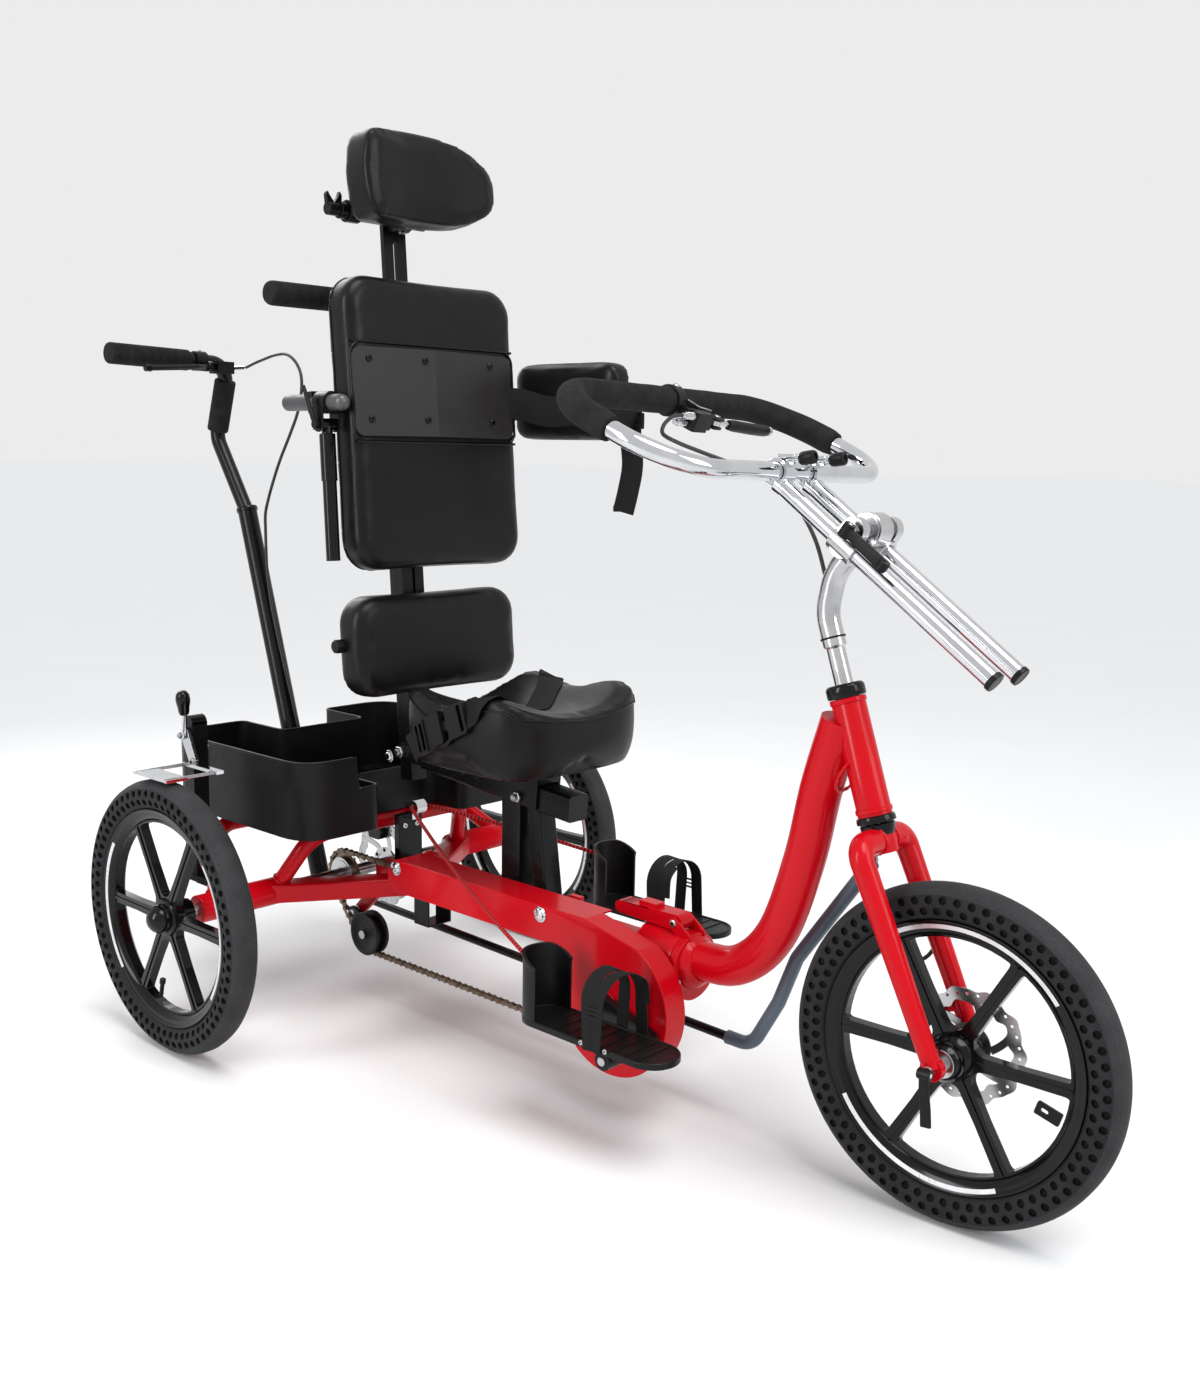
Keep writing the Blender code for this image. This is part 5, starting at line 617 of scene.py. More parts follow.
def nut(centre, axis, radius, height):
    profile = [(radius * 0.93, 0), (radius, 0.15 * height), (radius, 0.85 * height), (radius * 0.93, height)]
    return moved(facing(centre, axis), turned(profile, axis=UP, steps=6))


WELD_STEPS = 72


def weld(centre, axis, radius, bead=0.0028):
    """A bead of small overlapping waves round a joint."""
    axis = Vector(axis).normalized()
    first = axis.orthogonal().normalized()
    second = axis.cross(first)
    path = []
    for step in range(WELD_STEPS):
        angle = 2 * math.pi * step / WELD_STEPS
        path.append(Vector(centre) + (first * math.cos(angle) + second * math.sin(angle)) * radius)
    return sweep(path, lambda share: disc(bead * (1 + 0.22 * math.sin(36 * math.pi * share)), 8), closed=True)


BEVEL_LIMIT = math.radians(50)


def build(name, groups, matrix=SHIFT, edge=0.0, smooth=38, segments=2):
    """One object from [(material, [shapes])] in the given frame, with its edges rounded to the given width."""
    points, faces, slots, places, materials = [], [], [], [], []
    for material, shapes in groups:
        if material not in materials:
            materials.append(material)
        for some, rows, texture in shapes:
            start = len(points)
            points += [matrix @ point for point in some]
            faces += [[start + corner for corner in row] for row in rows]
            slots += [materials.index(material)] * len(rows)
            places += texture if texture else [[(0.0, 0.0)] * len(row) for row in rows]
    mesh = bpy.data.meshes.new(name)
    mesh.from_pydata(points, [], faces)
    mesh.polygons.foreach_set("material_index", slots)
    layer = mesh.uv_layers.new(name="UVMap")
    layer.uv.foreach_set("vector", [value for row in places for place in row for value in place])
    for material in materials:
        mesh.materials.append(material)
    mesh.validate()
    bm = bmesh.new()
    bm.from_mesh(mesh)
    bmesh.ops.recalc_face_normals(bm, faces=bm.faces)
    bm.to_mesh(mesh)
    bm.free()
    mesh.shade_smooth()
    mesh.set_sharp_from_angle(angle=math.radians(smooth))
    made = bpy.data.objects.new(name, mesh)
    bpy.context.scene.collection.objects.link(made)
    if edge:
        step = made.modifiers.new("Bevel", "BEVEL")
        step.width = edge
        step.segments = segments
        step.limit_method = "ANGLE"
        step.angle_limit = BEVEL_LIMIT
        step.use_clamp_overlap = True
        step.harden_normals = True
    return made


def piece(name, body, slot, groups, replaces=(), **looks):
    """One object on its body, and the nodes that it replaces, which it hides. Its material slot is not used."""
    made = build(name, groups, **looks)
    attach(made, body)
    if replaces:
        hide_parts(*replaces)
    return made


# Wheels

SPOKES = 6
HOLES_ROUND = 66
HOLE_SHARE = 0.385
BEAD_HALF = 0.0135
TYRE_PROFILE = ((TYRE_BEAD, 0.0143), (0.1635, 0.0178), (0.1690, 0.0205), (0.1760, 0.0217), (0.1820, 0.0218),
                (0.1890, 0.0200))
TREAD_PROFILE = ((0.1890, 0.0200), (0.1930, 0.0176), (0.1965, 0.0140), (0.1985, 0.0095), (0.2000, 0.0045))


def width_at(radius):
    """Half the tyre's width at a radius on its side wall."""
    for (r0, h0), (r1, h1) in zip(TYRE_PROFILE, TYRE_PROFILE[1:]):
        if r0 <= radius <= r1:
            return h0 + (h1 - h0) * (radius - r0) / (r1 - r0)
    return TYRE_PROFILE[-1][1]


def holed_wall(side):
    """The tyre's side wall with two staggered rows of blind round holes, as (wall, pits)."""
    bands = ((0.1632, 0.1760), (0.1760, 0.1890))
    step = 2 * math.pi / HOLES_ROUND
    points, faces, pits = [], [], []

    def put(radius, angle, sink=0.0):
        points.append((radius * math.cos(angle), radius * math.sin(angle), side * (width_at(radius) - sink)))
        return len(points) - 1

    for row, (inner, outer) in enumerate(bands):
        middle = (inner + outer) / 2
        hole = HOLE_SHARE * (outer - inner)
        for cell in range(HOLES_ROUND):
            centre = step * (cell + 0.5 * (row % 2))
            border = [
                put(radius, centre + share * step / 2)
                for radius, share in ((inner, -1), (inner, 0), (inner, 1), (middle, 1), (outer, 1), (outer, 0),
                                      (outer, -1), (middle, -1))
            ]
            rims = []
            for shrink, sink in ((1.15, 0.0), (1.0, 0.0004), (0.94, 0.0042)):
                loop = []
                for corner in range(8):
                    turn = math.radians(-135 + 45 * corner)
                    radial = middle + shrink * hole * math.sin(turn)
                    loop.append(put(radial, centre + shrink * hole * math.cos(turn) / middle, sink))
                rims.append(loop)
            for outside, inside in zip([border, *rims], rims):
                for corner in range(8):
                    after = (corner + 1) % 8
                    row_faces = pits if inside is rims[2] else faces
                    row_faces.append([outside[corner], outside[after], inside[after], inside[corner]])
            pits.append(rims[2])
    turn = Matrix.Rotation(-math.pi / 2, 4, "X")
    points = [turn @ Vector(point) for point in points]
    return (points, faces, None), (points, pits, None)


def tyre_shapes(centre):
    """A tyre as (walls, pits, tread): holed walls with their beads, the holes' insides, the running face."""
    place = Matrix.Translation(centre)
    walls, pits = [], []
    for side in (1, -1):
        wall, holes = holed_wall(side)
        walls.append(moved(place, wall))
        pits.append(moved(place, holes))
    for side in (1, -1):
        bead = [(radius, side * half)
                for radius, half in ((TYRE_BEAD, BEAD_HALF), (0.1612, 0.0158), (0.1632, 0.0176))]
        walls.append(moved(place, open_band(bead)))
    walls.append(moved(place, open_band([(TYRE_BEAD, BEAD_HALF), (TYRE_BEAD, -BEAD_HALF)], 96)))
    return walls, pits, [moved(place, open_band(mirrored(TREAD_PROFILE)))]


def open_band(profile, steps=152):
    """A turned profile without its end discs."""
    points, faces, places = turned(profile, steps=steps)
    return points, [f for f in faces if len(f) == 4], [p for f, p in zip(faces, places) if len(f) == 4]


def tyre(name, centre, body):
    walls, pits, crown = tyre_shapes(centre)
    matrix = TURNED if "front" in name else SHIFT
    # The holes' insides take the darker hole colour: painted shade.
    piece(name, body, "tyre rubber", [(RUBBER, walls), (HOLE_SHADE, pits), (TREAD, crown)], [name], matrix=matrix,
          smooth=60)


def wheel_window(spoke):
    """The rounded opening between two spokes."""
    start, end = 2 * math.pi * spoke / SPOKES, 2 * math.pi * (spoke + 1) / SPOKES
    edge, rim_radius = 0.070, 0.1385

    def beside(angle, reach, off):
        return Vector((reach * math.cos(angle) - off * math.sin(angle),
                       reach * math.sin(angle) + off * math.cos(angle), 0))

    spoke_half = ((0.034, 0.0088), (0.080, 0.0074), (0.1340, 0.0082))
    first = [beside(start, reach, off) for reach, off in spoke_half]
    last = [beside(end, reach, -off) for reach, off in reversed(spoke_half)]
    rim = [beside(start + edge + (end - start - 2 * edge) * k / 10, rim_radius, 0.0) for k in range(11)]
    begin = beside((start + end) / 2, 0.0305, 0)
    path = bent_path([begin, *first, *rim, *last, begin], 0.017, 12)[:-1]
    return [(point.x, point.y) for point in path]


def wheel_shapes(centre):
    """The web with its windows, the rim, and a rib on both sides of each spoke."""
    loops = [circle(0, 0, 0.1450, 120), *[wheel_window(spoke) for spoke in range(SPOKES)]]
    web = plate(loops, 0.0138, SIDE)
    flank = [(0.1597, 0.0147), (0.1585, 0.0160), (0.1565, 0.0160), (0.1552, 0.0150), (0.1520, 0.0145),
             (0.1490, 0.0138), (0.1455, 0.0120), (0.1425, 0.0092), (0.1402, 0.0055)]
    profile = [*flank, (0.1396, 0.0), *[(r, -h) for r, h in reversed(flank)]]
    rim = turned(profile, steps=144, closed=True)
    ribs = []
    for spoke in range(SPOKES):
        turn = Matrix.Rotation(-2 * math.pi * spoke / SPOKES, 4, "Y")
        for side in (1, -1):
            y = side * 0.0069
            ribs.append(moved(turn, bar((HUB_RADIUS, y, 0), (0.140, y, 0), 0.0034, 0.0032)))
    place = Matrix.Translation(centre)
    return [moved(place, made) for made in (web, rim, *ribs)]


def strip(centre, start, end, side):
    """A reflective arc on the rim's flank."""
    steps, above_rim = 36, 0.0004
    points = []
    for step in range(steps + 1):
        angle = math.radians(start + (end - start) * step / steps)
        for radius, height in ((0.1492, 0.01395), (0.1545, 0.01495)):
            off = Vector((radius * math.cos(angle), side * (height + above_rim), radius * math.sin(angle)))
            points.append(Vector(centre) + off)
    return points, [[a, a + 1, a + 3, a + 2] for a in range(0, 2 * steps, 2)], None


def dome(centre, side, radius, reach, base):
    """A hub cap that ends in a quarter of a circle."""
    angles = [math.radians(9 * k) for k in range(1, 10)]
    crown = [(radius * math.cos(angle), reach - radius + radius * math.sin(angle)) for angle in angles]
    return turned([(radius, base), (radius, reach - radius), *crown, (0.0002, reach)], centre, (0, side, 0), 40)


def rear_wheel(side, label, body):
    centre = Vector((0.0, side * REAR_WHEEL_Y, WHEEL_RADIUS))
    inner = turned([(0.0240, 0.008), (0.0292, 0.0), (0.0265, -0.012), (0.0215, -0.026), (0.0205, -0.030),
                    (0.0100, -0.030)],
                   centre, (0, side, 0), 56)
    flange = turned([(0.0285, 0.0075), (0.0270, 0.0105), (0.0225, 0.0115)], centre, (0, side, 0), 48)
    cap = dome(centre, side, 0.0215, 0.0350, 0.008)
    shapes = [*wheel_shapes(centre), inner, flange, cap]
    valve_angle = math.radians(-104)
    outward = Vector((math.cos(valve_angle), 0, math.sin(valve_angle)))
    valve = [rod(radius, centre + outward * start, centre + outward * end, 16)
             for radius, start, end in ((0.0032, 0.132, 0.108), (0.0045, 0.112, 0.104))]
    strips = [strip(centre, a, b, s) for a, b in ((-35, 42), (145, 222)) for s in (1, -1)]
    name = "rear_wheel_" + label
    piece(name, body, "gloss black plastic", [(GLOSSY, shapes), (MOULDED, valve)], [name], edge=0.0016)
    piece(name + "_strips", body, "chrome", [(REFLECTIVE, strips)])
    tyre("rear_tyre_" + label, centre, body)


def disc_shapes(centre):
    """A brake disc: a waved, drilled ring on six swept arms."""
    waves, drilled, arm_count, thick, half_arm = 10, 30, 6, 0.0018, 0.0045
    outer, inner = [], []
    for step in range(180):
        angle = 2 * math.pi * step / 180
        swell = math.cos(waves * angle) + 0.35 * math.sin(2 * waves * angle)
        for loop, depth, wave in ((outer, 0.0026, 0.0022), (inner, 0.0185, 0.0026)):
            radius = ROTOR_RADIUS - depth + wave * swell
            loop.append((radius * math.cos(angle), radius * math.sin(angle)))
    holes = [circle(u, v, 0.0019, 12) for u, v in disc(ROTOR_RADIUS - 0.0086, drilled)]
    ring_plate = plate([outer, inner, *holes], thick, SIDE)
    middle = plate([circle(0, 0, 0.0270, 60), circle(0, 0, 0.0175, 48)], thick, SIDE)
    path = smooth_path([(0.0265, 0, 0), (0.036, 0.0075, 0), (0.046, 0.0185, 0), (0.0505, 0.0295, 0)], 0.003)
    low, high = -thick / 2 + 0.0001, thick / 2 - 0.0001
    arm_shape = sweep(path, [(-half_arm, low), (half_arm, low), (half_arm, high), (-half_arm, high)],
                      side=SIDEWAYS)
    arms = [moved(SIDE @ Matrix.Rotation(2 * math.pi * arm / arm_count, 4, "Z"), arm_shape)
            for arm in range(arm_count)]
    place = Matrix.Translation(centre)
    return [moved(place, made) for made in (ring_plate, middle, *arms)]


def disc_bolts(centre, side):
    shapes = []
    for bolt in range(6):
        angle = math.radians(60 * bolt + 30)
        at = Vector(centre) + Vector((0.022 * math.cos(angle), 0, 0.022 * math.sin(angle)))
        shapes += screw(at, (0, side, 0), 0.0032, 0.0018)
    return shapes


def rear_wheels():
    rear_wheel(1, "left", "left_wheel")
    rear_wheel(-1, "right", "rear_axle")
    reach = REAR_WHEEL_Y + 0.032 - 0.0063
    at = Vector((0.0, REAR_ROTOR_Y, WHEEL_RADIUS))
    shaft = [
        across(0.0095, 0, WHEEL_RADIUS, -reach, reach),
        across(0.021, 0, WHEEL_RADIUS, REAR_ROTOR_Y, REAR_ROTOR_Y + 0.0095, 48),
        *[across(0.015, 0, WHEEL_RADIUS, y - 0.004, y + 0.004, 40) for y in (0.1652, -0.1652)],
    ]
    piece("rear_axle", "rear_axle", "brushed steel",
          [(STEEL, [*disc_shapes(at), *shaft]), (BLACK, disc_bolts(at, -1))], ["rear_axle"], edge=0.0003)


def front_wheel():
    centre = FRONT_CENTRE
    half = 0.036
    hub = turned([(0.0175, half), (0.0230, half - 0.006), (0.0240, half - 0.013), (0.0200, half - 0.020),
                  (0.0285, 0.008), (0.0300, 0.0), (0.0285, -0.008), (0.0200, -half + 0.020),
                  (0.0240, -half + 0.013), (0.0230, -half + 0.006), (0.0175, -half)],
                 centre, steps=56)
    faces = [ring(0.0068, 0.0168, 0.0012, centre + SIDEWAYS * side * (half - 0.0006)) for side in (1, -1)]
    tab_angle = math.radians(-17)
    tab = plate([rounded((0.104, 0.134), (-0.008, 0.008), 0.002),
                 rounded((0.110, 0.119), (-0.0026, 0.0026), 0.0024)], 0.0032,
                Matrix.Translation(centre) @ Matrix.Rotation(-tab_angle, 4, "Y") @ SIDE)
    strips = [strip(centre, a, b, s) for a, b in ((38, 122), (212, 296)) for s in (1, -1)]
    piece("front_wheel", "front_wheel", "gloss black plastic",
          [(GLOSSY, [*wheel_shapes(centre), hub]), (ALLOY, faces), (MOULDED, [tab])],
          ["front_wheel"], matrix=TURNED, edge=0.0016)
    piece("front_wheel_strips", "front_wheel", "chrome", [(REFLECTIVE, strips)], matrix=TURNED)
    tyre("front_tyre", centre, "front_wheel")
    at = Vector((WHEELBASE, FRONT_ROTOR_Y, WHEEL_RADIUS))
    carrier = ring(0.0068, 0.0195, 0.0014, at - SIDEWAYS * 0.0016)
    piece("front_brake_disc", "front_wheel", "brushed steel",
          [(STEEL, disc_shapes(at)), (BLACK, [carrier]), (CHROME, disc_bolts(at + SIDEWAYS * 0.0009, 1))],
          ["front_brake_disc"], matrix=TURNED, edge=0.0003)


# Drive

BRACKET = Vector((0.600, 0.0, 0.158))
PITCH = 0.0127
CHAINRING_TEETH = 36
FREEWHEEL_TEETH = 18
CHAIN_Y = -0.050
ROLLER = Vector((0.060, CHAIN_Y, 0.115))
CRANK_LENGTH = 0.085
CRANK_ANGLE = math.radians(-16)
CRANK_Y = 0.097
PEDAL_Y = 0.155


def pitch_radius(teeth):
    return PITCH / (2 * math.sin(math.pi / teeth))


def sprocket_outline(teeth):
    pitch = pitch_radius(teeth)
    corners = ((-0.0040, 0.0), (-0.0036, 0.14), (-0.0005, 0.30), (0.0016, 0.42), (0.0021, 0.50),
               (0.0016, 0.58), (-0.0005, 0.70), (-0.0036, 0.86))
    points = []
    for tooth in range(teeth):
        for rise, share in corners:
            angle = 2 * math.pi * (tooth + share) / teeth
            points.append(((pitch + rise) * math.cos(angle), (pitch + rise) * math.sin(angle)))
    return points


def even_points(outline, spacing):
    closed = [*outline, outline[0]]
    lengths = [math.dist(a, b) for a, b in zip(closed, closed[1:])]
    count = 2 * round(sum(lengths) / spacing / 2)
    points, index, passed = [], 0, 0.0
    for step in range(count):
        wanted = sum(lengths) * step / count
        while passed + lengths[index] < wanted:
            passed += lengths[index]
            index += 1
        share = (wanted - passed) / lengths[index]
        (u0, v0), (u1, v1) = closed[index], closed[index + 1]
        points.append((u0 + (u1 - u0) * share, v0 + (v1 - v0) * share))
    return points


def slab(outline, y_from, y_to):
    """A flat outline in the XZ plane, thickened between two values of y."""
    count = len(outline)
    points = [(u, y, v) for y in (y_from, y_to) for u, v in outline]
    faces = [list(range(count)), list(range(2 * count - 1, count - 1, -1))]
    faces += [[k, (k + 1) % count, count + (k + 1) % count, count + k] for k in range(count)]
    return shape(points, faces)


def chain():
    circles = [
        (BRACKET.x, BRACKET.z, pitch_radius(CHAINRING_TEETH)),
        (0.0, WHEEL_RADIUS, pitch_radius(FREEWHEEL_TEETH)),
        (ROLLER.x, ROLLER.z, 0.030),
    ]
    pins = even_points(belt(circles, 60), PITCH)
    plates, rollers = [], []
    for index, (u, v) in enumerate(pins):
        u_next, v_next = pins[(index + 1) % len(pins)]
        heading = math.degrees(math.atan2(v_next - v, u_next - u))
        ends = [*arc(u, v, 0.0041, heading + 40, heading + 320, 8)]
        ends += [*arc(u_next, v_next, 0.0041, heading - 140, heading + 140, 8)]
        off = 0.0036 if index % 2 else 0.0025
        plates += [slab(ends, CHAIN_Y + s * off - 0.0005, CHAIN_Y + s * off + 0.0005) for s in (1, -1)]
        rollers.append(turned([(0.0037, 0.0022), (0.0037, -0.0022)], (u, CHAIN_Y, v), steps=10))
        rollers.append(turned([(0.0017, 0.0046), (0.0017, -0.0046)], (u, CHAIN_Y, v), steps=8))
    piece("chain", "frame", "bronzed steel", [(BRONZED, plates + rollers)], ["chain"])


def ring_windows(count, inner, outer, margin):
    loops = []
    for window in range(count):
        start, end = 360 * window / count + margin, 360 * (window + 1) / count - margin
        loops.append([*arc(0, 0, outer, start, end, 14), *arc(0, 0, inner, end - 3, start + 3, 10)])
    return loops


def drive():
    place = Vector((BRACKET.x, CHAIN_Y, BRACKET.z))
    windows = ring_windows(5, 0.030, pitch_radius(CHAINRING_TEETH) - 0.016, 10)
    loops = [sprocket_outline(CHAINRING_TEETH), circle(0, 0, 0.0092), *windows]
    teeth = moved(Matrix.Translation(place) @ SIDE, plate(loops, 0.0028))
    bolts = []
    for bolt in range(5):
        angle = math.radians(72 * bolt)
        at = place + Vector((0.030 * math.cos(angle), -0.0014, 0.030 * math.sin(angle)))
        bolts += screw(at, (0, -1, 0), 0.0045, 0.0024)
    piece("chainring", "crank", "black paint", [(BLACK, [teeth]), (CHROME, bolts)], ["chainring"], edge=0.0004)
    place = Vector((0.0, CHAIN_Y, WHEEL_RADIUS))
    teeth = moved(Matrix.Translation(place) @ SIDE,
                  plate([sprocket_outline(FREEWHEEL_TEETH), circle(0, 0, 0.0135)], 0.0028))
    body = [ring(0.0101, 0.027, 0.0085, place), ring(0.0101, 0.0225, 0.0092, place)]
    piece("freewheel", "freewheel", "brushed steel", [(BRONZED, [teeth]), (STEEL, body)], ["freewheel"],
          edge=0.0004)
    chain()
    core, flange = 0.0252, 0.0342
    half = [(0.0048, 0.012), (0.010, 0.012), (0.0115, 0.0108), (0.024, 0.0108), (0.0262, 0.012),
            (flange - 0.0012, 0.012), (flange, 0.0108), (flange, 0.0072), (flange - 0.001, 0.0064),
            (core, 0.0056)]
    wheel = turned(mirrored(half), ROLLER, steps=64, closed=True)
    piece("tensioner_roller", "tensioner_roller", "black plastic", [(MOULDED, [wheel])], ["tensioner_roller"])
    cranks()


def cranks():
    for side, label in ((-1, "right"), (1, "left")):
        phase = CRANK_ANGLE + (0.0 if side < 0 else math.pi)
        dx, dz = CRANK_LENGTH * math.cos(phase), CRANK_LENGTH * math.sin(phase)
        pedal = Vector((BRACKET.x + dx, side * PEDAL_Y, BRACKET.z + dz))
        outline = belt([(0, 0, 0.016), (dx, dz, 0.0125)], 18)
        arm = plate([outline], 0.012, Matrix.Translation((BRACKET.x, side * CRANK_Y, BRACKET.z)) @ SIDE)
        pin = across(0.006, pedal.x, pedal.z, side * 0.091, side * (PEDAL_Y + 0.032), 24)
        outward = (0, side, 0)
        steel = [pin, nut((pedal.x, side * 0.1032, pedal.z), outward, 0.0095, 0.004),
                 *screw((BRACKET.x, side * 0.103, BRACKET.z), outward, 0.0095, 0.0034)]
        if side < 0:
            steel.append(across(0.0085, BRACKET.x, BRACKET.z, -0.104, 0.1027))
        piece("crank_" + label, "crank", "black paint", [(BLACK, [arm]), (STEEL, steel)], ["crank_" + label],
              edge=0.0018)
        foot_plate(label, side, pedal)


FOOT_HALF = 0.036
SOLE_RISE = 0.0145
HEEL_X = -0.120
TOE_X = 0.055
HEEL_ARC = 204
STRAP_RISE = 0.0600
STRAP_BOW = 0.034


def foot_plate(label, side, pedal):
    """A ribbed sole with a curved, lipped heel cup, and two crossing bands over the instep."""
    body = "pedal_" + label
    outline = belt([(HEEL_X, 0, FOOT_HALF - 0.0008), (TOE_X, 0, FOOT_HALF - 0.0008)], 26)
    place = Matrix.Translation((pedal.x, pedal.y, pedal.z + SOLE_RISE))
    shapes = [plate([outline], 0.0064, place)]
    rim = [Vector((u, v, 0.0030))
           for u, v in belt([(HEEL_X, 0, FOOT_HALF - 0.0028), (TOE_X, 0, FOOT_HALF - 0.0028)], 26)]
    shapes.append(moved(place, pipe(rim, 0.0021, 10, closed=True)))
    for rib in range(9):
        u = HEEL_X + 0.020 + 0.0195 * rib
        shapes.append(moved(place, box((u - 0.0022, u + 0.0022), (-0.028, 0.028), (0.002, 0.0044))))
    shapes.append(across(0.0124, pedal.x, pedal.z, pedal.y - 0.0298, pedal.y + 0.0298, 36))
    for y in (-0.022, 0.022):
        shapes.append(box((pedal.x - 0.013, pedal.x + 0.013), (pedal.y + y - 0.003, pedal.y + y + 0.003),
                          (pedal.z + 0.004, pedal.z + 0.0125)))
    points, faces = [], []
    steps, rows = 30, 12
    for layer in (0, 1):
        for step in range(steps + 1):
            angle = math.radians(180 - HEEL_ARC / 2 + HEEL_ARC * step / steps)
            for row in range(rows + 1):
                share = row / rows
                edge = abs(step / steps - 0.5) * 2
                top = 0.0880 - 0.034 * max(0.0, edge - 0.45) ** 1.3
                lip = 0.0014 * max(0.0, share - 0.9) / 0.1
                radius = FOOT_HALF - 0.0006 - 0.0030 * layer + (0 if layer else lip) - 0.0008
                points.append((pedal.x + HEEL_X + radius * math.cos(angle), pedal.y + radius * math.sin(angle),
                               pedal.z + SOLE_RISE + 0.001 + top * share))
    size = (steps + 1) * (rows + 1)

    def at(layer, step, row):
        return layer * size + step * (rows + 1) + row

    for step in range(steps):
        for row in range(rows):
            faces.append([at(0, step, row), at(0, step + 1, row), at(0, step + 1, row + 1),
                          at(0, step, row + 1)])
            faces.append([at(1, step, row + 1), at(1, step + 1, row + 1), at(1, step + 1, row),
                          at(1, step, row)])
        faces.append([at(0, step, rows), at(0, step + 1, rows), at(1, step + 1, rows), at(1, step, rows)])
    for step in (0, steps):
        for row in range(rows):
            quad = [at(0, step, row), at(0, step, row + 1), at(1, step, row + 1), at(1, step, row)]
            faces.append(quad if step else quad[::-1])
    shapes.append(shape(points, faces))

    rivets = []
    for y in (-1, 1):
        for u in (-0.028, 0.012):
            rivets += screw((pedal.x + u, pedal.y + y * (FOOT_HALF + 0.0014), pedal.z + SOLE_RISE + 0.004),
                            (0, y, 0), 0.0034, 0.0018)
    piece("foot_plate_" + label, body, "black plastic", [(MOULDED, shapes), (STEEL, rivets)],
          ["foot_plate_" + label], edge=0.0006)

    bands = []
    for lean, width, u in ((0.006, 0.019, -0.021), (-0.006, 0.019, 0.001)):
        path = []
        reach = FOOT_HALF + 0.0012
        low = pedal.z + SOLE_RISE - 0.003
        for step in range(41):
            t = step / 40
            if t < 0.28:
                y, z = reach, low + STRAP_RISE * t / 0.28
            elif t > 0.72:
                y, z = -reach, low + STRAP_RISE * (1 - t) / 0.28
            else:
                a = math.pi * (t - 0.28) / 0.44
                y, z = reach * math.cos(a), low + STRAP_RISE + STRAP_BOW * math.sin(a)
            path.append(Vector((pedal.x + u + lean * (2 * t - 1), pedal.y + y, z)))
        bands.append(strap(path, width, 0.0016, (1, 0, 0)))
    tail = [(pedal.x + x, pedal.y - side * y, low + STRAP_RISE + z)
            for x, y, z in ((0.006, 0.020, 0.0295), (0.007, 0.036, 0.016), (0.008, 0.0395, -0.012))]
    bands.append(strap(smooth_path(tail, 0.004), 0.017, 0.0016, (1, 0, 0)))
    buckle = Vector((pedal.x - 0.010, pedal.y + side * (FOOT_HALF + 0.0016), low + 0.050))
    loops = [rounded((-0.014, 0.014), (-0.007, 0.007), 0.002, 3),
             rounded((-0.0115, 0.0115), (-0.0045, -0.001), 0.0008, 2),
             rounded((-0.0115, 0.0115), (0.001, 0.0045), 0.0008, 2)]
    clip = plate(loops, 0.0018, Matrix.Translation(buckle) @ SIDE)
    piece("foot_strap_" + label, body, "black webbing", [(WEBBING, bands), (MOULDED, [clip])],
          ["foot_strap_" + label])


GUARD_TOP = 0.2635
GUARD_TAIL = 0.150
GUARD_DROP = 0.050
GUARD_RADIUS = 0.097
GUARD_INNER = -0.030
GUARD_Y = -0.086
GUARD_BOLT_Z = 0.2505
GUARD_BOLTS = (0.170, 0.475)
BEAM_HALF = 0.020


def guard_outline(inset=0.0):
    """The chain guard's outline: its tail, its straight top, the round over the chainring and the way back."""
    u, v = BRACKET.x + 0.004, BRACKET.z
    low = GUARD_TOP - GUARD_DROP + inset
    tail, top = GUARD_TAIL + inset, GUARD_TOP - inset
    start = [(tail + 0.01, low, 0), (tail, low + 0.024, 0), (tail + 0.012, top, 0), (BRACKET.x - 0.045, top, 0)]
    end = [(u - 0.06, v - 0.076, 0), (BRACKET.x - 0.113 + inset, low, 0), (tail + 0.015, low, 0),
           (tail, low + 0.012, 0), (tail, low + 0.024, 0)]
    points = [(p.x, p.y) for p in bent_path(start, 0.010, 10)[1:]]
    points += arc(u, v, GUARD_RADIUS - inset, 62, -128, 60)
    return points + [(p.x, p.y) for p in bent_path(end, 0.014, 10)[1:-1]]


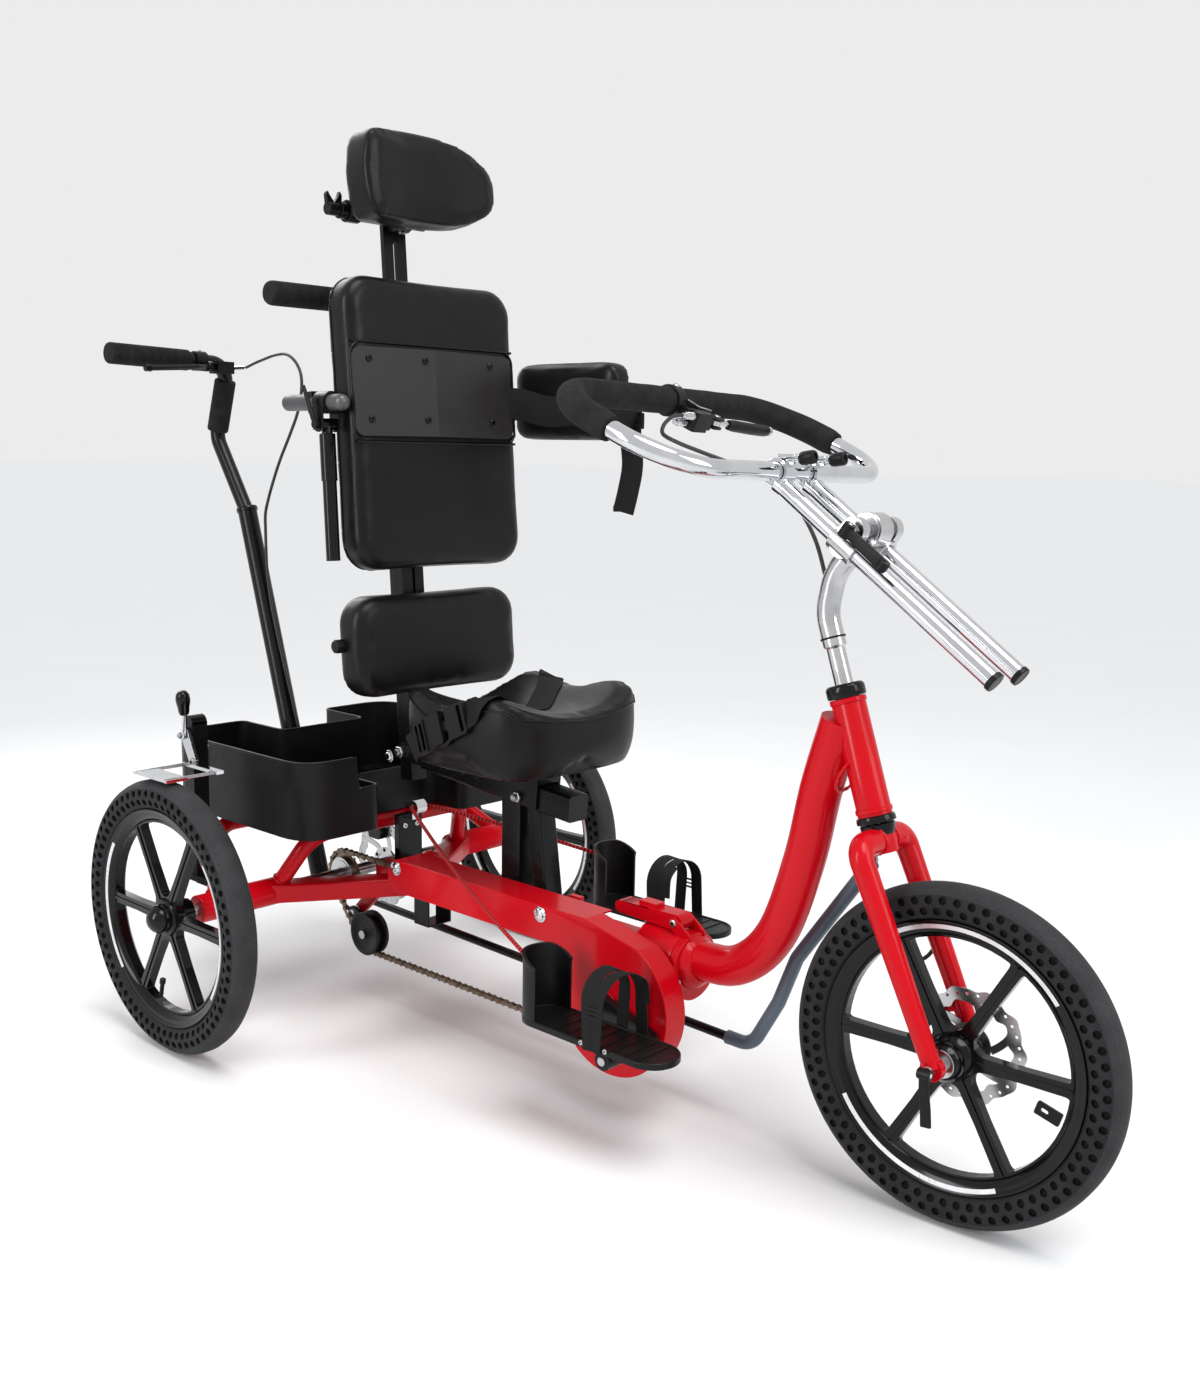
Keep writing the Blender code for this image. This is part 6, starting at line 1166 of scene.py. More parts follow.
def chain_guard():
    """The cover's smooth face with a rolled edge, its open shell behind, and two domed bolts."""
    outline = guard_outline(0.0006)
    face_y, wall = GUARD_Y + 0.0015, 0.0024
    face = side_plate([outline, circle(BRACKET.x, BRACKET.z, 0.0135, 48)], wall, face_y)

    def inward(u, v):
        if u > BRACKET.x - 0.045:
            return Vector((BRACKET.x - u, 0, BRACKET.z - v)).normalized() * wall
        return Vector((0, 0, -wall))

    shell = []
    for (u, v), (u_after, v_after) in zip(outline, [*outline[1:], outline[0]]):
        if v < BRACKET.z - 0.058 or (u < BRACKET.x - 0.05 and v < GUARD_TOP - 0.012) or u < GUARD_TAIL + 0.008:
            continue
        deep = -0.0480 if BRACKET.x - 0.052 < u < 0.76 and v > 0.1 else GUARD_INNER
        a, b = Vector((u, face_y, v)), Vector((u_after, face_y, v_after))
        c, d = Vector((u, deep, v)), Vector((u_after, deep, v_after))
        beside, beside_after = inward(u, v), inward(u_after, v_after)
        corners = [a, b, b + beside_after, a + beside, c, d, d + beside_after, c + beside]
        shell.append(shape(corners, [[0, 1, 2, 3], [4, 7, 6, 5], [0, 4, 5, 1], [3, 2, 6, 7], [0, 3, 7, 4],
                                     [1, 5, 6, 2]]))
    rolled = pipe([(u, GUARD_Y + 0.0020, v) for u, v in guard_outline(0.0018)], 0.0019, 10, closed=True)
    lip = ring(0.0128, 0.0152, 0.0016, (BRACKET.x, face_y - 0.0004, BRACKET.z))
    bolts, bosses = [], []
    angles = [math.radians(15 * k) for k in range(6)]
    profile = [(0.0084 * math.cos(angle), 0.0044 * math.sin(angle)) for angle in angles]
    for x in GUARD_BOLTS:
        bosses.append(across(0.0060, x, GUARD_BOLT_Z, face_y, -BEAM_HALF + 0.0004))
        bolts.append(ring(0.003, 0.0110, 0.0007, (x, GUARD_Y - 0.0006, GUARD_BOLT_Z)))
        bolts.append(turned([*profile, (0.0002, 0.0044)], (x, GUARD_Y - 0.0008, GUARD_BOLT_Z), (0, -1, 0), 36))
    piece("chain_guard", "frame", "red paint",
          [(RED, [face, rolled, lip, *shell]), (STEEL, bosses), (CHROME, bolts)],
          ["chain_guard"], smooth=50)


# Frame

HOOP_TOP = 0.290
HOOP_RADIUS = 0.0125
BEAM_LOW = 0.178
BEAM_TOP = 0.235
COUPLING_X = 0.6655
COUPLING_Z = 0.207
COLUMN_RADIUS = 0.016
REAR_CALLIPER = Vector((-0.012, REAR_ROTOR_Y + 0.0005, WHEEL_RADIUS + 0.062))
TENSIONER_PIVOT = Vector((-0.002, -0.036, 0.131))
TAB_SIDE = -BEAM_HALF - 0.004


def tube_bar(start, end, width, depth, wall_corner=0.004):
    """A rectangular tube with rounded corners."""
    matrix, length = along(start, end)
    outline = rounded((-width / 2, width / 2), (-depth / 2, depth / 2), wall_corner, 6)
    return moved(matrix, plate([outline], length, Matrix.Translation((0, 0, length / 2))))


def hoop_paths():
    paths = []
    for x_foot, y_foot, x_top, y_top in ((0.0, 0.185, 0.050, 0.150), (0.0, 0.290, -0.100, 0.215)):
        feet = [Vector((x_foot, side * y_foot, WHEEL_RADIUS)) for side in (1, -1)]
        tops = [Vector((x_top, side * y_top, HOOP_TOP)) for side in (1, -1)]
        paths.append(bent_path([feet[0], tops[0], tops[1], feet[1]], 0.045, 5))
    return paths


def frame_tubes():
    beam_z = (BEAM_LOW + BEAM_TOP) / 2
    beam = tube_bar((0.0504, 0, beam_z), (COUPLING_X - 0.056, 0, beam_z), BEAM_TOP - BEAM_LOW, 2 * BEAM_HALF,
                    0.005)
    collar = turned([(0.0428, 0.0), (0.0448, 0.002), (0.0450, 0.006), (0.0450, 0.061), (0.0440, 0.0645)],
                    (COUPLING_X - 0.065, 0, COUPLING_Z), (1, 0, 0), 72)
    shapes = [beam, collar, across(0.0218, BRACKET.x, BRACKET.z, -0.0338, 0.0338, 48)]
    shapes += [pipe(path, HOOP_RADIUS, 28) for path in hoop_paths()]
    welds = [weld((COUPLING_X - 0.0650, 0, COUPLING_Z), (1, 0, 0), 0.0435, 0.0022)]
    for side in (1, -1):
        shapes.append(across(0.0208, 0, WHEEL_RADIUS, side * 0.170, side * 0.3198, 48))
        shapes.append(tube_bar((0.0, side * 0.192, WHEEL_RADIUS), (0.120, side * 0.010, WHEEL_RADIUS), 0.039,
                               0.029, 0.004))
        welds.append(weld((0, side * 0.1708, WHEEL_RADIUS), (0, 1, 0), 0.0200, 0.0016))
        for path in hoop_paths():
            foot = path[0] if side > 0 else path[-1]
            toward = path[1] if side > 0 else path[-2]
            direction = (toward - foot).normalized()
            welds.append(weld(foot + direction * 0.0215, direction, HOOP_RADIUS + 0.0004, 0.0018))
    tab_start = REAR_CALLIPER + Vector((0.0178, 0.0075, 0.008))
    shapes.append(bar(tab_start, (0.046, tab_start.y, HOOP_TOP - 0.004), 0.010, 0.014))
    shapes.append(rod(COLUMN_RADIUS + 0.0058, column(0, 0, 0.0962), column(0, 0, 0.1598), 48))
    at = column(0, 0, 0.128)
    gusset = [(-0.095, HOOP_TOP - 0.010), (-0.095, HOOP_TOP + 0.008), (at.x + 0.012, at.z + 0.020),
              (at.x + 0.012, at.z - 0.026)]
    shapes.append(side_plate([gusset], 0.010, 0.0))
    for x in GUARD_BOLTS:
        shapes.append(box((x - 0.0105, x + 0.0105), (-BEAM_HALF + 0.001, -0.0105), (BEAM_TOP - 0.01, 0.2615)))
    px, pz = TENSIONER_PIVOT.x, TENSIONER_PIVOT.z
    shapes.append(side_plate([belt([(px, pz, 0.010), (0.064, 0.195, 0.012)], 14)], 0.006, TAB_SIDE + 0.003))
    welds.append(weld((0.6, 0.0, 0.179), (0, 0, 1), 0.0195, 0.0018))
    piece("rear_frame", "frame", "red paint",
          [(RED, [*shapes, *welds]), (STEEL, [across(0.005, px, pz, CHAIN_Y + 0.0130, TAB_SIDE + 0.002)])],
          ["rear_frame"], edge=0.0009)


DOWN_TUBE = ((COUPLING_X + 0.004, 0, 0.2175), (0.745, 0, 0.227), (0.803, 0, 0.282), (0.840, 0, 0.384),
             (0.861, 0, 0.480), (0.886, 0, 0.565))
LATCH_PIVOT = Vector((0.651, 0.0, COUPLING_Z + 0.045 + 0.0005 + 0.011))
LATCH_HALF = 0.0125


def front_frame():
    path = smooth_path(DOWN_TUBE, 0.012)
    tube = pipe(path, 0.0258, 48)
    head = [turned([(0.0194, 0.0), (0.0204, 0.0008), (0.0204, 0.1475), (0.0196, 0.1488)], HEAD_LOW, HEAD_AXIS,
                   56),
            ring(0.0170, 0.0218, 0.0030, steer(0, 0, HEAD_LENGTH - 0.0036), HEAD_AXIS, 56),
            ring(0.0170, 0.0218, 0.0030, steer(0, 0, 0.0150), HEAD_AXIS, 56)]
    cup = turned([(0.0206, 0.0), (0.0232, 0.0006), (0.0234, 0.0036), (0.0226, 0.0078), (0.0206, 0.0090)],
                 HEAD_LOW, HEAD_AXIS, 56)
    start = Vector((COUPLING_X + 0.0003, 0, COUPLING_Z))
    flange = turned([(0.0440, 0.0), (0.0452, 0.0012), (0.0452, 0.0105), (0.0440, 0.0118)], start, (1, 0, 0), 72)
    seat_ring = turned([(0.036, 0.0), (0.034, 0.006), (0.0272, 0.0125)], start + Vector((0.0115, 0, 0.0075)),
                       (1, 0, 0.1), 56)
    shapes = [tube, *head, flange, seat_ring]
    bolts = []
    for side in (1, -1):
        outline = belt([(LATCH_PIVOT.x, LATCH_PIVOT.z, 0.008), (COUPLING_X + 0.006, 0.247, 0.009)], 12)
        shapes.append(side_plate([outline], 0.004, side * (LATCH_HALF + 0.0005 + 0.002)))
        bolts += screw((LATCH_PIVOT.x, side * (LATCH_HALF + 0.0045), LATCH_PIVOT.z), (0, side, 0), 0.0055,
                       0.0020)
        bolts += screw((start.x + 0.0121, side * 0.038, COUPLING_Z - 0.012), (1, 0, 0), 0.0048, 0.0026)
    bolts.append(across(0.0038, LATCH_PIVOT.x, LATCH_PIVOT.z, -0.0185, 0.0185, 20))
    welds = [weld(steer(-0.0190, 0, 0.062), (0.9, 0, -0.45), 0.0262, 0.0020),
             weld(start + Vector((0.0240, 0, 0.0105)), (1, 0, 0.12), 0.0262, 0.0018)]
    piece("front_frame", "frame", "red paint", [(RED, [*shapes, *welds]), (GLOSSY, [cup]), (STEEL, bolts)],
          ["front_frame"], edge=0.0008)
    outline = belt([(LATCH_PIVOT.x, LATCH_PIVOT.z, 0.011), (LATCH_PIVOT.x - 0.098, LATCH_PIVOT.z, 0.0085)], 16)
    bore = circle(LATCH_PIVOT.x, LATCH_PIVOT.z, 0.0046, 24)
    lever = side_plate([outline, bore], 2 * LATCH_HALF - 0.0004, 0.0)
    catch = box((0.585, 0.615), (-0.009, 0.009), (LATCH_PIVOT.z + 0.006, LATCH_PIVOT.z + 0.0158))
    # Black strips across the catch stand for its grip grooves: painted shade.
    groove_shades = [box((x, x + 0.0018), (-0.0118, 0.0118), (LATCH_PIVOT.z + 0.0079, LATCH_PIVOT.z + 0.0093))
               for x in (0.557, 0.562, 0.567, 0.572)]
    piece("latch_lever", "latch_lever", "red paint", [(RED, [lever, catch]), (BLACK, groove_shades)],
          ["latch_lever"], edge=0.0022)


DROPOUT = HEAD.inverted() @ FRONT_CENTRE
FORK_HALF = 0.054
FRONT_TAB = Vector((-0.006, 0, -0.226))
FRONT_CALLIPER = steer(FRONT_TAB.x - 0.0157, 0.0415, FRONT_TAB.z)


def fork():
    """Legs that sweep out of the crown and down to the dropouts, with the axle, its nut and the headset."""
    crown_z = -0.0003 - 0.0165 - 0.004
    crown = rod(0.0176, steer(0, 0, crown_z - 0.0150), steer(0, 0, crown_z + 0.0190), 48)
    race = turned([(0.0172, -0.016), (0.0206, -0.006), (0.0208, -0.002), (0.0196, -0.0006)], HEAD_LOW,
                  HEAD_AXIS, 56)
    shapes, steel, black = [crown], [], [race]
    for side in (1, -1):
        tip = steer(DROPOUT.x, side * FORK_HALF, DROPOUT.z)
        knee = steer(-0.0004, side * (FORK_HALF + 0.0004), crown_z + 0.0006)
        path = bent_path([steer(0, side * 0.004, crown_z + 0.0010), steer(0, side * 0.014, crown_z + 0.0010),
                          knee, tip], 0.024, 8)
        shapes.append(sweep(divided_path(path, 0.012), lambda share: disc(0.0156 - 0.0046 * share**1.3, 40)))
        y = side * FORK_HALF
        shapes.append(across(0.0139, WHEELBASE, WHEEL_RADIUS, y - 0.0051, y + 0.0051, 40))
        shapes.append(weld(steer(0, side * 0.0150, crown_z + 0.0010), SIDEWAYS, 0.0156, 0.0016))
    reach = FORK_HALF + 0.011
    steel.append(across(0.006, WHEELBASE, WHEEL_RADIUS, -reach - 0.0018, reach + 0.0038, 28))
    steel.append(nut((WHEELBASE, reach - 0.0040, WHEEL_RADIUS), (0, 1, 0), 0.0094, 0.0068))
    steel.append(across(0.0098, WHEELBASE, WHEEL_RADIUS, -FORK_HALF, -0.0364, 32))
    steel.append(across(0.0098, WHEELBASE, WHEEL_RADIUS, 0.0407, FORK_HALF, 32))
    outline = belt([(0.004, 0.030, 0.013), (-0.048, 0.050, 0.0085)], 16)
    shapes.append(moved(HEAD, plate([outline], 0.006, Matrix.Translation((0, 0, -0.027)))))
    shapes.append(bar(steer(0.016, 0.0505, FRONT_TAB.z), steer(FRONT_TAB.x + 0.0015, 0.0505, FRONT_TAB.z),
                      0.010, 0.020))
    black.append(rod(0.0141, steer(0, 0, 0.135), steer(0, 0, HEAD_LENGTH + 0.0138), 40))
    piece("fork", "fork", "red paint", [(RED, shapes), (GLOSSY, black), (STEEL, steel)], ["fork"],
          matrix=TURNED, edge=0.0008)
    half = 0.008
    profile = [(0.0198, half), (0.0216, half - 0.0012), (0.0232, half - 0.0042), (0.0232, -half + 0.003),
               (0.0222, -half), (0.0147, -half), (0.0147, half)]
    nut_top = turned(profile, steer(0, 0, HEAD_LENGTH + GAP + half), HEAD_AXIS, 56, closed=True)
    groove = ring(0.0200, 0.0234, 0.0006, steer(0, 0, HEAD_LENGTH + GAP + 0.0072), HEAD_AXIS, 56)
    piece("headset_top", "fork", "brushed steel", [(GLOSSY, [nut_top]), (BLACK, [groove])], ["headset_top"],
          matrix=TURNED)


SEAT_BEAM_FRONT = Vector((0.462, 0.0, 0.381))
SEAT_BEAM_BACK = Vector((0.150, 0.0, 0.408))
SEAT_BOTTOM = 0.431
POST_HALF = 0.015
SWIVEL_X = 0.367


def seat_direction():
    return (SEAT_BEAM_FRONT - SEAT_BEAM_BACK).normalized()


def on_seat_beam(x, rise):
    direction = seat_direction()
    start = SEAT_BEAM_BACK + direction * ((x - SEAT_BEAM_BACK.x) / direction.x)
    return start + Vector((-direction.z, 0.0, direction.x)) * rise


def seat_support():
    shapes = [
        tube_bar((0.345, 0, BEAM_TOP + 0.0006), (0.345, 0, 0.395), 0.038, 0.038, 0.004),
        tube_bar((0.4075, 0, BEAM_TOP + 0.0008), (0.386, 0, 0.390), 0.034, 0.0236, 0.003),
        tube_bar(SEAT_BEAM_BACK, SEAT_BEAM_FRONT, 0.038, 0.038, 0.005),
    ]
    direction = seat_direction()
    front = SEAT_BEAM_FRONT
    plug = tube_bar(front - direction * 0.004, front - direction * 0.0004, 0.0372, 0.0372, 0.005)
    cap = tube_bar(front - direction * 0.003, front - direction * 0.0001, 0.030, 0.030, 0.004)
    inner = POST_HALF + 0.0005
    outline = belt([(BACK_PIVOT.x, BACK_PIVOT.z, 0.014), (0.178, SEAT_BEAM_BACK.z, 0.014)], 16)
    for side in (1, -1):
        shapes.append(side_plate([outline], 0.0055, side * (inner + 0.00275)))
    outside = inner + 0.0055
    steel = [across(0.005, BACK_PIVOT.x, BACK_PIVOT.z, -outside - 0.0118, outside + 0.0028, 28),
             nut((BACK_PIVOT.x, -outside, BACK_PIVOT.z), (0, -1, 0), 0.0094, 0.0088)]
    steel += screw((BACK_PIVOT.x, outside, BACK_PIVOT.z), (0, 1, 0), 0.0080, 0.0028)
    # Four thin dark discs on the beam's right side stand for its adjustment holes: painted shade.
    holes = []
    for k in range(4):
        at = on_seat_beam(0.215 + 0.030 * k, 0.0)
        holes.append(across(0.0042, at.x, at.z, -0.0193, -0.0188, 24))
    bead = [(0.345 + u, v, BEAM_TOP + 0.0032)
            for u, v in rounded((-0.0195, 0.0195), (-0.0195, 0.0195), 0.004, 5)]
    shapes += [plug, pipe(bead, 0.0020, 8, closed=True)]
    piece("seat_support", "frame", "black paint",
          [(BLACK, shapes), (STEEL, steel), (HOLE_SHADE, holes), (MOULDED, [cap])],
          ["seat_support"], edge=0.0008)


def seat_swivel():
    """The saddle over the seat beam, the turntable on it and the clamp's bolt, as (shapes, steel)."""
    direction = seat_direction()
    centre = on_seat_beam(SWIVEL_X, 0.0)
    start, end = centre - direction * 0.0358, centre + direction * 0.0358
    lift = Vector((-direction.z, 0.0, direction.x))
    shapes = [bar(start + lift * 0.0253, end + lift * 0.0253, 0.0480, 0.0110)]
    for side in (1, -1):
        beside = Vector((0, side * 0.0218, 0))
        shapes.append(bar(start + beside + lift * 0.0045, end + beside + lift * 0.0045, 0.0043, 0.039))
    disc_profile = [(0.0345, 0), (0.0358, 0.0015), (0.0358, 0.0105), (0.0345, 0.0118)]
    shapes.append(turned(disc_profile, (SWIVEL_X, 0, SEAT_BOTTOM - GAP - 0.012), UP, 64))
    bolt_z = centre.z - 0.004
    steel = [across(0.0048, centre.x, bolt_z, -0.0358, -0.0235, 24),
             nut((centre.x, -0.0240, bolt_z), (0, -1, 0), 0.0085, 0.0060)]
    return shapes, steel


BASKET_X = (-0.230, 0.130)
BASKET_HALF = 0.220
NOTCH_HALF = 0.080
FRONT_NOTCH_X = 0.055
REAR_NOTCH_X = -0.118
BASKET_LOW = HOOP_TOP + HOOP_RADIUS + 0.0005
BASKET_RIM = 0.420
BASKET_DIP = 0.3705
BASKET_WALL = 0.0030


def basket_outline(inset):
    """The tub's outline seen from above, with wide outer corners and a notch at each end."""
    x0, x1 = BASKET_X[0] + inset, BASKET_X[1] - inset
    half, notch = BASKET_HALF - inset, NOTCH_HALF + inset
    front, rear = FRONT_NOTCH_X - inset, REAR_NOTCH_X + inset
    wide, small = 0.058 - inset, 0.018
    corners = [(x1, half, wide), (x0, half, wide), (x0, notch, small), (rear, notch, small),
               (rear, -notch, small), (x0, -notch, small), (x0, -half, wide), (x1, -half, wide),
               (x1, -notch, small), (front, -notch, small), (front, notch, small), (x1, notch, small)]
    points = []
    for index, (x, y, radius) in enumerate(corners):
        here = Vector((x, y))
        before, after = Vector(corners[index - 1][:2]), Vector(corners[(index + 1) % len(corners)][:2])
        reach = min(radius, 0.48 * (before - here).length, 0.48 * (after - here).length)
        begin, finish = here + (before - here).normalized() * reach, here + (after - here).normalized() * reach
        for step in range(9):
            t = step / 8
            points.append(tuple(begin * (1 - t) ** 2 + here * 2 * t * (1 - t) + finish * t * t))
    return points


def basket_height(x, y):
    """The rim's height: it dips in front between the notch's corners."""
    return BASKET_DIP if x > 0.0 and abs(y) < NOTCH_HALF + 0.045 else BASKET_RIM - 0.0012


def basket():
    """Thin walls with a rounded lip, and a ribbed floor held by four screws."""
    dense = divided(basket_outline(0.0004), 0.006)
    count = len(dense)
    normals = []
    for index in range(count):
        (u0, v0), (u1, v1) = dense[index - 1], dense[(index + 1) % count]
        edge = Vector((u1 - u0, v1 - v0)).normalized()
        normals.append((-edge.y, edge.x))
    levels = [0.0, 0.12, 0.3, 0.5, 0.7, 0.88, 1.0]
    low, last = BASKET_LOW + 0.001, len(levels) - 1
    points, faces = [], []
    for inward in (0.0, BASKET_WALL):
        for (u, v), (nx, ny) in zip(dense, normals):
            top = basket_height(u, v)
            points += [(u + nx * inward, v + ny * inward, low + (top - BASKET_LOW - 0.001) * level)
                       for level in levels]
    size = count * len(levels)
    for index in range(count):
        a, b = index * len(levels), (index + 1) % count * len(levels)
        for row in range(last):
            faces.append([a + row, b + row, b + row + 1, a + row + 1])
            faces.append([size + a + row, size + a + row + 1, size + b + row + 1, size + b + row])
        faces.append([a + last, b + last, size + b + last, size + a + last])
        faces.append([b, a, size + a, size + b])
    rim = [(u + nx * BASKET_WALL / 2, v + ny * BASKET_WALL / 2, basket_height(u, v))
           for (u, v), (nx, ny) in zip(dense, normals)]
    shapes = [shape(points, faces), pipe(rim, 0.0021, 10, closed=True)]
    shapes.append(plate([basket_outline(0.0022)], 0.0034, Matrix.Translation((0, 0, BASKET_LOW + 0.0022))))
    for y in (-0.19, -0.165, -0.14, -0.115, 0.115, 0.14, 0.165, 0.19):
        rib = box((BASKET_X[0] + 0.03, BASKET_X[1] - 0.03), (y - 0.002, y + 0.002),
                  (BASKET_LOW + 0.003, BASKET_LOW + 0.0056))
        shapes.append(rib)
    clips = []
    for y in (-0.135, 0.135):
        for x in (0.046, -0.098):
            clips += screw((x, y, BASKET_LOW + 0.0040), (0, 0, 1), 0.0065, 0.0030)
    piece("basket", "frame", "black plastic", [(MOULDED, shapes), (STEEL, clips)], ["basket"], smooth=45)


BRAKE_POST = Vector((-0.070, -0.270, 0.0))
BRAKE_POST_TOP = 0.475
PARK_PIVOT = Vector((BRAKE_POST.x, BRAKE_POST.y - 0.0135, 0.446))


def brake_post():
    """The post with its round top, its clamp on the axle tube, a small plate, and the parking brake's pivot."""
    x, y = BRAKE_POST.x, BRAKE_POST.y
    half = 0.0125
    outline = [(-half, 0.226), (half, 0.226), (half, BRAKE_POST_TOP - 0.010),
               *arc(0, BRAKE_POST_TOP - 0.0130, half, 0, 180, 18), (-half, BRAKE_POST_TOP - 0.010)]
    shapes = [
        plate([outline], 2 * half, Matrix.Translation((x, y, 0)) @ SIDE),
        box((x - half, x + half), (y - half, y + half), (0.2236, 0.229)),
        box((x - half, 0.0115), (y - 0.0135, y + 0.0095), (0.2215, 0.2315)),
        box((x + 0.002, 0.0005), (y - 0.008, y + 0.006), (0.2175, 0.2245)),
    ]
    small_plate = side_plate([rounded((x - 0.0135, x + 0.0135), (0.395, 0.428), 0.003, 4)], 0.0020,
                             y + (half + 0.0006))
    band = ring(0.0213, 0.0236, 0.0085, (0.0, y, WHEEL_RADIUS), steps=64)
    steel = []
    for screw_x, z in ((x - 0.005, 0.404), (x + 0.005, 0.419)):
        steel += screw((screw_x, y + half + 0.0016, z), (0, 1, 0), 0.0042, 0.0024)
    steel.append(across(0.004, PARK_PIVOT.x, PARK_PIVOT.z, PARK_PIVOT.y - 0.0158, y, 24))
    steel.append(nut((PARK_PIVOT.x, PARK_PIVOT.y - 0.0070, PARK_PIVOT.z), (0, -1, 0), 0.0070, 0.0050))
    piece("brake_post", "frame", "black paint",
          [(BLACK, shapes), (CHROME, [small_plate, band]), (STEEL, steel)],
          ["brake_post"], edge=0.0012)


def parking_brake_lever():
    x, z = PARK_PIVOT.x, PARK_PIVOT.z
    wall = 0.0045
    y = BRAKE_POST.y - 0.0138 - GAP - wall / 2
    link = belt([(x, z, 0.011), (-0.050, 0.4085, 0.009)], 18)
    bar_y = (y - wall / 2 + 0.001, -REAR_WHEEL_Y - 0.016)
    shapes = [side_plate([link, circle(x, z, 0.0048, 24)], wall, y)]
    shoe_y = sorted((bar_y[1], bar_y[1] + 0.034))
    shapes.append(box((-0.059, 0.030), shoe_y, (0.4036, 0.4076)))
    shapes.append(box((-0.059, 0.030), sorted((bar_y[0], bar_y[0] - 0.012)), (0.4036, 0.4084)))
    for rod_x in (-0.0530, 0.0240):
        shapes.append(across(0.0026, rod_x, 0.4060, bar_y[0] + 0.0010, bar_y[1] - 0.0010, 20))
    teeth = [box((-0.057 + 0.0065 * k, -0.0545 + 0.0065 * k), (shoe_y[0] + 0.001, shoe_y[1] - 0.001),
                 (0.4030, 0.4038)) for k in range(14)]
    stem = rod(0.0040, (x, y - 0.0020, z), (-0.0575, y - 0.0090, 0.4840), 24)
    matrix = along((-0.0588, y - 0.0085, 0.4795), (-0.0490, y - 0.0165, 0.5160))[0]
    profile = [(0.0040, 0.0), (0.0070, 0.0012), (0.0082, 0.006), (0.0086, 0.012), (0.0102, 0.020),
               (0.0106, 0.026), (0.0096, 0.0325), (0.0066, 0.0370), (0.0025, 0.0388)]
    knob = moved(matrix, turned(profile, axis=UP, steps=40))
    bolt = screw((-0.050, y - wall / 2, 0.4085), (0, -1, 0), 0.0058, 0.0030)
    piece("parking_brake_lever", "parking_brake_lever", "chrome",
          [(CHROME, [*shapes, stem, *teeth]), (STEEL, bolt), (GLOSSY, [knob])],
          ["parking_brake_lever"], edge=0.0007)


CORD_CLAMP = Vector((0.120, 0.0, 0.322))
CORD_RADIUS = 0.0028


def cord_post():
    """A strap round the beam with a flat post, and the elastic cord's chrome clamp on its top."""
    wall, half = 0.003, BEAM_HALF + GAP
    shapes = [box((0.0902, 0.1018), (-half - wall, half + wall), (BEAM_TOP + 2 * GAP, 0.3078))]
    for side in (1, -1):
        ys = sorted((side * (half + 0.0001), side * (half + wall)))
        shapes.append(box((0.0902, 0.1018), ys, (BEAM_TOP - 0.0125, BEAM_TOP + 0.02)))
        shapes.append(box((0.1365, 0.1705), ys, (0.1425, BEAM_TOP - 0.0045)))
        shapes.append(box((0.0885, 0.1400), ys, (0.2218, BEAM_TOP - 0.0045)))
    shapes.append(box((0.1365, 0.1705), (-half - wall, half + wall), (0.1425, 0.1450)))
    neck = box((0.0945, 0.1135), (-0.0058, 0.0058), (0.3000, 0.3240))
    eye = ring(CORD_RADIUS + 0.0010, 0.0108, 0.0098, CORD_CLAMP, steps=48)
    steel = []
    for side in (1, -1):
        steel += screw((0.1018, side * 0.012, 0.290), (1, 0, 0), 0.0045, 0.0026)
    for side in (1, -1):
        steel += screw((0.1535, side * (half + wall), 0.212), (0, side, 0), 0.0052, 0.0028)
    piece("cord_post", "frame", "black paint", [(BLACK, shapes), (CHROME, [neck, eye]), (STEEL, steel)],
          ["cord_post"], edge=0.0007)


def tensioner():
    px, pz = TENSIONER_PIVOT.x, TENSIONER_PIVOT.z
    arm_y = CHAIN_Y + 0.012 + 0.0006 + 0.003
    pin_end = CHAIN_Y - 0.012 - 0.005
    arm = side_plate([belt([(px, pz, 0.0099), (ROLLER.x, ROLLER.z, 0.0089)], 18), circle(px, pz, 0.0059, 24)],
                     0.0058, arm_y)
    coil, turns, turn_steps = [], 4, 24
    for step in range(turns * turn_steps + 1):
        angle = 2 * math.pi * step / turn_steps
        coil.append(Vector((px + 0.0078 * math.cos(angle),
                            arm_y + 0.0030 + 0.0068 * step / (turns * turn_steps),
                            pz + 0.0078 * math.sin(angle))))
    spring = pipe(coil, 0.0008, 8)
    pin = across(0.0042, ROLLER.x, ROLLER.z, arm_y, pin_end, 24)
    head = nut((ROLLER.x, CHAIN_Y - 0.0127, ROLLER.z), (0, -1, 0), 0.0074, 0.0042)
    piece("tensioner_arm", "tensioner_arm", "black paint", [(BLACK, [arm]), (STEEL, [spring, pin, head])],
          ["tensioner_arm"], edge=0.0006)


# Seating

PAD_REAR = 0.054
PAD_FRONT = 0.104
PAD_LOW = 0.280
PAD_TOP = 0.695
PAD_HALF = 0.160
RAIL_FRONT = POST_HALF + 0.0085
RAIL_HALF = 0.021
RAIL_TOP = 0.470
BRACKET_HALF = 0.0238
LATERAL_Z = 0.519
LATERAL_Y = -0.180
LEFT_PAD_Y = 0.200
HEAD_HUB = Vector((0.0375, 0.0, 0.790))
SEAT_CENTRE_X = 0.350
SEAT_LENGTH = 0.300
SEAT_WIDTH = 0.320


def caged(size, cuts, form, levels=2):
    """A smooth closed form from a cage whose points are moved by form(u, v, w), each from -1 to 1."""
    bm = bmesh.new()
    bmesh.ops.create_cube(bm, size=2.0)
    bmesh.ops.subdivide_edges(bm, edges=bm.edges, cuts=cuts, use_grid_fill=True)
    for vert in bm.verts:
        u, v, w = form(*vert.co)
        vert.co = (u * size[0] / 2, v * size[1] / 2, w * size[2] / 2)
    mesh = bpy.data.meshes.new("cage")
    bm.to_mesh(mesh)
    bm.free()
    made = bpy.data.objects.new("cage", mesh)
    step = made.modifiers.new("Subdivision", "SUBSURF")
    step.levels = step.render_levels = levels
    bpy.context.scene.collection.objects.link(made)
    return taken(made)


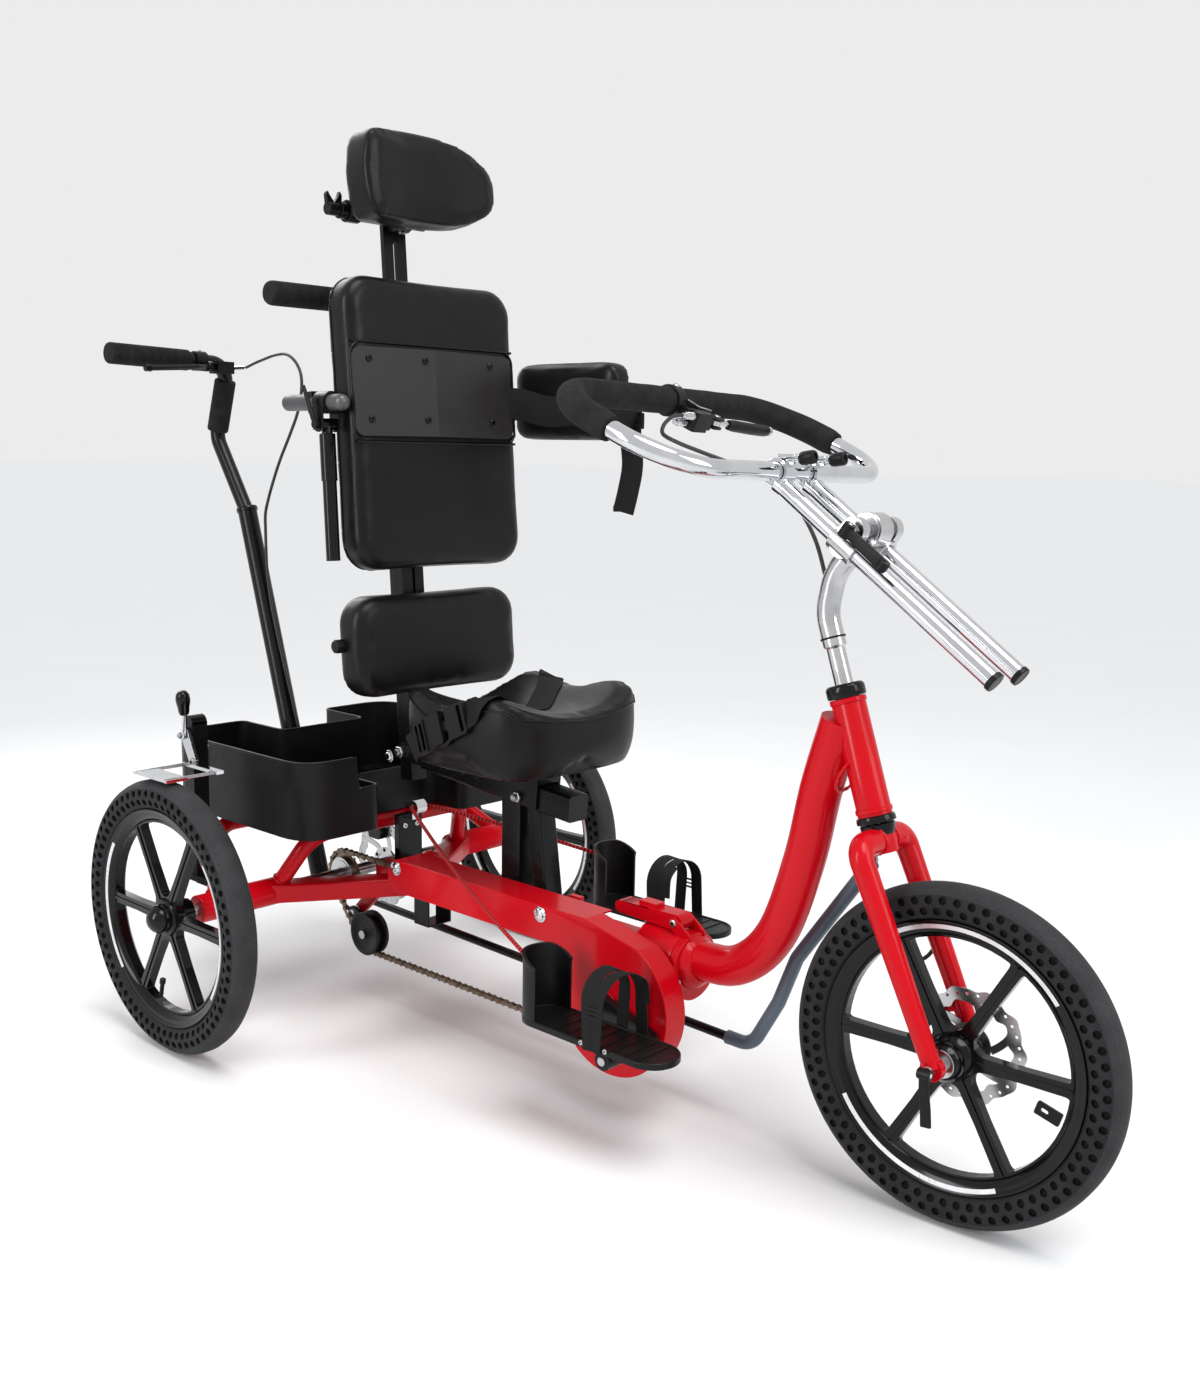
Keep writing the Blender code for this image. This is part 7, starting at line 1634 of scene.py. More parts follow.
def taken(made):
    """The shape of an object with its modifiers applied. The object goes."""
    graph = bpy.context.evaluated_depsgraph_get()
    mesh = bpy.data.meshes.new_from_object(made.evaluated_get(graph))
    bpy.data.objects.remove(made)
    result = shape([v.co.copy() for v in mesh.vertices], [list(f.vertices) for f in mesh.polygons])
    bpy.data.meshes.remove(mesh)
    return result


def slab_pad(half_wide, half_high, corner, thick, front_edge, rear_edge, crown=0.004, steps=14, pinch=0.0):
    """An upholstered pad with rounded edges and a crowned face: u is its depth, v across it and w up."""
    def outline(inset):
        reach = max(corner - inset, 0.004)
        loop = []
        for cv, cw, start in ((1, 1, 0), (-1, 1, 90), (-1, -1, 180), (1, -1, 270)):
            loop += arc(cv * (half_wide - inset - reach), cw * (half_high - inset - reach), reach, start,
                        start + 90, steps)
        dense = []
        for (a, b), (c, d) in zip(loop, [*loop[1:], loop[0]]):
            dense.append((a, b))
            if math.dist((a, b), (c, d)) > 0.03:
                dense += [(a + (c - a) * k / 12, b + (d - b) * k / 12) for k in range(1, 12)]
        return dense

    def draw(v, w):
        along_v, along_w = v / half_wide, w / half_high
        return v * (1 - pinch * (1 - along_w**2) * along_v**2), w * (1 - pinch * (1 - along_v**2) * along_w**2)

    reference = outline(0.0)
    rings = []
    for k in range(7):
        a = math.radians(90 * k / 6)
        rings.append((rear_edge * (1 - math.sin(a)), rear_edge * (1 - math.cos(a))))
    for k in range(1, 4):
        rings.append((0.0, rear_edge + (thick - rear_edge - front_edge) * k / 4))
    for k in range(11):
        a = math.radians(90 * k / 10)
        rings.append((front_edge * (1 - math.cos(a)), thick - front_edge + front_edge * math.sin(a)))
    count = len(reference)
    points, faces = [], []

    def inset_point(index, inset):
        v, w = reference[index]
        cv = max(-half_wide + corner, min(half_wide - corner, v))
        cw = max(-half_high + corner, min(half_high - corner, w))
        off = Vector((v - cv, w - cw))
        if off.length > 1e-9:
            off = off.normalized() * (corner - inset)
        return cv + off.x, cw + off.y

    for inset, depth in rings:
        for index in range(count):
            v, w = draw(*inset_point(index, inset))
            points.append((depth, v, w))
    edge_loop = [inset_point(index, front_edge) for index in range(count)]
    shares = [0.93, 0.84, 0.72, 0.58, 0.42, 0.26, 0.1]
    for share in shares:
        for v, w in edge_loop:
            v, w = draw(v, w)
            points.append((thick + crown * (1 - share**2.2), v * share, w * share))
    rows = len(rings) + len(shares)
    for row in range(rows - 1):
        for index in range(count):
            after = (index + 1) % count
            faces.append([row * count + index, row * count + after, (row + 1) * count + after,
                          (row + 1) * count + index])
    faces.append(list(range(count))[::-1])
    faces.append([(rows - 1) * count + index for index in range(count)])
    return shape(points, faces)


CLOTH_FRAMES = 20


def stuffed(made, cap, voxel=0.005, pressure=4.0, held=None):
    """The shape after its cover is filled: cloth under pressure, no point moving further than the cap."""
    points, faces = made[:2]
    mesh = bpy.data.meshes.new("cover")
    mesh.from_pydata(points, [], faces)
    cover = bpy.data.objects.new("cover", mesh)
    bpy.context.scene.collection.objects.link(cover)
    remesh = cover.modifiers.new("Remesh", "REMESH")
    remesh.mode = "VOXEL"
    remesh.voxel_size = voxel
    graph = bpy.context.evaluated_depsgraph_get()
    start = bpy.data.meshes.new_from_object(cover.evaluated_get(graph))
    bpy.data.objects.remove(cover)
    cloth_piece = bpy.data.objects.new("cover", start)
    bpy.context.scene.collection.objects.link(cloth_piece)
    before = [v.co.copy() for v in start.vertices]
    step = cloth_piece.modifiers.new("Cloth", "CLOTH")
    step.settings.use_pressure = True
    step.settings.uniform_pressure_force = pressure
    step.settings.effector_weights.gravity = 0.0
    step.settings.quality = 5
    scene = bpy.context.scene
    for number in range(1, CLOTH_FRAMES + 1):
        scene.frame_set(number)
    graph = bpy.context.evaluated_depsgraph_get()
    after = bpy.data.meshes.new_from_object(cloth_piece.evaluated_get(graph))
    result = []
    for old, vert in zip(before, after.vertices):
        move = vert.co - old
        if held is not None:
            move *= held(old)
        if move.length > cap:
            move *= cap / move.length
        result.append(old + move)
    filled = shape(result, [list(f.vertices) for f in after.polygons])
    bpy.data.objects.remove(cloth_piece)
    bpy.data.meshes.remove(after)
    scene.frame_set(1)
    return filled


def surface_of(made):
    return BVHTree.FromPolygons(*made[:2])


def laid(made, guides, spacing, rise):
    """A smooth path through the guides, moved onto a shape's surface and raised off it, with its normals."""
    tree = surface_of(made)
    path, normals = [], []
    for point in smooth_path(guides, spacing):
        place, normal, _, distance = tree.find_nearest(point)
        outward = (point - place).dot(normal)
        if outward < 0 and distance > 0.02:
            normal = -normal
        path.append(place + normal * rise)
        normals.append(normal)
    return path, normals


def stitches(made, guides, off, length=0.0034, gap=0.0024, radius=0.00045):
    """A row of stitches on a surface, beside a seam."""
    path, normals = laid(made, guides, 0.001, 0.0003)
    shapes = []
    passed, start = 0.0, 0
    for index in range(1, len(path)):
        passed += (path[index] - path[index - 1]).length
        if passed >= length + gap:
            ahead = (path[index] - path[start]).normalized()
            beside = ahead.cross(normals[start]).normalized() * off
            first = path[start] + beside
            middle = first + ahead * length / 2 + normals[start] * radius * 0.9
            shapes.append(pipe([first - normals[start] * radius, middle,
                                first + ahead * length - normals[start] * radius], radius, 6))
            passed, start = 0.0, index
    return shapes


CUSHION_LENGTH = SEAT_LENGTH * 0.88
CUSHION_WIDTH = SEAT_WIDTH * 0.86
CUSHION_HEIGHT = 0.130


def seat_wave(u):
    """How high the seat's sides stand along its length, where they rise in front and behind."""
    return 0.66 + 0.34 * math.cos(2 * math.pi * (u - 0.60) / 1.55)


def seat_form(u, v, w):
    """The seat's cage: raised sides, a hollow middle, and a base drawn in."""
    side = max(0.0, abs(v) - 0.30) ** 2 / 0.49
    wave = seat_wave(u)
    dip = 0.22 * max(0.0, 1 - abs(v) / 0.62) * (1 - 0.5 * u)
    if w > 0:
        top = 0.34 + 0.50 * side * wave - dip + 0.10 * max(0.0, u - 0.4)
        w = w * top + (1 - w) * (-0.1)
    tuck = 1 - 0.10 * max(0.0, -w) ** 3 - 0.05 * max(0.0, w) ** 2
    return u * (1 - 0.16 * v**4) * tuck, v * (1 - 0.12 * u**4) * tuck, w


def seat_cushion():
    """The seat with piping and stitches on its sides, piping in front, its swivel and its belt."""
    half_x, half_y, half_z = CUSHION_LENGTH / 2, CUSHION_WIDTH / 2, CUSHION_HEIGHT / 2
    centre = Vector((SEAT_CENTRE_X, 0.0, SEAT_BOTTOM + half_z))
    made = caged((CUSHION_LENGTH, CUSHION_WIDTH, CUSHION_HEIGHT), 9, seat_form, 2)
    made = moved(Matrix.Translation(centre), made)
    made = stuffed(made, 0.004, 0.0055, 3.0, held=lambda p: 0.0 if p.z < SEAT_BOTTOM + 0.006 else 1.0)
    shapes, threads = [], []
    for side in (1, -1):
        guides = []
        for k in range(15):
            u = -0.93 + 1.86 * k / 14
            wave = seat_wave(u)
            z = 0.06 + 0.66 * max(0.0, wave - 0.32)
            v = 0.96 - 0.10 * max(0.0, wave - 0.6)
            guides.append(centre + Vector((u * half_x, side * v * half_y, z * CUSHION_HEIGHT / 2)))
        shapes.append(pipe(laid(made, guides, 0.004, 0.0006)[0], 0.0016, 8))
        threads += stitches(made, guides, 0.0042 * side)
    front = [centre + Vector((0.98 * half_x, v * half_y, z * CUSHION_HEIGHT / 2))
             for v, z in ((-0.84, 0.40), (-0.5, 0.28), (0.0, 0.20), (0.5, 0.28), (0.84, 0.40))]
    shapes.append(pipe(laid(made, front, 0.004, 0.0006)[0], 0.0014, 8))
    saddle, steel = seat_swivel()
    cushion = piece("seat_cushion", "seat", "black vinyl", [(VINYL, [made, *shapes]), (THREAD, threads)],
                    ["seat_cushion"], smooth=60)
    piece("seat_swivel", "seat", "black paint", [(BLACK, saddle), (STEEL, steel)], ["seat_swivel"], edge=0.0010)
    lap_belt(made, centre)


LAP_WEBBING = 0.038


def lap_belt(made, centre):
    """Webbing along the seat's right side and over it to the left, with a side-release buckle on the side."""
    half_x, half_y = CUSHION_LENGTH / 2, CUSHION_WIDTH / 2

    def on(u, v, z):
        return centre + Vector((u * half_x, v * half_y, z))

    outside = [on(*place) for place in (
        (-0.92, -1.02, -0.058), (-0.84, -1.05, -0.052), (-0.70, -1.06, -0.044), (-0.56, -1.06, -0.034),
        (-0.42, -1.05, -0.022),
    )]
    beyond = [on(*place) for place in (
        (0.24, -1.03, 0.020), (0.36, -0.98, 0.036), (0.42, -0.88, 0.050), (0.42, -0.66, 0.040),
        (0.36, -0.40, 0.018), (0.26, -0.10, 0.006), (0.12, 0.15, 0.004), (-0.08, 0.40, 0.016),
        (-0.28, 0.66, 0.036), (-0.46, 0.88, 0.046), (-0.58, 0.98, 0.028), (-0.70, 1.04, -0.014),
        (-0.78, 1.03, -0.056),
    )]
    tree = surface_of(made)
    places = [tree.find_nearest(point) for point in (outside[-1], beyond[0])]
    a, b = [place[0] + place[1] * 0.0075 for place in places]
    up = (places[0][1] + places[1][1]).normalized()
    lift = 0.0
    beside = up.cross(b - a).normalized()
    for step in range(1, 10):
        for off in (-0.02, 0.0, 0.02):
            point = a.lerp(b, step / 10) + beside * off
            near = tree.find_nearest(point)
            lift = max(lift, 0.0050 - (point - near[0]).dot(near[1]))
    a, b = a + up * lift, b + up * lift
    ahead = (b - a).normalized()
    bands = []
    path, normals = laid(made, outside, 0.005, 0.0017)
    bands.append(ribbon([*path[:-2], a - up * 0.001], [*normals[:-2], up], LAP_WEBBING, 0.0016))
    path, normals = laid(made, beyond, 0.005, 0.0017)
    bands.append(ribbon([b - up * 0.001, *path[2:]], [up, *normals[2:]], LAP_WEBBING, 0.0016))
    path, normals = laid(made, outside[1:], 0.005, 0.0036)
    bands.append(ribbon([*path[:-2], a + up * 0.001], [*normals[:-2], up], 0.036, 0.0015))
    up = (up - ahead * up.dot(ahead)).normalized()
    beside = up.cross(ahead)
    turn = Matrix((ahead, beside, up)).transposed().to_4x4()
    place = Matrix.Translation((a + b) / 2) @ turn
    end = (b - a).length / 2
    slots = [rounded(span, (-0.0190, 0.0190), 0.0018, 3)
             for span in ((-end - 0.001, -end + 0.004), (-end + 0.008, -end + 0.014))]
    body = plate([rounded((-end - 0.006, 0.006), (-0.0235, 0.0235), 0.005), *slots], 0.0062, place)
    cover = moved(place, plate([rounded((-0.016, 0.007), (-0.0220, 0.0220), 0.004)], 0.0040,
                               Matrix.Translation((0, 0, 0.0044))))
    slot = rounded((end - 0.006, end + 0.001), (-0.0185, 0.0185), 0.0018, 3)
    male = plate([rounded((0.016, end + 0.006), (-0.0225, 0.0225), 0.005), slot], 0.0056, place)
    tongue = moved(place, box((0.004, 0.020), (-0.0065, 0.0065), (-0.002, 0.002)))
    prongs, half = [], 0.0022
    for side in (1, -1):
        path = [(0.020, side * 0.0165, 0), (0.011, side * 0.0215, 0), (0.002, side * 0.0232, 0),
                (-0.008, side * 0.0222, 0)]
        section = [(-half, -half), (half, -half), (half, half), (-half, half)]
        prongs.append(moved(place, sweep(smooth_path(path, 0.002), section)))
    slide_bar = moved(place, box((-end + 0.0165, -end + 0.0195), (-0.0225, 0.0225), (0.002, 0.0052)))
    piece("lap_belt", "seat", "black webbing", [(WEBBING, bands)])
    piece("lap_belt_buckle", "seat", "black plastic",
          [(MOULDED, [body, cover, male, tongue, *prongs, slide_bar])], edge=0.0009)
    anchor = on(-0.92, -1.02, -0.060)
    steel = [ring(0.0035, 0.0085, 0.0012, anchor + Vector((0, -0.004, 0.004)))]
    steel += screw(anchor + Vector((0, -0.0045, 0.004)), (0, -1, 0), 0.0058, 0.0035)
    piece("lap_belt_bolt", "seat", "chrome", [(CHROME, steel)], edge=0.0004)


def ribbon(path, normals, width, thickness):
    """Webbing that lies flat on a surface: its face follows the surface's normals."""
    outline = webbing_section(width, thickness)
    points, last = [], len(path) - 1
    for index, point in enumerate(path):
        ahead = (path[min(index + 1, last)] - path[max(index - 1, 0)]).normalized()
        nearby = (normals[k] for k in range(max(0, index - 3), min(len(path), index + 4)))
        beside = ahead.cross(sum(nearby, Vector((0, 0, 0))).normalized()).normalized()
        up = beside.cross(ahead)
        points += [point + beside * s + up * t for s, t in outline]
    return skin(path, points, outline)


def back_box(xs, ys, zs):
    """A box in the back post's frame, as back_rod is a rod in it."""
    return moved(BACK, box(xs, ys, zs))


def back_rod(radius, start, end, steps=32, end_radius=None):
    return rod(radius, back(*start), back(*end), steps, end_radius)


def back_post():
    """The post with its twin rails, and the carer's bar behind it with a foam sleeve on each side."""
    post = moved(BACK, tube_bar((0, 0, -0.045), (0, 0, 0.700), 2 * POST_HALF, 2 * POST_HALF, 0.003))
    cap = moved(BACK, tube_bar((0, 0, 0.6985), (0, 0, 0.7000), 0.0292, 0.0292, 0.003))
    rear = POST_HALF - 0.002
    rails = [back_box((rear, RAIL_FRONT), ys, (0.030, RAIL_TOP))
             for ys in ((-RAIL_HALF, -0.004), (0.004, RAIL_HALF))]
    rails += [back_box((rear, RAIL_FRONT), (-0.0045, 0.0045), zs) for zs in ((0.030, 0.050), (0.450, RAIL_TOP))]
    rails.append(back_box((rear, RAIL_FRONT - 0.003), (-0.0045, 0.0045), (0.049, 0.451)))
    bracket = back_box((-0.040, -POST_HALF + 0.001), (-0.0118, 0.0118), (0.6682, 0.6918))
    tube = back_rod(0.0124, (-0.040, -0.18, 0.680), (-0.040, 0.18, 0.680), 40)
    profile = [(0.0126, 0.055), (0.0160, 0.0552), (0.0174, 0.0575), (0.0175, 0.120), (0.0175, 0.176),
               (0.0168, 0.1808), (0.0150, 0.1838), (0.0110, 0.1848), (0.0002, 0.1849)]
    foams = [turned(profile, back(-0.040, 0, 0.680), (0, side, 0), 48) for side in (1, -1)]
    bolt = screw(back(-POST_HALF, 0, 0.640), BACK.to_3x3() @ Vector((-1, 0, 0)), 0.0058, 0.0030)
    piece("back_post", "back_post", "black paint",
          [(BLACK, [post, *rails, bracket, tube]), (MOULDED, [cap]), (STEEL, bolt)],
          ["back_post"], edge=0.0010)
    piece("carer_bar_foam", "back_post", "dark foam", [(FOAM, foams)])


def back_pad():
    """The pad with a seam round its back edge, its board and its bracket on the rails, and what it carries."""
    middle_z = (PAD_LOW + PAD_TOP) / 2
    corner, crown = 0.046, 0.0005
    made = slab_pad(PAD_HALF - 0.001, (PAD_TOP - PAD_LOW) / 2, corner, PAD_FRONT - PAD_REAR, 0.017, 0.008,
                    crown, pinch=0.012)
    made = moved(BACK @ Matrix.Translation((PAD_REAR, 0, middle_z)), made)
    made = stuffed(made, 0.0016, 0.006, 2.0)
    loop = rounded((-PAD_HALF + 0.0005, PAD_HALF - 0.0005), (PAD_LOW + 0.0005, PAD_TOP - 0.0005), corner, 6)
    guides = [back(PAD_REAR + 0.010, v, w) for v, w in loop]
    path = laid(made, [*guides, guides[0]], 0.006, 0.0003)[0]
    seam = pipe(path[:-1], 0.0013, 8, closed=True)
    board = plate([rounded((-0.135, 0.135), (-0.185, 0.185), 0.035)], 0.0016)
    board = moved(BACK @ Matrix.Translation((PAD_REAR - 0.0006, 0, middle_z)) @ FRONT, board)
    bracket = back_box((RAIL_FRONT + GAP, PAD_REAR + 0.001), (-BRACKET_HALF, BRACKET_HALF), (0.3002, 0.4248))
    steel = []
    for side in (-1, 1):
        for z in (0.316, 0.409):
            steel += screw(back(PAD_REAR - 0.018, side * BRACKET_HALF, z), (0, side, 0), 0.0050, 0.0028)
    cushion = piece("back_pad", "back_pad", "black vinyl", [(VINYL, [made, seam])], ["back_pad"], smooth=60)
    piece("back_pad_bracket", "back_pad", "black paint", [(BLACK, [bracket, board]), (STEEL, steel)],
          edge=0.0010)
    trunk_plate()
    laterals()
    trunk_strap()


def trunk_plate():
    """The creased plate on six socket screws, with a thin glossy bead round it."""
    bottom, top = 0.469, 0.592
    right, crease, left = -0.160, -0.020, 0.140
    near, rise, corner = PAD_FRONT + 0.0035, 0.012, 0.014

    def depth(v):
        span_here = crease - right if v < crease else left - crease
        return near + rise * (1 - (abs(v - crease) / span_here))

    loop = rounded((right + 0.0004, left - 0.0004), (bottom + 0.0004, top - 0.0004), corner, 10)
    columns = sorted({round(v, 5) for v, w in divided(loop, 0.008)} | {crease})
    points, faces = [], []

    def edge_w(v):
        for limit, sign in ((right + 0.0144, -1), (left - 0.0144, 1)):
            over = (v - limit) * sign
            if over > 0:
                return corner - math.sqrt(max(0.0, corner**2 - min(over, corner) ** 2))
        return 0.0

    for v in columns:
        drop = edge_w(v)
        for layer in (0, 1):
            for w in (bottom + 0.0004 + drop, top - 0.0004 - drop):
                points.append(back(depth(v) + 0.0040 * layer, v, w))
    for k in range(len(columns) - 1):
        a, b = 4 * k, 4 * (k + 1)
        faces += [[a, a + 1, b + 1, b], [a + 2, b + 2, b + 3, a + 3], [a, b, b + 2, a + 2],
                  [a + 1, a + 3, b + 3, b + 1]]
    end = 4 * len(columns)
    faces += [[0, 2, 3, 1], [end - 4, end - 3, end - 1, end - 2]]
    steel = []
    for v in (-0.133, -0.038, 0.094):
        for w in (top - 0.0165, bottom + 0.0235):
            slope = -rise / 0.14 if v > crease else rise / 0.14
            outward = BACK.to_3x3() @ Vector((1, -slope, 0)).normalized()
            steel += screw(back(depth(v) + 0.0039, v, w), outward, 0.0052, 0.0026)
    bead = [back(PAD_FRONT + 0.0022 + 0.35 * (depth(max(right, min(left, v))) - near), v, w)
            for v, w in rounded((right + 0.001, left + 0.007), (bottom - 0.007, top + 0.007), 0.019, 8)]
    backing = back_box((PAD_FRONT - 0.0006, near + 0.0105), (-0.065, 0.045), (bottom + 0.03, top - 0.03))
    sides = [back_box((PAD_FRONT - 0.0006, near + 0.0016), ys, (bottom + 0.012, top - 0.012))
             for ys in ((-0.150, -0.06), (0.04, 0.132))]
    piece("trunk_plate", "back_pad", "black paint",
          [(MATT, [shape(points, faces), backing, *sides]), (BLACK, steel)], ["trunk_plate"], smooth=3,
          edge=0.0007)
    piece("trunk_plate_bead", "back_pad", "gloss black plastic",
          [(GLOSSY, [pipe(smooth_loop(bead), 0.0019, 10, closed=True)])])


def smooth_loop(points):
    return smooth_path([*points, points[0]], 0.006)[:-1]


def laterals():
    """The bracket with its grey tube, the right arm that hangs from it, and the left pad on its arm."""
    bar_x = (0.0435 + PAD_REAR + 0.0006) / 2
    left_end = LEFT_PAD_Y + 0.0135
    bar_shape = back_box((0.0436, PAD_REAR + 0.0005), (LATERAL_Y - 0.0098, left_end),
                         (LATERAL_Z - 0.0148, LATERAL_Z + 0.0148))
    profile = [(0.0002, 0.0700), (0.0045, 0.0694), (0.0082, 0.0672), (0.0106, 0.0640), (0.0114, 0.0600),
               (0.0114, -0.0630), (0.0104, -0.0640)]
    tube_z = 0.931
    tube = turned(profile, (0.117, LATERAL_Y, tube_z), FORWARD, 40)
    pivot = Vector((0.142, LATERAL_Y, tube_z - 0.030))
    hangers = [box((pivot.x - 0.0108, pivot.x + 0.0108),
                   sorted((LATERAL_Y + side * 0.0126, LATERAL_Y + side * 0.0154)),
                   (pivot.z - 0.0078, tube_z)) for side in (1, -1)]
    rounds = [ring(0.0042, 0.0105, 0.0015, (pivot.x, LATERAL_Y + side * 0.0140, pivot.z)) for side in (1, -1)]
    saddle = ring(0.0114, 0.0155, 0.0128, (pivot.x, LATERAL_Y, tube_z), FORWARD, 48)
    lug = box((pivot.x - 0.010, pivot.x + 0.010), (LATERAL_Y - 0.0148, LATERAL_Y + 0.0148),
              (tube_z - 0.0155, tube_z - 0.010))
    pins = [across(0.004, pivot.x, pivot.z, LATERAL_Y - 0.0198, LATERAL_Y + 0.0178, 24),
            nut((pivot.x, LATERAL_Y + 0.0154, pivot.z), (0, 1, 0), 0.0066, 0.0042)]
    start = Vector((pivot.x, LATERAL_Y - 0.0190, pivot.z))
    handle_path = [start + Vector(off) for off in ((0, 0, 0), (-0.003, -0.003, 0.012), (-0.010, -0.005, 0.032),
                                                   (-0.019, -0.0055, 0.052))]
    angles = [2 * math.pi * k / 16 for k in range(16)]
    handle = sweep(smooth_path(handle_path, 0.003),
                   lambda share: [(0.0058 * math.cos(a) * (1 - 0.45 * share), 0.0024 * math.sin(a))
                                  for a in angles], side=FORWARD)
    barrel = across(0.0062, pivot.x, pivot.z, LATERAL_Y - 0.0222, LATERAL_Y - 0.0160, 28)
    ends = [back_rod(0.006, (bar_x, left_end - 0.02, LATERAL_Z), (bar_x, left_end + 0.0093, LATERAL_Z)),
            nut(back(bar_x, left_end + 0.0066, LATERAL_Z), (0, 1, 0), 0.0094, 0.0038)]
    piece("lateral_bracket", "back_pad", "black paint",
          [(BLACK, [bar_shape, *hangers, *rounds, saddle, lug]), (GRAPHITE, [tube]), (STEEL, [*pins, *ends]),
           (MOULDED, [handle, barrel])], ["lateral_bracket"], edge=0.0007)

    eye = across(0.0084, pivot.x, pivot.z, LATERAL_Y - 0.0119, LATERAL_Y + 0.0119, 36)
    top, low = pivot + Vector((0.001, 0, -0.0125)), pivot + Vector((0.011, 0, -0.188))
    sleeve = rod(0.0112, top, top.lerp(low, 0.36), 40)
    lower = rod(0.0098, top.lerp(low, 0.35), low, 40)
    plug = rod(0.0100, top.lerp(low, 0.985), low, 40)
    neck = rod(0.0075, pivot, pivot + Vector((0.002, 0, -0.02)), 32)
    collar = ring(0.0100, 0.0114, 0.0016, top.lerp(low, 0.36), (low - top).normalized(), 40)
    piece("lateral_arm_right", "lateral_arm_right", "black paint",
          [(GLOSSY, [eye, sleeve, lower, neck, collar]), (MOULDED, [plug])], ["lateral_arm_right"])

    made = slab_pad(0.107 - 0.001, 0.056, 0.022, 0.036, 0.011, 0.006, 0.0015)
    place = Matrix.Translation((0.245, LEFT_PAD_Y + 0.018, 0.944)) @ Matrix.Rotation(-math.pi / 2, 4, "Z")
    made = moved(place, made)
    made = stuffed(made, 0.0014, 0.005, 2.0)
    hinge = back(bar_x, left_end + 0.003, LATERAL_Z)
    plate_y = left_end + GAP + 0.0028
    outline = belt([(hinge.x, hinge.z, 0.0128), (0.285, 0.944, 0.0138)], 20)
    arm = side_plate([outline, circle(hinge.x, hinge.z, 0.0066, 28)], 0.0054, plate_y)
    back_board = side_plate([rounded((0.153, 0.337), (0.903, 0.985), 0.012)], 0.0016, LEFT_PAD_Y + 0.0176)
    steel = []
    for x in (0.215, 0.275):
        steel += screw((x, plate_y + 0.0026, 0.9400 + (x - 0.2) * 0.03), (0, 1, 0), 0.0056, 0.0030)
    cushion = piece("lateral_pad_left", "lateral_pad_left", "black vinyl", [(VINYL, [made])],
                    ["lateral_pad_left"], smooth=60)
    piece("lateral_pad_left_bracket", "lateral_pad_left", "black paint",
          [(BLACK, [arm, back_board]), (STEEL, steel)], edge=0.0009)


def trunk_strap():
    """From behind the plate's left edge, along the left pad and round its front end to a hanging tail."""
    start = back(PAD_FRONT + 0.003, 0.120, LATERAL_Z + 0.004)
    inner_y = LEFT_PAD_Y - 0.018 - 0.0026
    path = [start, start + Vector((0.012, 0.026, 0.0)), (0.225, 0.168, 0.929),
            (0.262, inner_y - 0.001, 0.930), (0.318, inner_y - 0.0006, 0.932)]
    strap_made = strap(smooth_path(path, 0.006), 0.046, 0.0020, (0, 0, 1))
    first = build("trunk_strap", [(WEBBING, [strap_made])])
    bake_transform(first)
    around = [(0.316, inner_y - 0.0030, 0.932), (0.344, inner_y - 0.0005, 0.932),
              (0.3560, inner_y + 0.006, 0.930), (0.3580, inner_y + 0.020, 0.926),
              (0.3570, inner_y + 0.036, 0.918), (0.350, inner_y + 0.044, 0.905)]
    wrap = strap(smooth_path(around, 0.003), 0.044, 0.0020, (0, 0, 1))
    tail = [Vector((x, inner_y + off, z)) for x, off, z in (
        (0.346, 0.0445, 0.926), (0.347, 0.0455, 0.890), (0.350, 0.0470, 0.850), (0.345, 0.0440, 0.812),
        (0.339, 0.0400, 0.780),
    )]
    hanging = strap(smooth_path(tail, 0.005), 0.038, 0.0020, (1, 0.12, 0))
    folded = strap([tail[-1] + Vector((-0.0002, 0.0016, 0.010)), tail[-1] + Vector((0, 0.0018, 0.001))], 0.038,
                   0.0024, (1, 0.12, 0))
    buckle = plate([rounded((-0.026, 0.026), (-0.012, 0.012), 0.003),
                    rounded((-0.021, 0.021), (-0.0085, -0.0030), 0.001, 2),
                    rounded((-0.021, 0.021), (0.0020, 0.0080), 0.001, 2)], 0.0036,
                    Matrix.Translation((0.345, inner_y + 0.0462, 0.916)) @ SIDE)
    piece("trunk_strap_tail", "lateral_pad_left", "black webbing",
          [(WEBBING, [wrap, hanging, folded]), (MOULDED, [buckle])])


def lumbar_pad():
    made = slab_pad(0.158, 0.0745, 0.042, 0.052, 0.020, 0.010, 0.003)
    made = moved(BACK @ Matrix.Translation((0.034, 0, 0.172)), made)
    made = stuffed(made, 0.0022, 0.0055, 3.0)
    bracket = back_box((RAIL_FRONT + GAP, 0.038), (-BRACKET_HALF, BRACKET_HALF), (0.1352, 0.2098))
    shell = moved(BACK @ Matrix.Translation((0.0335, 0, 0.172)) @ FRONT,
                  plate([rounded((-0.130, 0.130), (-0.055, 0.055), 0.030)], 0.0016))
    profile = [(0.0080, 0.0), (0.0092, 0.002), (0.0088, 0.012), (0.0094, 0.020), (0.0084, 0.0255),
               (0.0040, 0.0268)]
    knob = turned(profile, back(0.046, -0.1448, 0.176), (0, -1, 0), 36)
    flutes = []
    for u, w in disc(0.0088, 10):
        at = back(0.046, 0, 0.176) + Vector((u, 0, w))
        flutes.append(rod(0.0012, at + Vector((0, -0.1500, 0)), at + Vector((0, -0.1690, 0)), 8))
    cushion = piece("lumbar_pad", "lumbar_pad", "black vinyl", [(VINYL, [made])], ["lumbar_pad"], smooth=60)
    piece("lumbar_pad_bracket", "lumbar_pad", "black paint",
          [(BLACK, [bracket, shell]), (MOULDED, [knob, *flutes])], edge=0.0008)


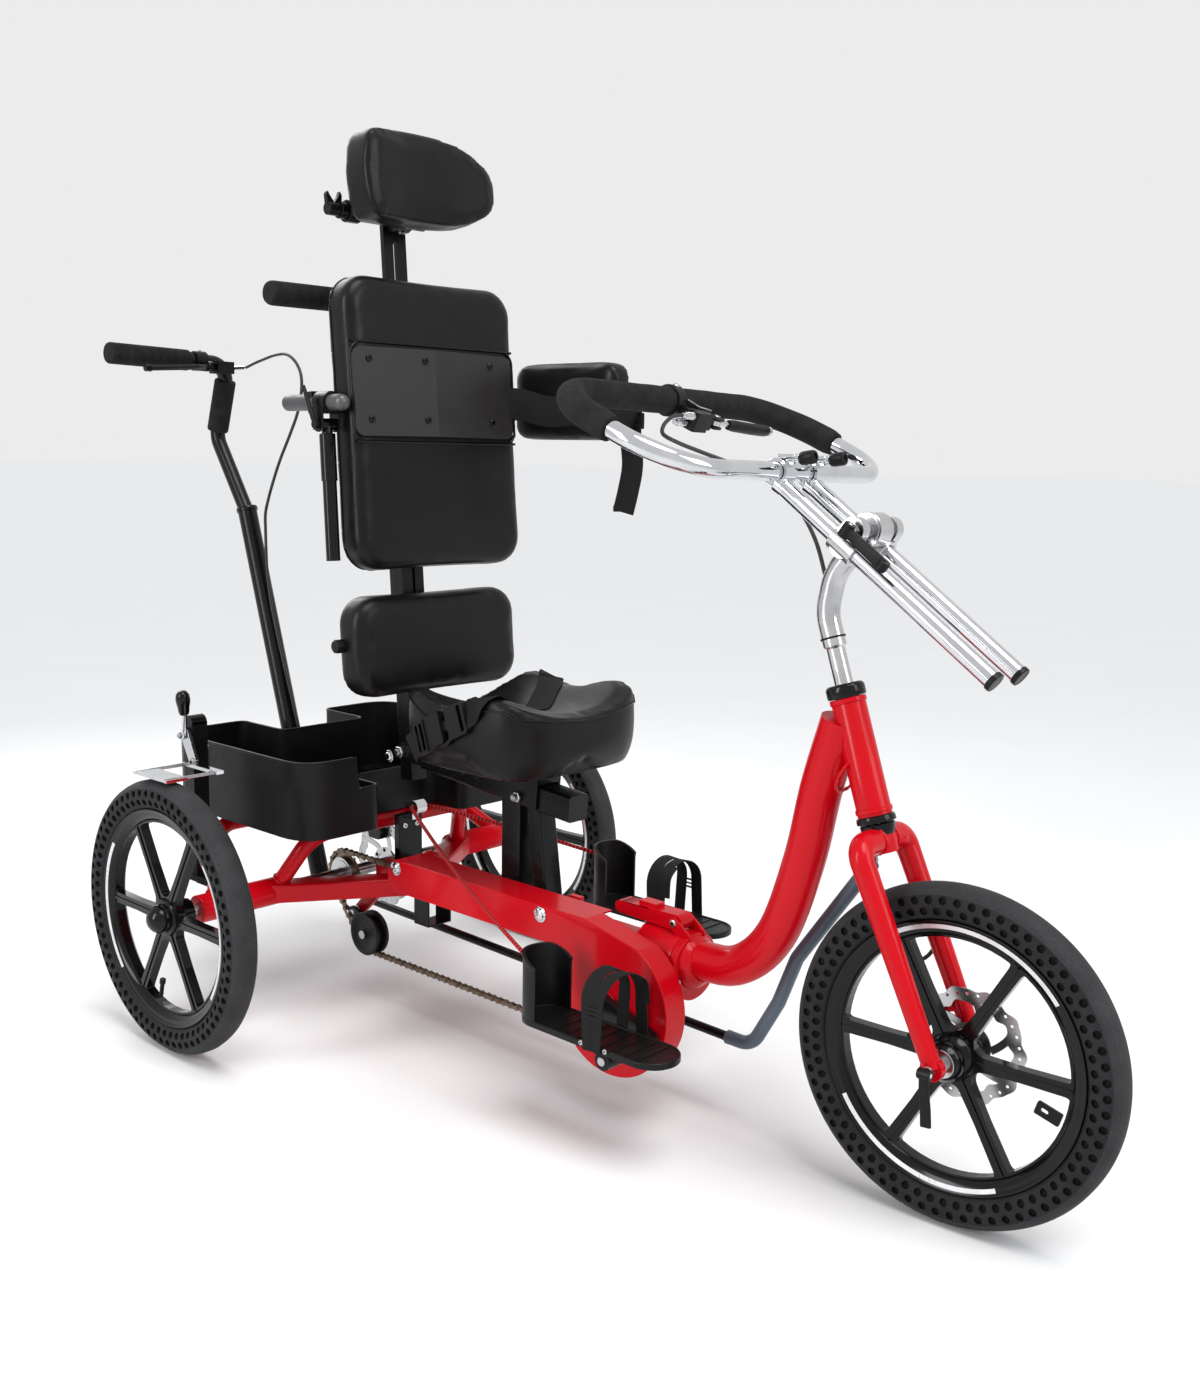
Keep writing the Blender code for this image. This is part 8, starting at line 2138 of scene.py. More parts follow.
def headrest():
    low = RAIL_TOP + 0.0005
    outline = rounded((-RAIL_HALF, RAIL_HALF), (low, HEAD_HUB.z + 0.012), 0.004)
    groove = rounded((-0.0035, 0.0035), (low + 0.02, HEAD_HUB.z - 0.03), 0.003)
    stem_bar = moved(BACK @ Matrix.Translation((POST_HALF + 0.0044, 0, 0)) @ FRONT,
                     plate([outline, groove], 0.0076))
    boss = ring(0.0127, 0.0184, 0.0129, back(*HEAD_HUB), SIDEWAYS, 48)
    web = back_box((POST_HALF + 0.002, HEAD_HUB.x - 0.013), (-0.0128, 0.0128),
                   (HEAD_HUB.z - 0.0128, HEAD_HUB.z + 0.0108))
    clamp = screw(back(HEAD_HUB.x + 0.002, 0.0, HEAD_HUB.z - 0.0180), BACK.to_3x3() @ Vector((0, 0, -1)),
                  0.0050, 0.0030)
    piece("headrest_stem", "headrest_stem", "black paint", [(BLACK, [stem_bar, boss, web]), (STEEL, clamp)],
          ["headrest_stem"], edge=0.0009)

    def form(u, v, w):
        wing = 0.52 * v * v + 0.06 * v * v * (1 if v < 0 else -1)
        taper = 1 - (0.22 * v * v + 0.30 * v**6 if v > 0 else 0.06 * v * v)
        u = u * (1 - 0.12 * max(abs(v), abs(w)) ** 3 + (0.08 if v < -0.6 else 0.0)) + wing
        return u, v * (1 - 0.09 * w * w), w * taper - 0.10 * v * v

    made = caged((0.058, 0.246, 0.126), 6, form, 2)
    centre = back(HEAD_HUB.x + 0.046, -0.003, HEAD_HUB.z + 0.044)
    place = Matrix.Translation(centre) @ BACK.to_3x3().to_4x4()
    made = moved(place, made)
    made = stuffed(made, 0.0020, 0.005, 3.0)
    tube = back_rod(0.0119, (HEAD_HUB.x, -0.1118, HEAD_HUB.z), (HEAD_HUB.x, 0.0448, HEAD_HUB.z), 40)
    mounts = [back_box((HEAD_HUB.x - 0.004, HEAD_HUB.x + 0.034), sorted((side * 0.0202, side * 0.0358)),
                       (HEAD_HUB.z - 0.0098, HEAD_HUB.z + 0.0218)) for side in (1, -1)]
    collar = back_rod(0.0154, (HEAD_HUB.x, -0.0998, HEAD_HUB.z), (HEAD_HUB.x, -0.0782, HEAD_HUB.z), 40)
    wing_outline = [(-0.010, -0.006), (0.010, -0.006), (0.0125, 0.004), (0.0135, 0.020), (0.0105, 0.025),
                    (0.0075, 0.018), (0.0, 0.0085), (-0.0075, 0.018), (-0.0105, 0.0235), (-0.0135, 0.019),
                    (-0.0125, 0.004)]
    wing = plate([wing_outline], 0.0072, BACK @ Matrix.Translation((HEAD_HUB.x, -0.120, HEAD_HUB.z)) @ FRONT)
    hub_knob = back_rod(0.0092, (HEAD_HUB.x, -0.1315, HEAD_HUB.z), (HEAD_HUB.x, -0.108, HEAD_HUB.z), 32)
    dots = screw(back(HEAD_HUB.x + 0.0148, -0.089, HEAD_HUB.z), BACK.to_3x3() @ FORWARD, 0.0036, 0.0018)
    cushion = piece("headrest", "headrest", "black vinyl", [(VINYL, [made])], ["headrest"], smooth=60)
    piece("headrest_tube", "headrest", "black paint",
          [(BLACK, [tube, *mounts, collar]), (MOULDED, [wing, hub_knob]), (CHROME, dots)], edge=0.0009)


# Camera, light and floor

CAMERA_PLACE = Vector((1.802 - MIDDLE_X, -1.421, 0.871))
CAMERA_YAW = math.radians(132.51)
CAMERA_PITCH = math.radians(9.7)
CAMERA_ROLL = math.radians(-0.96)
CAMERA_LENS = 37.26
SENSOR_WIDTH = 36.0
LAMP_SPREAD = math.radians(110)
FLOOR_REACH = 60.0
FLOOR_Z = -0.0005


def camera():
    data = bpy.data.cameras.new("camera")
    data.lens = CAMERA_LENS
    data.sensor_width = SENSOR_WIDTH
    data.clip_start = 0.05
    data.clip_end = 100.0
    made = bpy.data.objects.new("camera", data)
    level = math.cos(CAMERA_PITCH)
    ahead = Vector((math.cos(CAMERA_YAW) * level, math.sin(CAMERA_YAW) * level, -math.sin(CAMERA_PITCH)))
    right = Vector((math.sin(CAMERA_YAW), -math.cos(CAMERA_YAW), 0.0))
    down = ahead.cross(right)
    across_picture = right * math.cos(CAMERA_ROLL) + down * math.sin(CAMERA_ROLL)
    down_picture = down * math.cos(CAMERA_ROLL) - right * math.sin(CAMERA_ROLL)
    turn = Matrix((across_picture, -down_picture, -ahead)).transposed().to_4x4()
    made.matrix_world = Matrix.Translation(CAMERA_PLACE) @ turn
    bpy.context.scene.collection.objects.link(made)
    bpy.context.scene.camera = made


def lamp(name, place, aim, size, power):
    data = bpy.data.lights.new(name, "AREA")
    data.shape = "RECTANGLE"
    data.size, data.size_y = size
    data.energy = power
    data.spread = LAMP_SPREAD
    made = bpy.data.objects.new(name, data)
    made.location = place
    made.rotation_euler = (Vector(aim) - Vector(place)).to_track_quat("-Z", "Y").to_euler()
    bpy.context.scene.collection.objects.link(made)


def sun(name, toward, power, soft):
    data = bpy.data.lights.new(name, "SUN")
    data.energy = power
    data.angle = math.radians(soft)
    made = bpy.data.objects.new(name, data)
    made.rotation_euler = Vector(toward).to_track_quat("Z", "Y").to_euler()
    bpy.context.scene.collection.objects.link(made)


def studio():
    """A soft high sun that lights the floor evenly, three soft boxes, and a pale surround that looks white."""
    sun("high light", (0.50, -0.10, 1.20), 2.0, 34.0)
    lamp("left box", (-0.6, -3.2, 1.7), (0.0, 0.0, 0.6), (0.9, 2.4), 22.0)
    lamp("front box", (3.2, 0.6, 2.2), (0.2, 0.0, 0.5), (1.6, 2.0), 15.0)
    lamp("back box", (-2.8, 0.4, 2.2), (0.0, 0.0, 0.7), (1.6, 2.0), 16.0)
    world = bpy.data.worlds.new("studio")
    world.use_nodes = True
    tree = world.node_tree
    around = tree.nodes["Background"]
    around.inputs["Color"].default_value = (0.92, 0.95, 1.0, 1.0)
    around.inputs["Strength"].default_value = 0.30
    bpy.context.scene.world = world
    bpy.context.scene.view_settings.view_transform = "Standard"
    white = tree.nodes.new("ShaderNodeBackground")
    white.inputs["Color"].default_value = (0.84, 0.84, 0.84, 1.0)
    path = tree.nodes.new("ShaderNodeLightPath")
    mix = tree.nodes.new("ShaderNodeMixShader")
    seen = wire(tree, "Math", {0: path.outputs["Is Camera Ray"], 1: path.outputs["Is Glossy Ray"]},
                operation="MAXIMUM")
    seen = wire(tree, "Math", {0: seen, 1: path.outputs["Is Transmission Ray"]}, operation="MAXIMUM")
    tree.links.new(seen, mix.inputs[0])
    tree.links.new(around.outputs[0], mix.inputs[1])
    tree.links.new(white.outputs[0], mix.inputs[2])
    tree.links.new(mix.outputs[0], tree.nodes["World Output"].inputs["Surface"])


def floor():
    """A plain pale floor that runs on to where the white surround begins."""
    data = bpy.data.meshes.new("floor")
    corners = [(u * FLOOR_REACH, v * FLOOR_REACH, FLOOR_Z) for u, v in ((-1, -1), (1, -1), (1, 1), (-1, 1))]
    data.from_pydata(corners, [], [(0, 1, 2, 3)])
    made = bpy.data.objects.new("floor", data)
    pale, tree, shader = start_material("pale floor", specular=0.1)
    grain = wire(tree, "TexNoise", {"Vector": scaled_coordinates(tree, (1, 1, 1)), "Scale": 3.0, "Detail": 4.0})
    connect(tree, shader, two_tone(tree, grain, (0.925, 0.925, 0.925), (0.94, 0.94, 0.94)),
            span(tree, grain, 0.7, 0.8))
    data.materials.append(pale)
    bpy.context.scene.collection.objects.link(made)


# Handlebar

STEM_CLAMP = Vector((0.911, 0.0, 0.788))
REACH_SLOPE = math.radians(35.9)
REACH_LENGTH = 0.348
REACH_SPREAD = 0.034
BAR_RADIUS = 0.0111
FOAM_RADIUS = 0.017
LOOP_FRONT = Vector((0.806, 0.0, 0.850))
LOOP_SLOPE = math.radians(24)
LOOP_DEPTH = 0.208
LOOP_HALF_WIDTH = 0.240
LOOP_CORNER = 0.085
FOAM_START = 0.098
REACH_AXIS = Vector((math.cos(REACH_SLOPE), 0.0, -math.sin(REACH_SLOPE)))
REACH_DOWN = Vector((-math.sin(REACH_SLOPE), 0.0, -math.cos(REACH_SLOPE)))
REACH_TOP = LOOP_FRONT + REACH_DOWN * 0.0105
LOOP_RISE = Vector((-math.cos(LOOP_SLOPE), 0.0, math.sin(LOOP_SLOPE)))
LOOP_NORMAL = Vector((math.sin(LOOP_SLOPE), 0.0, math.cos(LOOP_SLOPE)))
QUILL_TOP = 0.217


def reach_point(distance, y=0.0):
    return REACH_TOP + REACH_AXIS * distance + Vector((0, y, 0))


def loop_point(u, v):
    return LOOP_FRONT + LOOP_RISE * v + Vector((0, u, 0))


def lever_point(u, v, w):
    return loop_point(u, v) + LOOP_NORMAL * w


def lever_frame(u, v, w):
    return Matrix.Translation(lever_point(u, v, w)) @ Matrix.Rotation(LOOP_SLOPE, 4, "Y")


def loop_path(steps):
    half, depth, corner = LOOP_HALF_WIDTH, LOOP_DEPTH, LOOP_CORNER
    points = []
    for u, v, start in ((half - corner, corner, -90), (half - corner, depth - corner, 0),
                        (-half + corner, depth - corner, 90), (-half + corner, corner, 180)):
        points += arc(u, v, corner, start, start + 90, steps)
    return [loop_point(u, v) for u, v in points]


def stem():
    neck = [steer(0, 0, QUILL_TOP - 0.004), steer(0, 0, QUILL_TOP + 0.035),
            STEM_CLAMP + Vector((-0.045, 0, -0.052)), STEM_CLAMP]
    quill = rod(0.0110, steer(0, 0, 0.100), steer(0, 0, QUILL_TOP + 0.004), 40)
    step_ring = turned([(0.0110, -0.003), (0.0139, 0.0), (0.0139, 0.006)], steer(0, 0, QUILL_TOP - 0.006),
                       HEAD_AXIS, 48)
    shapes = [quill, pipe(bent_path(neck, 0.06, 3), 0.0139, 40), step_ring,
              across(0.0199, STEM_CLAMP.x, STEM_CLAMP.z, -0.0149, 0.0149, 56),
              ring(0.0075, 0.0168, 0.0153, STEM_CLAMP, steps=48)]
    tie_z = QUILL_TOP + 0.004
    ties = [ring(0.0139, 0.0152, 0.0012, steer(0, 0, tie_z), HEAD_AXIS, 48),
            rod(0.0018, steer(-0.0135, -0.004, tie_z), steer(-0.0155, 0.006, tie_z), 12)]
    piece("stem", "stem", "brushed steel", [(ALLOY, shapes), (MOULDED, ties)], ["stem"], matrix=TURNED)


def bar_clamp():
    along_bars = (STEM_CLAMP - REACH_TOP).dot(REACH_AXIS)
    held = reach_point(along_bars)
    shapes, dark = [across(0.0071, STEM_CLAMP.x, STEM_CLAMP.z, -0.0523, 0.0523, 32)], []
    steel = screw((STEM_CLAMP.x, 0.0478, STEM_CLAMP.z), (0, 1, 0), 0.0090, 0.0042)
    outline = belt([(STEM_CLAMP.x, STEM_CLAMP.z, 0.0148), (held.x, held.z, 0.0150)], 24)
    for side in (1, -1):
        y = side * REACH_SPREAD
        boss_y = y - side * 0.013
        shapes.append(side_plate([outline], 0.0150, y + side * 0.006))
        shapes.append(ring(BAR_RADIUS + 0.0006, 0.0166, 0.0175, reach_point(along_bars, y), REACH_AXIS, 48))
        boss_start, boss_end = [reach_point(along_bars + off, boss_y) + REACH_DOWN * 0.002
                                for off in (-0.006, 0.006)]
        shapes.append(rod(0.0052, boss_start, boss_end, 24))
        # A thin black bar along the top of the ring stands for the clamp's slit: painted shade.
        cut = reach_point(along_bars, y) - REACH_DOWN * 0.0158
        dark.append(bar(cut - REACH_AXIS * 0.0170, cut + REACH_AXIS * 0.0170, 0.0016, 0.0022))
        for off in (-0.009, 0.009):
            steel += screw(reach_point(along_bars + off, y) - REACH_DOWN * 0.0160, -REACH_DOWN, 0.0036, 0.0022)
    piece("bar_clamp", "bar_clamp", "brushed steel", [(ALLOY, shapes), (BLACK, dark), (STEEL, steel)],
          ["bar_clamp"], matrix=TURNED, edge=0.0012)

    pivot = STEM_CLAMP + Vector((0.0, -0.0595, 0.0))
    barrel = pin_through(0.0067, pivot, REACH_DOWN * 0.0089, 36)
    start, end = pivot + REACH_AXIS * -0.002, pivot + REACH_AXIS * 0.0615 + Vector((0, -0.0058, 0))

    bow = [start, start.lerp(end, 0.35) + Vector((0, -0.0012, 0)),
           start.lerp(end, 0.7) + Vector((0, 0.0004, 0)), end]
    blade = sweep(smooth_path(bow, 0.004),
                  lambda share: soft_section(0.0029 - 0.0004 * share, 0.0058 + 0.0016 * share, 0.42),
                  side=SIDEWAYS)
    tip = pin_through(0.0068, end, REACH_DOWN * 0.0060, 32)
    pin = pin_through(0.0030, pivot, REACH_DOWN * 0.0092, 24)
    piece("bar_clamp_lever", "bar_clamp_lever", "black plastic",
          [(MOULDED, [barrel, blade, tip]), (CHROME, [pin])], ["bar_clamp_lever"], matrix=TURNED, edge=0.0006)


def reach_bars():
    """Each bar with its saddle and jaw on the loop, a thumb screw through them, and the plug at its low end."""
    x, z = LOOP_FRONT.x, LOOP_FRONT.z
    for side, label in ((-1, "right"), (1, "left")):
        y = side * REACH_SPREAD
        tube = rod(BAR_RADIUS, reach_point(0.010, y), reach_point(REACH_LENGTH, y), 56)
        saddle = ring(BAR_RADIUS + 0.0006, 0.0160, 0.0115, (x, y, z), steps=56)
        neck = rod(0.0125, reach_point(0.006, y), reach_point(0.020, y), 40, BAR_RADIUS + 0.0002)
        jaws = [box((x + start, x + 0.0205), (y - 0.0060, y + 0.0060), (z + low, z + high))
                for start, low, high in ((0.004, 0.0085, 0.0115), (-0.001, 0.0165, 0.0205))]
        screw_pin = rod(0.0032, (x + 0.006, y, z + 0.0130), (x + 0.034, y, z + 0.0165), 20)
        collar = rod(0.0062, (x + 0.0205, y, z + 0.0146), (x + 0.0268, y, z + 0.0154), 28)
        matrix, length = along((x + 0.0262, y, z + 0.0153), (x + 0.0458, y, z + 0.0180))
        profile = [(0.0060, 0), (0.0076, 0.0016), (0.0082, 0.006), (0.0082, length - 0.003),
                   (0.0072, length - 0.0004), (0.0046, length - 0.0002), (0.0040, length - 0.0030),
                   (0.0002, length - 0.0030)]
        knob = moved(matrix, turned(profile, axis=UP, steps=36))
        plug = rod(BAR_RADIUS + 0.0009, reach_point(REACH_LENGTH - 0.0008, y),
                   reach_point(REACH_LENGTH + 0.0058, y), 48)
        chromed = [tube, saddle, neck, *jaws, screw_pin, collar]
        piece("reach_bar_" + label, "reach_bars", "chrome", [(CHROME, chromed), (MOULDED, [knob, plug])],
              ["reach_bar_" + label], matrix=TURNED, edge=0.0006)


def handlebar():
    """The loop, and the foam sleeve over its near half with slightly uneven thickness."""
    path = loop_path(14)
    piece("handlebar", "handlebar", "chrome", [(CHROME, [pipe(path, BAR_RADIUS, 40, closed=True)])],
          ["handlebar"], matrix=TURNED)
    middle = path[len(path) // 4 : 3 * len(path) // 4]
    ends = [loop_point(side * LOOP_HALF_WIDTH, FOAM_START) for side in (1, -1)]
    dense = divided_path([ends[0], *middle, ends[1]], 0.008)
    total = len(dense) - 1

    def section(share):
        index = share * total
        edge = min(index, total - index)
        radius = FOAM_RADIUS - 0.0003 - 0.0016 * max(0.0, 1 - edge / 1.2)
        radius += 0.00016 * math.sin(37.0 * share) + 0.0001 * math.sin(91.0 * share)
        return disc(radius, 36)

    sleeve = sweep(dense, section)
    piece("handlebar_grip", "handlebar", "dark foam", [(FOAM, [sleeve])], ["handlebar_grip"], matrix=TURNED)


def brake_lever():
    """The brake lever's band round the foam, its body with two silver adjusters, and the sleeved lever."""
    at = loop_point(0.004, LOOP_DEPTH)
    band = ring(FOAM_RADIUS - 0.0004, 0.0200, 0.0080, at, steps=56)
    turn = lever_frame(0.030, 0.175, -0.010)
    body = moved(turn, plate([rounded((-0.0118, 0.0118), (-0.0226, 0.0100), 0.004)], 0.0245))
    body_end = moved(turn, plate([rounded((-0.0095, 0.0095), (0.0030, 0.0200), 0.004)], 0.0190))
    neck = moved(lever_frame(0.008, 0.1815, -0.004),
                 box((-0.0072, 0.0072), (-0.0078, 0.0078), (-0.0068, 0.0068)))
    pivot = lever_point(0.0615, 0.172, -0.010)
    ear = plate([rounded((-0.0088, 0.0088), (-0.0108, 0.0108), 0.005)], 0.0028)
    ears = [moved(lever_frame(0.0605, 0.172, w), ear) for w in (-0.0042, -0.0158)]
    pin = [pin_through(0.0030, pivot, LOOP_NORMAL * 0.0079, 24),
           *screw(pivot + LOOP_NORMAL * 0.0074, LOOP_NORMAL, 0.0046, 0.0018)]
    adjusters = []
    for v, w in ((0.170, -0.004), (0.178, -0.016)):
        adjusters += [rod(0.0046, lever_point(0.010, v, w), lever_point(-0.010, v, w), 28),
                      rod(0.0032, lever_point(-0.009, v, w), lever_point(-0.0158, v, w), 24)]
        adjusters += [ring(0.0044, 0.0050, 0.0006, lever_point(u, v, w), steps=28)
                      for u in (0.006, 0.003, 0.0, -0.003, -0.006)]
    clamp_screw = screw(loop_point(0.004, LOOP_DEPTH) + LOOP_NORMAL * 0.0196, LOOP_NORMAL, 0.0042, 0.0024)
    link = [strap([lever_point(0.010, 0.190, 0.010), lever_point(0.030, 0.184, 0.0045),
                   lever_point(0.048, 0.176, 0.0032)], 0.007, 0.0022, LOOP_RISE)]
    piece("brake_lever_clamp", "handlebar", "black plastic",
          [(MOULDED, [band, body, body_end, neck, *ears]), (CHROME, [*adjusters, *link]),
           (STEEL, [*pin, *clamp_screw])],
          ["brake_lever_clamp"], matrix=TURNED, edge=0.0008)
    eye = pin_through(0.0074, pivot, LOOP_NORMAL * 0.0037, 36)
    tip = lever_point(0.168, 0.160, -0.012)
    blade_path = smooth_path([pivot, lever_point(0.080, 0.1690, -0.0105), lever_point(0.100, 0.166, -0.011)],
                             0.003)
    blade = sweep(blade_path, soft_section(0.0034, 0.0028, 0.5))
    grip_path = [lever_point(0.086, 0.1680, -0.011), lever_point(0.112, 0.1636, -0.0112),
                 lever_point(0.140, 0.1606, -0.0117), tip]
    sleeve = sweep(smooth_path(grip_path, 0.004),
                   lambda share: disc(0.0062 + 0.0014 * min(1.0, 8 * share, 9 * (1.02 - share)), 24))
    ball = rod(0.0064, tip, tip + (tip - pivot).normalized() * 0.0058, 28)
    piece("front_brake_lever", "front_brake_lever", "brushed steel",
          [(ALLOY, [eye, blade, ball]), (MOULDED, [sleeve])], ["front_brake_lever"], matrix=TURNED, edge=0.0006)


def axle_lever():
    pivot = FRONT_CENTRE - Vector((0.0, FORK_HALF + 0.011 + 0.0088, 0.0))
    barrel = pin_through(0.0064, pivot, Vector((0.0078, 0, 0)), 32)
    pin = pin_through(0.0030, pivot, Vector((0.0079, 0, 0)), 20)
    path = [pivot + Vector(off)
            for off in ((0.0, -0.0010, -0.002), (0.002, -0.0022, -0.020), (0.0045, -0.0016, -0.040),
                        (0.006, -0.0010, -0.0595))]
    blade = sweep(smooth_path(path, 0.003), lambda share: soft_section(0.0058 + 0.0004 * share, 0.0023, 0.4),
                  side=FORWARD)
    piece("axle_lever", "axle_lever", "black plastic", [(MOULDED, [barrel, blade]), (CHROME, [pin])],
          ["axle_lever"], matrix=TURNED, edge=0.0005)


# Push handle and steering rod

COLUMN_TOP = 0.640
COLUMN_ARM = 0.050
HANDLE_RADIUS = 0.0125
HANDLE_BEND = Vector((-0.412, 0.0, 0.885))
HANDLE_TOP = Vector((-0.372, 0.0, 1.006))
HANDLE_END_Y = -0.215
PUSH_PIVOT = HANDLE_TOP + Vector((0.028, -0.052, -0.008))
COLUMN_AXIS = (COLUMN.to_3x3() @ UP).normalized()


def push_handle():
    tube = rod(COLUMN_RADIUS - 0.0001, column(0, 0, 0.0005), column(0, 0, COLUMN_TOP), 48)
    collar = turned([(0.0150, -0.004), (0.0178, -0.0030), (0.0178, 0.0024), (0.0168, 0.0038),
                     (0.0130, 0.0039)], column(0, 0, COLUMN_TOP), COLUMN_AXIS, 48)
    path = [column(0, 0, COLUMN_TOP - 0.01), HANDLE_BEND, HANDLE_TOP,
            HANDLE_TOP + Vector((0.002, HANDLE_END_Y, 0.006))]
    upper = pipe(bent_path(path, 0.035, 5), HANDLE_RADIUS - 0.0001, 40)
    start, end = HANDLE_BEND.lerp(HANDLE_TOP, 0.08), HANDLE_BEND.lerp(HANDLE_TOP, 0.78)
    matrix, length = along(start, end)
    foam = moved(matrix,
                 turned([(0.0126, 0), (0.0168, 0.0006), (0.0178, 0.003), (0.0178, length - 0.003),
                         (0.0168, length - 0.0006), (0.0126, length)], axis=UP, steps=40))
    arm = moved(COLUMN, plate([belt([(0.0, 0.0, COLUMN_RADIUS + 0.0048), (0.0, COLUMN_ARM, 0.0083)], 20)],
                              0.0058, Matrix.Translation((0, 0, 0.003))))
    stop = turned([(0.0162, 0.0), (0.0206, 0.0008), (0.0208, 0.0116), (0.0200, 0.0127), (0.0162, 0.0127)],
                  column(0, 0, 0.083), COLUMN_AXIS, 48)
    clamp_centre = HANDLE_TOP + Vector((0.001, -0.056, 0.002))
    band = ring(0.0124, 0.0162, 0.0108, (clamp_centre.x, clamp_centre.y - 0.001, clamp_centre.z), steps=48)
    pivot = PUSH_PIVOT
    body = box((pivot.x - 0.0178, pivot.x + 0.0098), (pivot.y + 0.0087, pivot.y + 0.0398),
               (pivot.z - 0.0098, pivot.z + 0.0098))
    neck = box((clamp_centre.x, pivot.x - 0.0042), (pivot.y + 0.0092, pivot.y + 0.0218),
               (pivot.z - 0.0058, pivot.z + 0.0078))
    adjuster = rod(0.0043, (pivot.x + 0.004, pivot.y + 0.036, pivot.z),
                   (pivot.x + 0.012, pivot.y + 0.0575, pivot.z + 0.002), 28)
    ears = [box((pivot.x - 0.0078, pivot.x + 0.0078), (pivot.y - 0.0068, pivot.y + 0.0098),
                sorted((pivot.z + side * 0.0046, pivot.z + side * 0.0073))) for side in (1, -1)]
    pin = [pin_through(0.003, pivot, UP * 0.0069, 20), *screw(pivot + UP * 0.0068, UP, 0.0042, 0.0016),
           *screw(clamp_centre + Vector((0, 0, 0.0158)), UP, 0.0040, 0.0022)]
    bolt = screw(column(-0.0160, 0, COLUMN_TOP - 0.030), COLUMN.to_3x3() @ Vector((-1, 0, 0)), 0.0062, 0.0034)
    piece("push_handle", "push_handle", "black paint",
          [(BLACK, [tube, collar, upper, arm, stop]), (FOAM, [foam]), (MOULDED, [band, body, neck, *ears]),
           (CHROME, [adjuster]), (STEEL, [*pin, *bolt])], ["push_handle"], edge=0.0008)
    grip_start = HANDLE_TOP + Vector((0.001, -0.078, 0.0022))
    grip_end = HANDLE_TOP + Vector((0.002, HANDLE_END_Y - 0.006, 0.006))
    matrix, length = along(grip_start, grip_end)
    profile = [(0.0130, 0.0), (0.0162, 0.0004), (0.0171, 0.0028)]
    for k in range(1, 10):
        h = length * k / 10
        profile += [(0.0171, h - 0.0016), (0.0165, h), (0.0171, h + 0.0016)]
    profile += [(0.0171, length - 0.003), (0.0160, length - 0.0004), (0.0120, length - 0.0001)]
    piece("push_grip", "push_handle", "dark foam",
          [(FOAM, [moved(matrix, turned(profile, axis=UP, steps=44))])], ["push_grip"])
    eye = pin_through(0.0071, pivot, UP * 0.0038, 32)
    bend, tip = pivot + Vector((0.012, -0.030, -0.002)), pivot + Vector((0.012, -0.120, -0.008))
    blade = sweep(bent_path([pivot, bend, tip], 0.03),
                  lambda share: soft_section(0.0037, 0.0030 + 0.0007 * share, 0.5))
    end = rod(0.0057, tip + Vector((0, 0.0038, 0)), tip + Vector((0, -0.0078, 0)), 28)
    piece("push_brake_lever", "push_brake_lever", "brushed steel", [(BLACK, [eye, blade, end])],
          ["push_brake_lever"], edge=0.0005)


def steered(x, y, z):
    """A point of the fork's frame at its rest angle."""
    turn_cos, turn_sin = math.cos(REST_STEER), math.sin(REST_STEER)
    return steer(x * turn_cos - y * turn_sin, x * turn_sin + y * turn_cos, z)


def steering_rod():
    """A thin rod from the column's arm, in a thick bent sleeve in front, up to the arm on the fork."""
    front_top = steered(-0.048, 0.050, -0.027 - 0.003 - 0.0008)
    front_end = steered(-0.048, 0.050, -0.027 - 0.024)
    rear_top, rear_end = column(0, COLUMN_ARM, -0.0008), column(0, COLUMN_ARM, -0.020)
    y = COLUMN_ARM
    lower = [rear_end, (-0.070, y, 0.118), (0.340, y, 0.108), (0.655, y, 0.101), (0.736, y, 0.100),
             (0.7845, y, 0.193)]
    upper = [(0.776, y, 0.171), (0.802, y, 0.238), front_end]
    thin = pipe(bent_path(lower, 0.035, 4), 0.0064, 28)
    thick = pipe(bent_path([(0.696, y, 0.1007), (0.736, y, 0.1003), upper[0], *upper[1:]], 0.034, 5), 0.0093,
                 36)
    cuff = ring(0.0060, 0.0095, 0.0030, (0.6985, y, 0.1007), FORWARD, 40)
    joints = []
    for top, end, axis in ((front_top, front_end, HEAD_AXIS), (rear_top, rear_end, COLUMN_AXIS)):
        low = end - axis * (0.002 if axis is HEAD_AXIS else 0.006)
        matrix, length = along(low, top)
        profile = [(0.0040, 0), (0.0074, 0.0016), (0.0084, 0.0050), (0.0084, length - 0.006),
                   (0.0070, length - 0.0030), (0.0050, length - 0.0028), (0.0050, length)]
        joints.append(moved(matrix, turned(profile, axis=UP, steps=40)))
    piece("steering_rod", "steering_rod", "blue grey sleeve",
          [(BLACK, [thin]), (SLEEVE, [thick, cuff]), (STEEL, joints)], ["steering_rod"])


# Cables and cord


def at_rest(point):
    """A point on the fork's side, turned to its rest angle."""
    return HEAD_LOW + Matrix.Rotation(REST_STEER, 3, HEAD_AXIS) @ (Vector(point) - HEAD_LOW)


CABLE_RADIUS = 0.0025
FRONT_CALLIPER_ARM = FRONT_CALLIPER + Vector((-0.0165, 0.009, 0.0475))
FRONT_ROUTE = (
    (0.668, -0.080, 0.892), (0.720, -0.072, 0.872), (0.770, -0.040, 0.850), (0.800, -0.004, 0.822),
    (0.830, 0.012, 0.770), (0.846, 0.022, 0.700), (0.852, 0.025, 0.645), (0.868, 0.040, 0.560),
    (0.905, 0.055, 0.460), (0.945, 0.072, 0.370), (0.985, 0.070, 0.300),
)


def cable(name, route, spacing, radius, material, slot, node):
    """A cable or cord along its route, as the CAD has it. Both its ends go back into the object."""
    coarse = smooth_path(route, spacing)
    path = smooth_path(coarse, spacing / 6)
    made = piece(name, "frame", slot, [(material, [pipe(path, radius, 16)])], [node])


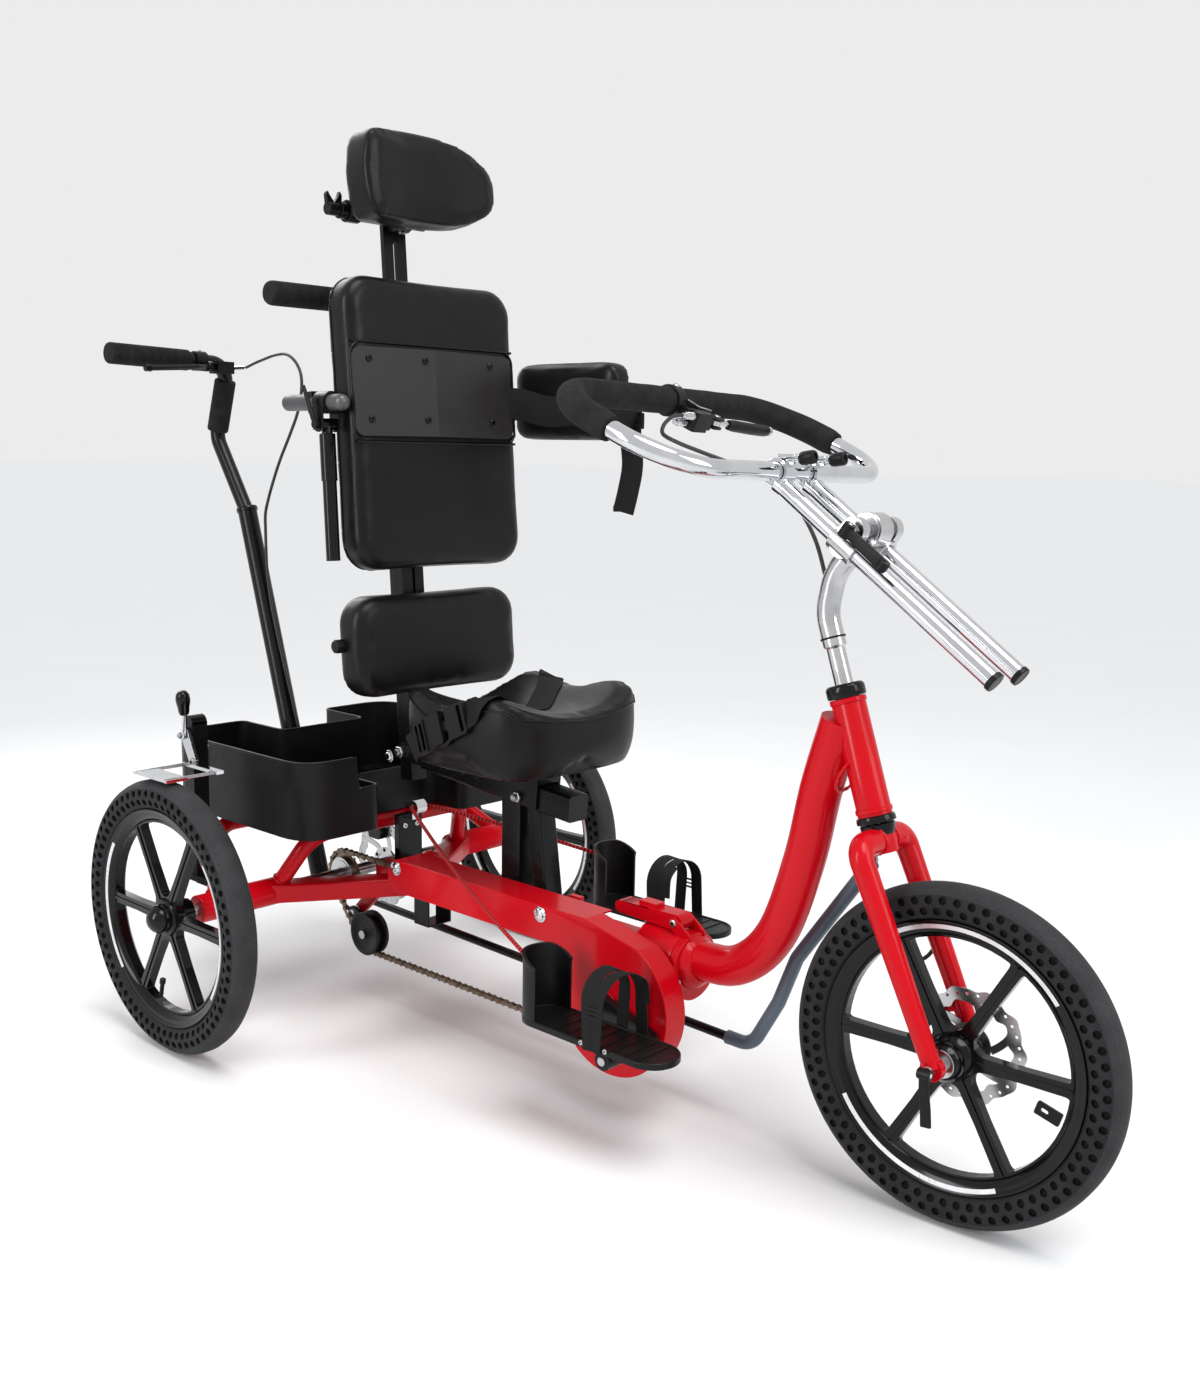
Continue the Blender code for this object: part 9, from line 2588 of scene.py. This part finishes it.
def cables():
    route = [at_rest(lever_point(-0.0168, 0.170, -0.004)), at_rest(lever_point(-0.040, 0.168, -0.008)),
             *FRONT_ROUTE, at_rest(FRONT_CALLIPER_ARM)]
    cable("front_brake_cable", route, 0.030, CABLE_RADIUS, CABLE, "black plastic", "front_brake_cable")
    pivot = PUSH_PIVOT
    route = [
        (pivot.x + 0.0127, pivot.y + 0.0608, pivot.z + 0.002), (-0.282, 0.010, 1.012), (-0.215, 0.008, 1.018),
        (-0.165, 0.000, 0.985), (-0.168, -0.005, 0.925), (-0.215, -0.008, 0.848), (-0.257, -0.006, 0.775),
        (-0.268, -0.003, 0.730), column(0.0215, -0.004, 0.480), column(0.0200, 0.000, 0.300),
        column(0.0205, 0.006, 0.190), (-0.148, 0.018, 0.308), (-0.118, 0.027, 0.283), (-0.100, 0.030, 0.270),
        (-0.070, 0.031, 0.264), (REAR_CALLIPER.x - 0.0159, REAR_CALLIPER.y, 0.270),
    ]
    cable("push_brake_cable", route, 0.040, CABLE_RADIUS, CABLE, "black plastic", "push_brake_cable")
    elastic = [
        (0.5246, -PEDAL_Y, 0.217), (0.420, -0.128, 0.247), (0.300, -0.088, 0.278), (0.190, -0.044, 0.305),
        (0.128, -0.018, 0.3213), (0.1203, -0.0105, 0.322), (0.1200, 0.0, 0.322), (0.1203, 0.0105, 0.322),
        (0.128, 0.018, 0.3213), (0.200, 0.060, 0.306), (0.280, 0.108, 0.286), (0.3605, PEDAL_Y, 0.264),
    ]
    cable("elastic_cord", elastic, 0.045, CORD_RADIUS, CORD, "red and black cord", "elastic_cord")


def callipers():
    """Each calliper: two halves beside the disc, bolts, a bridge, the pad adjuster and the cable arm."""
    for name, body, centre, turn, matrix, disc_y, hub, arm in (
        ("front_brake_calliper", "fork", FRONT_CALLIPER, Matrix.Rotation(-HEAD_TILT, 4, "Y"), TURNED,
         FRONT_ROTOR_Y, FRONT_CENTRE, True),
        ("rear_brake_calliper", "frame", REAR_CALLIPER, Matrix.Identity(4), SHIFT, REAR_ROTOR_Y,
         Vector((0, 0, WHEEL_RADIUS)), False),
    ):
        place = Matrix.Translation(centre) @ turn
        low, high = disc_y - 0.0020 - centre.y, disc_y + 0.0020 - centre.y
        outline = rounded((-0.0148, 0.0148), (-0.0208, 0.0208), 0.005)
        halves = [moved(place, side_plate([outline], end - start, (start + end) / 2))
                  for start, end in ((-0.0128, low), (high, 0.0128))]
        outward = place.to_3x3().inverted() @ Vector((centre.x - hub.x, 0, centre.z - hub.z))
        outward = outward.normalized()
        u, w = outward.x * 0.0090, outward.z * 0.0120
        bridge = moved(place,
                       box((u - 0.0040, u + 0.0040), (low - 0.001, high + 0.001), (w - 0.0060, w + 0.0060)))
        knob = across(0.0088, centre.x, centre.z, centre.y + 0.0120, centre.y + 0.0160, 40)
        face = ring(0.0040, 0.0078, 0.0010, (centre.x, centre.y + 0.0165, centre.z), steps=36)
        bolts = []
        for z in (-0.0150, 0.0150):
            bolts += screw(place @ Vector((0.0075, 0.0128, z)), (0, 1, 0), 0.0036, 0.0026)
        shapes = [*halves, bridge, knob]
        if arm:
            shapes.append(bar(centre + Vector((-0.010, 0.009, 0.015)), centre + Vector((-0.016, 0.009, 0.045)),
                              0.0060, 0.0118))
        piece(name, body, "black paint", [(BLACK, shapes), (STEEL, [*bolts, face])], [name], matrix=matrix,
              edge=0.0008)


camera()
studio()
floor()
cables()
rear_wheels()
front_wheel()
axle_lever()
frame_tubes()
front_frame()
fork()
callipers()
drive()
tensioner()
chain_guard()
seat_support()
seat_cushion()
basket()
brake_post()
parking_brake_lever()
cord_post()
stem()
bar_clamp()
reach_bars()
handlebar()
brake_lever()
push_handle()
steering_rod()
back_post()
back_pad()
lumbar_pad()
headrest()
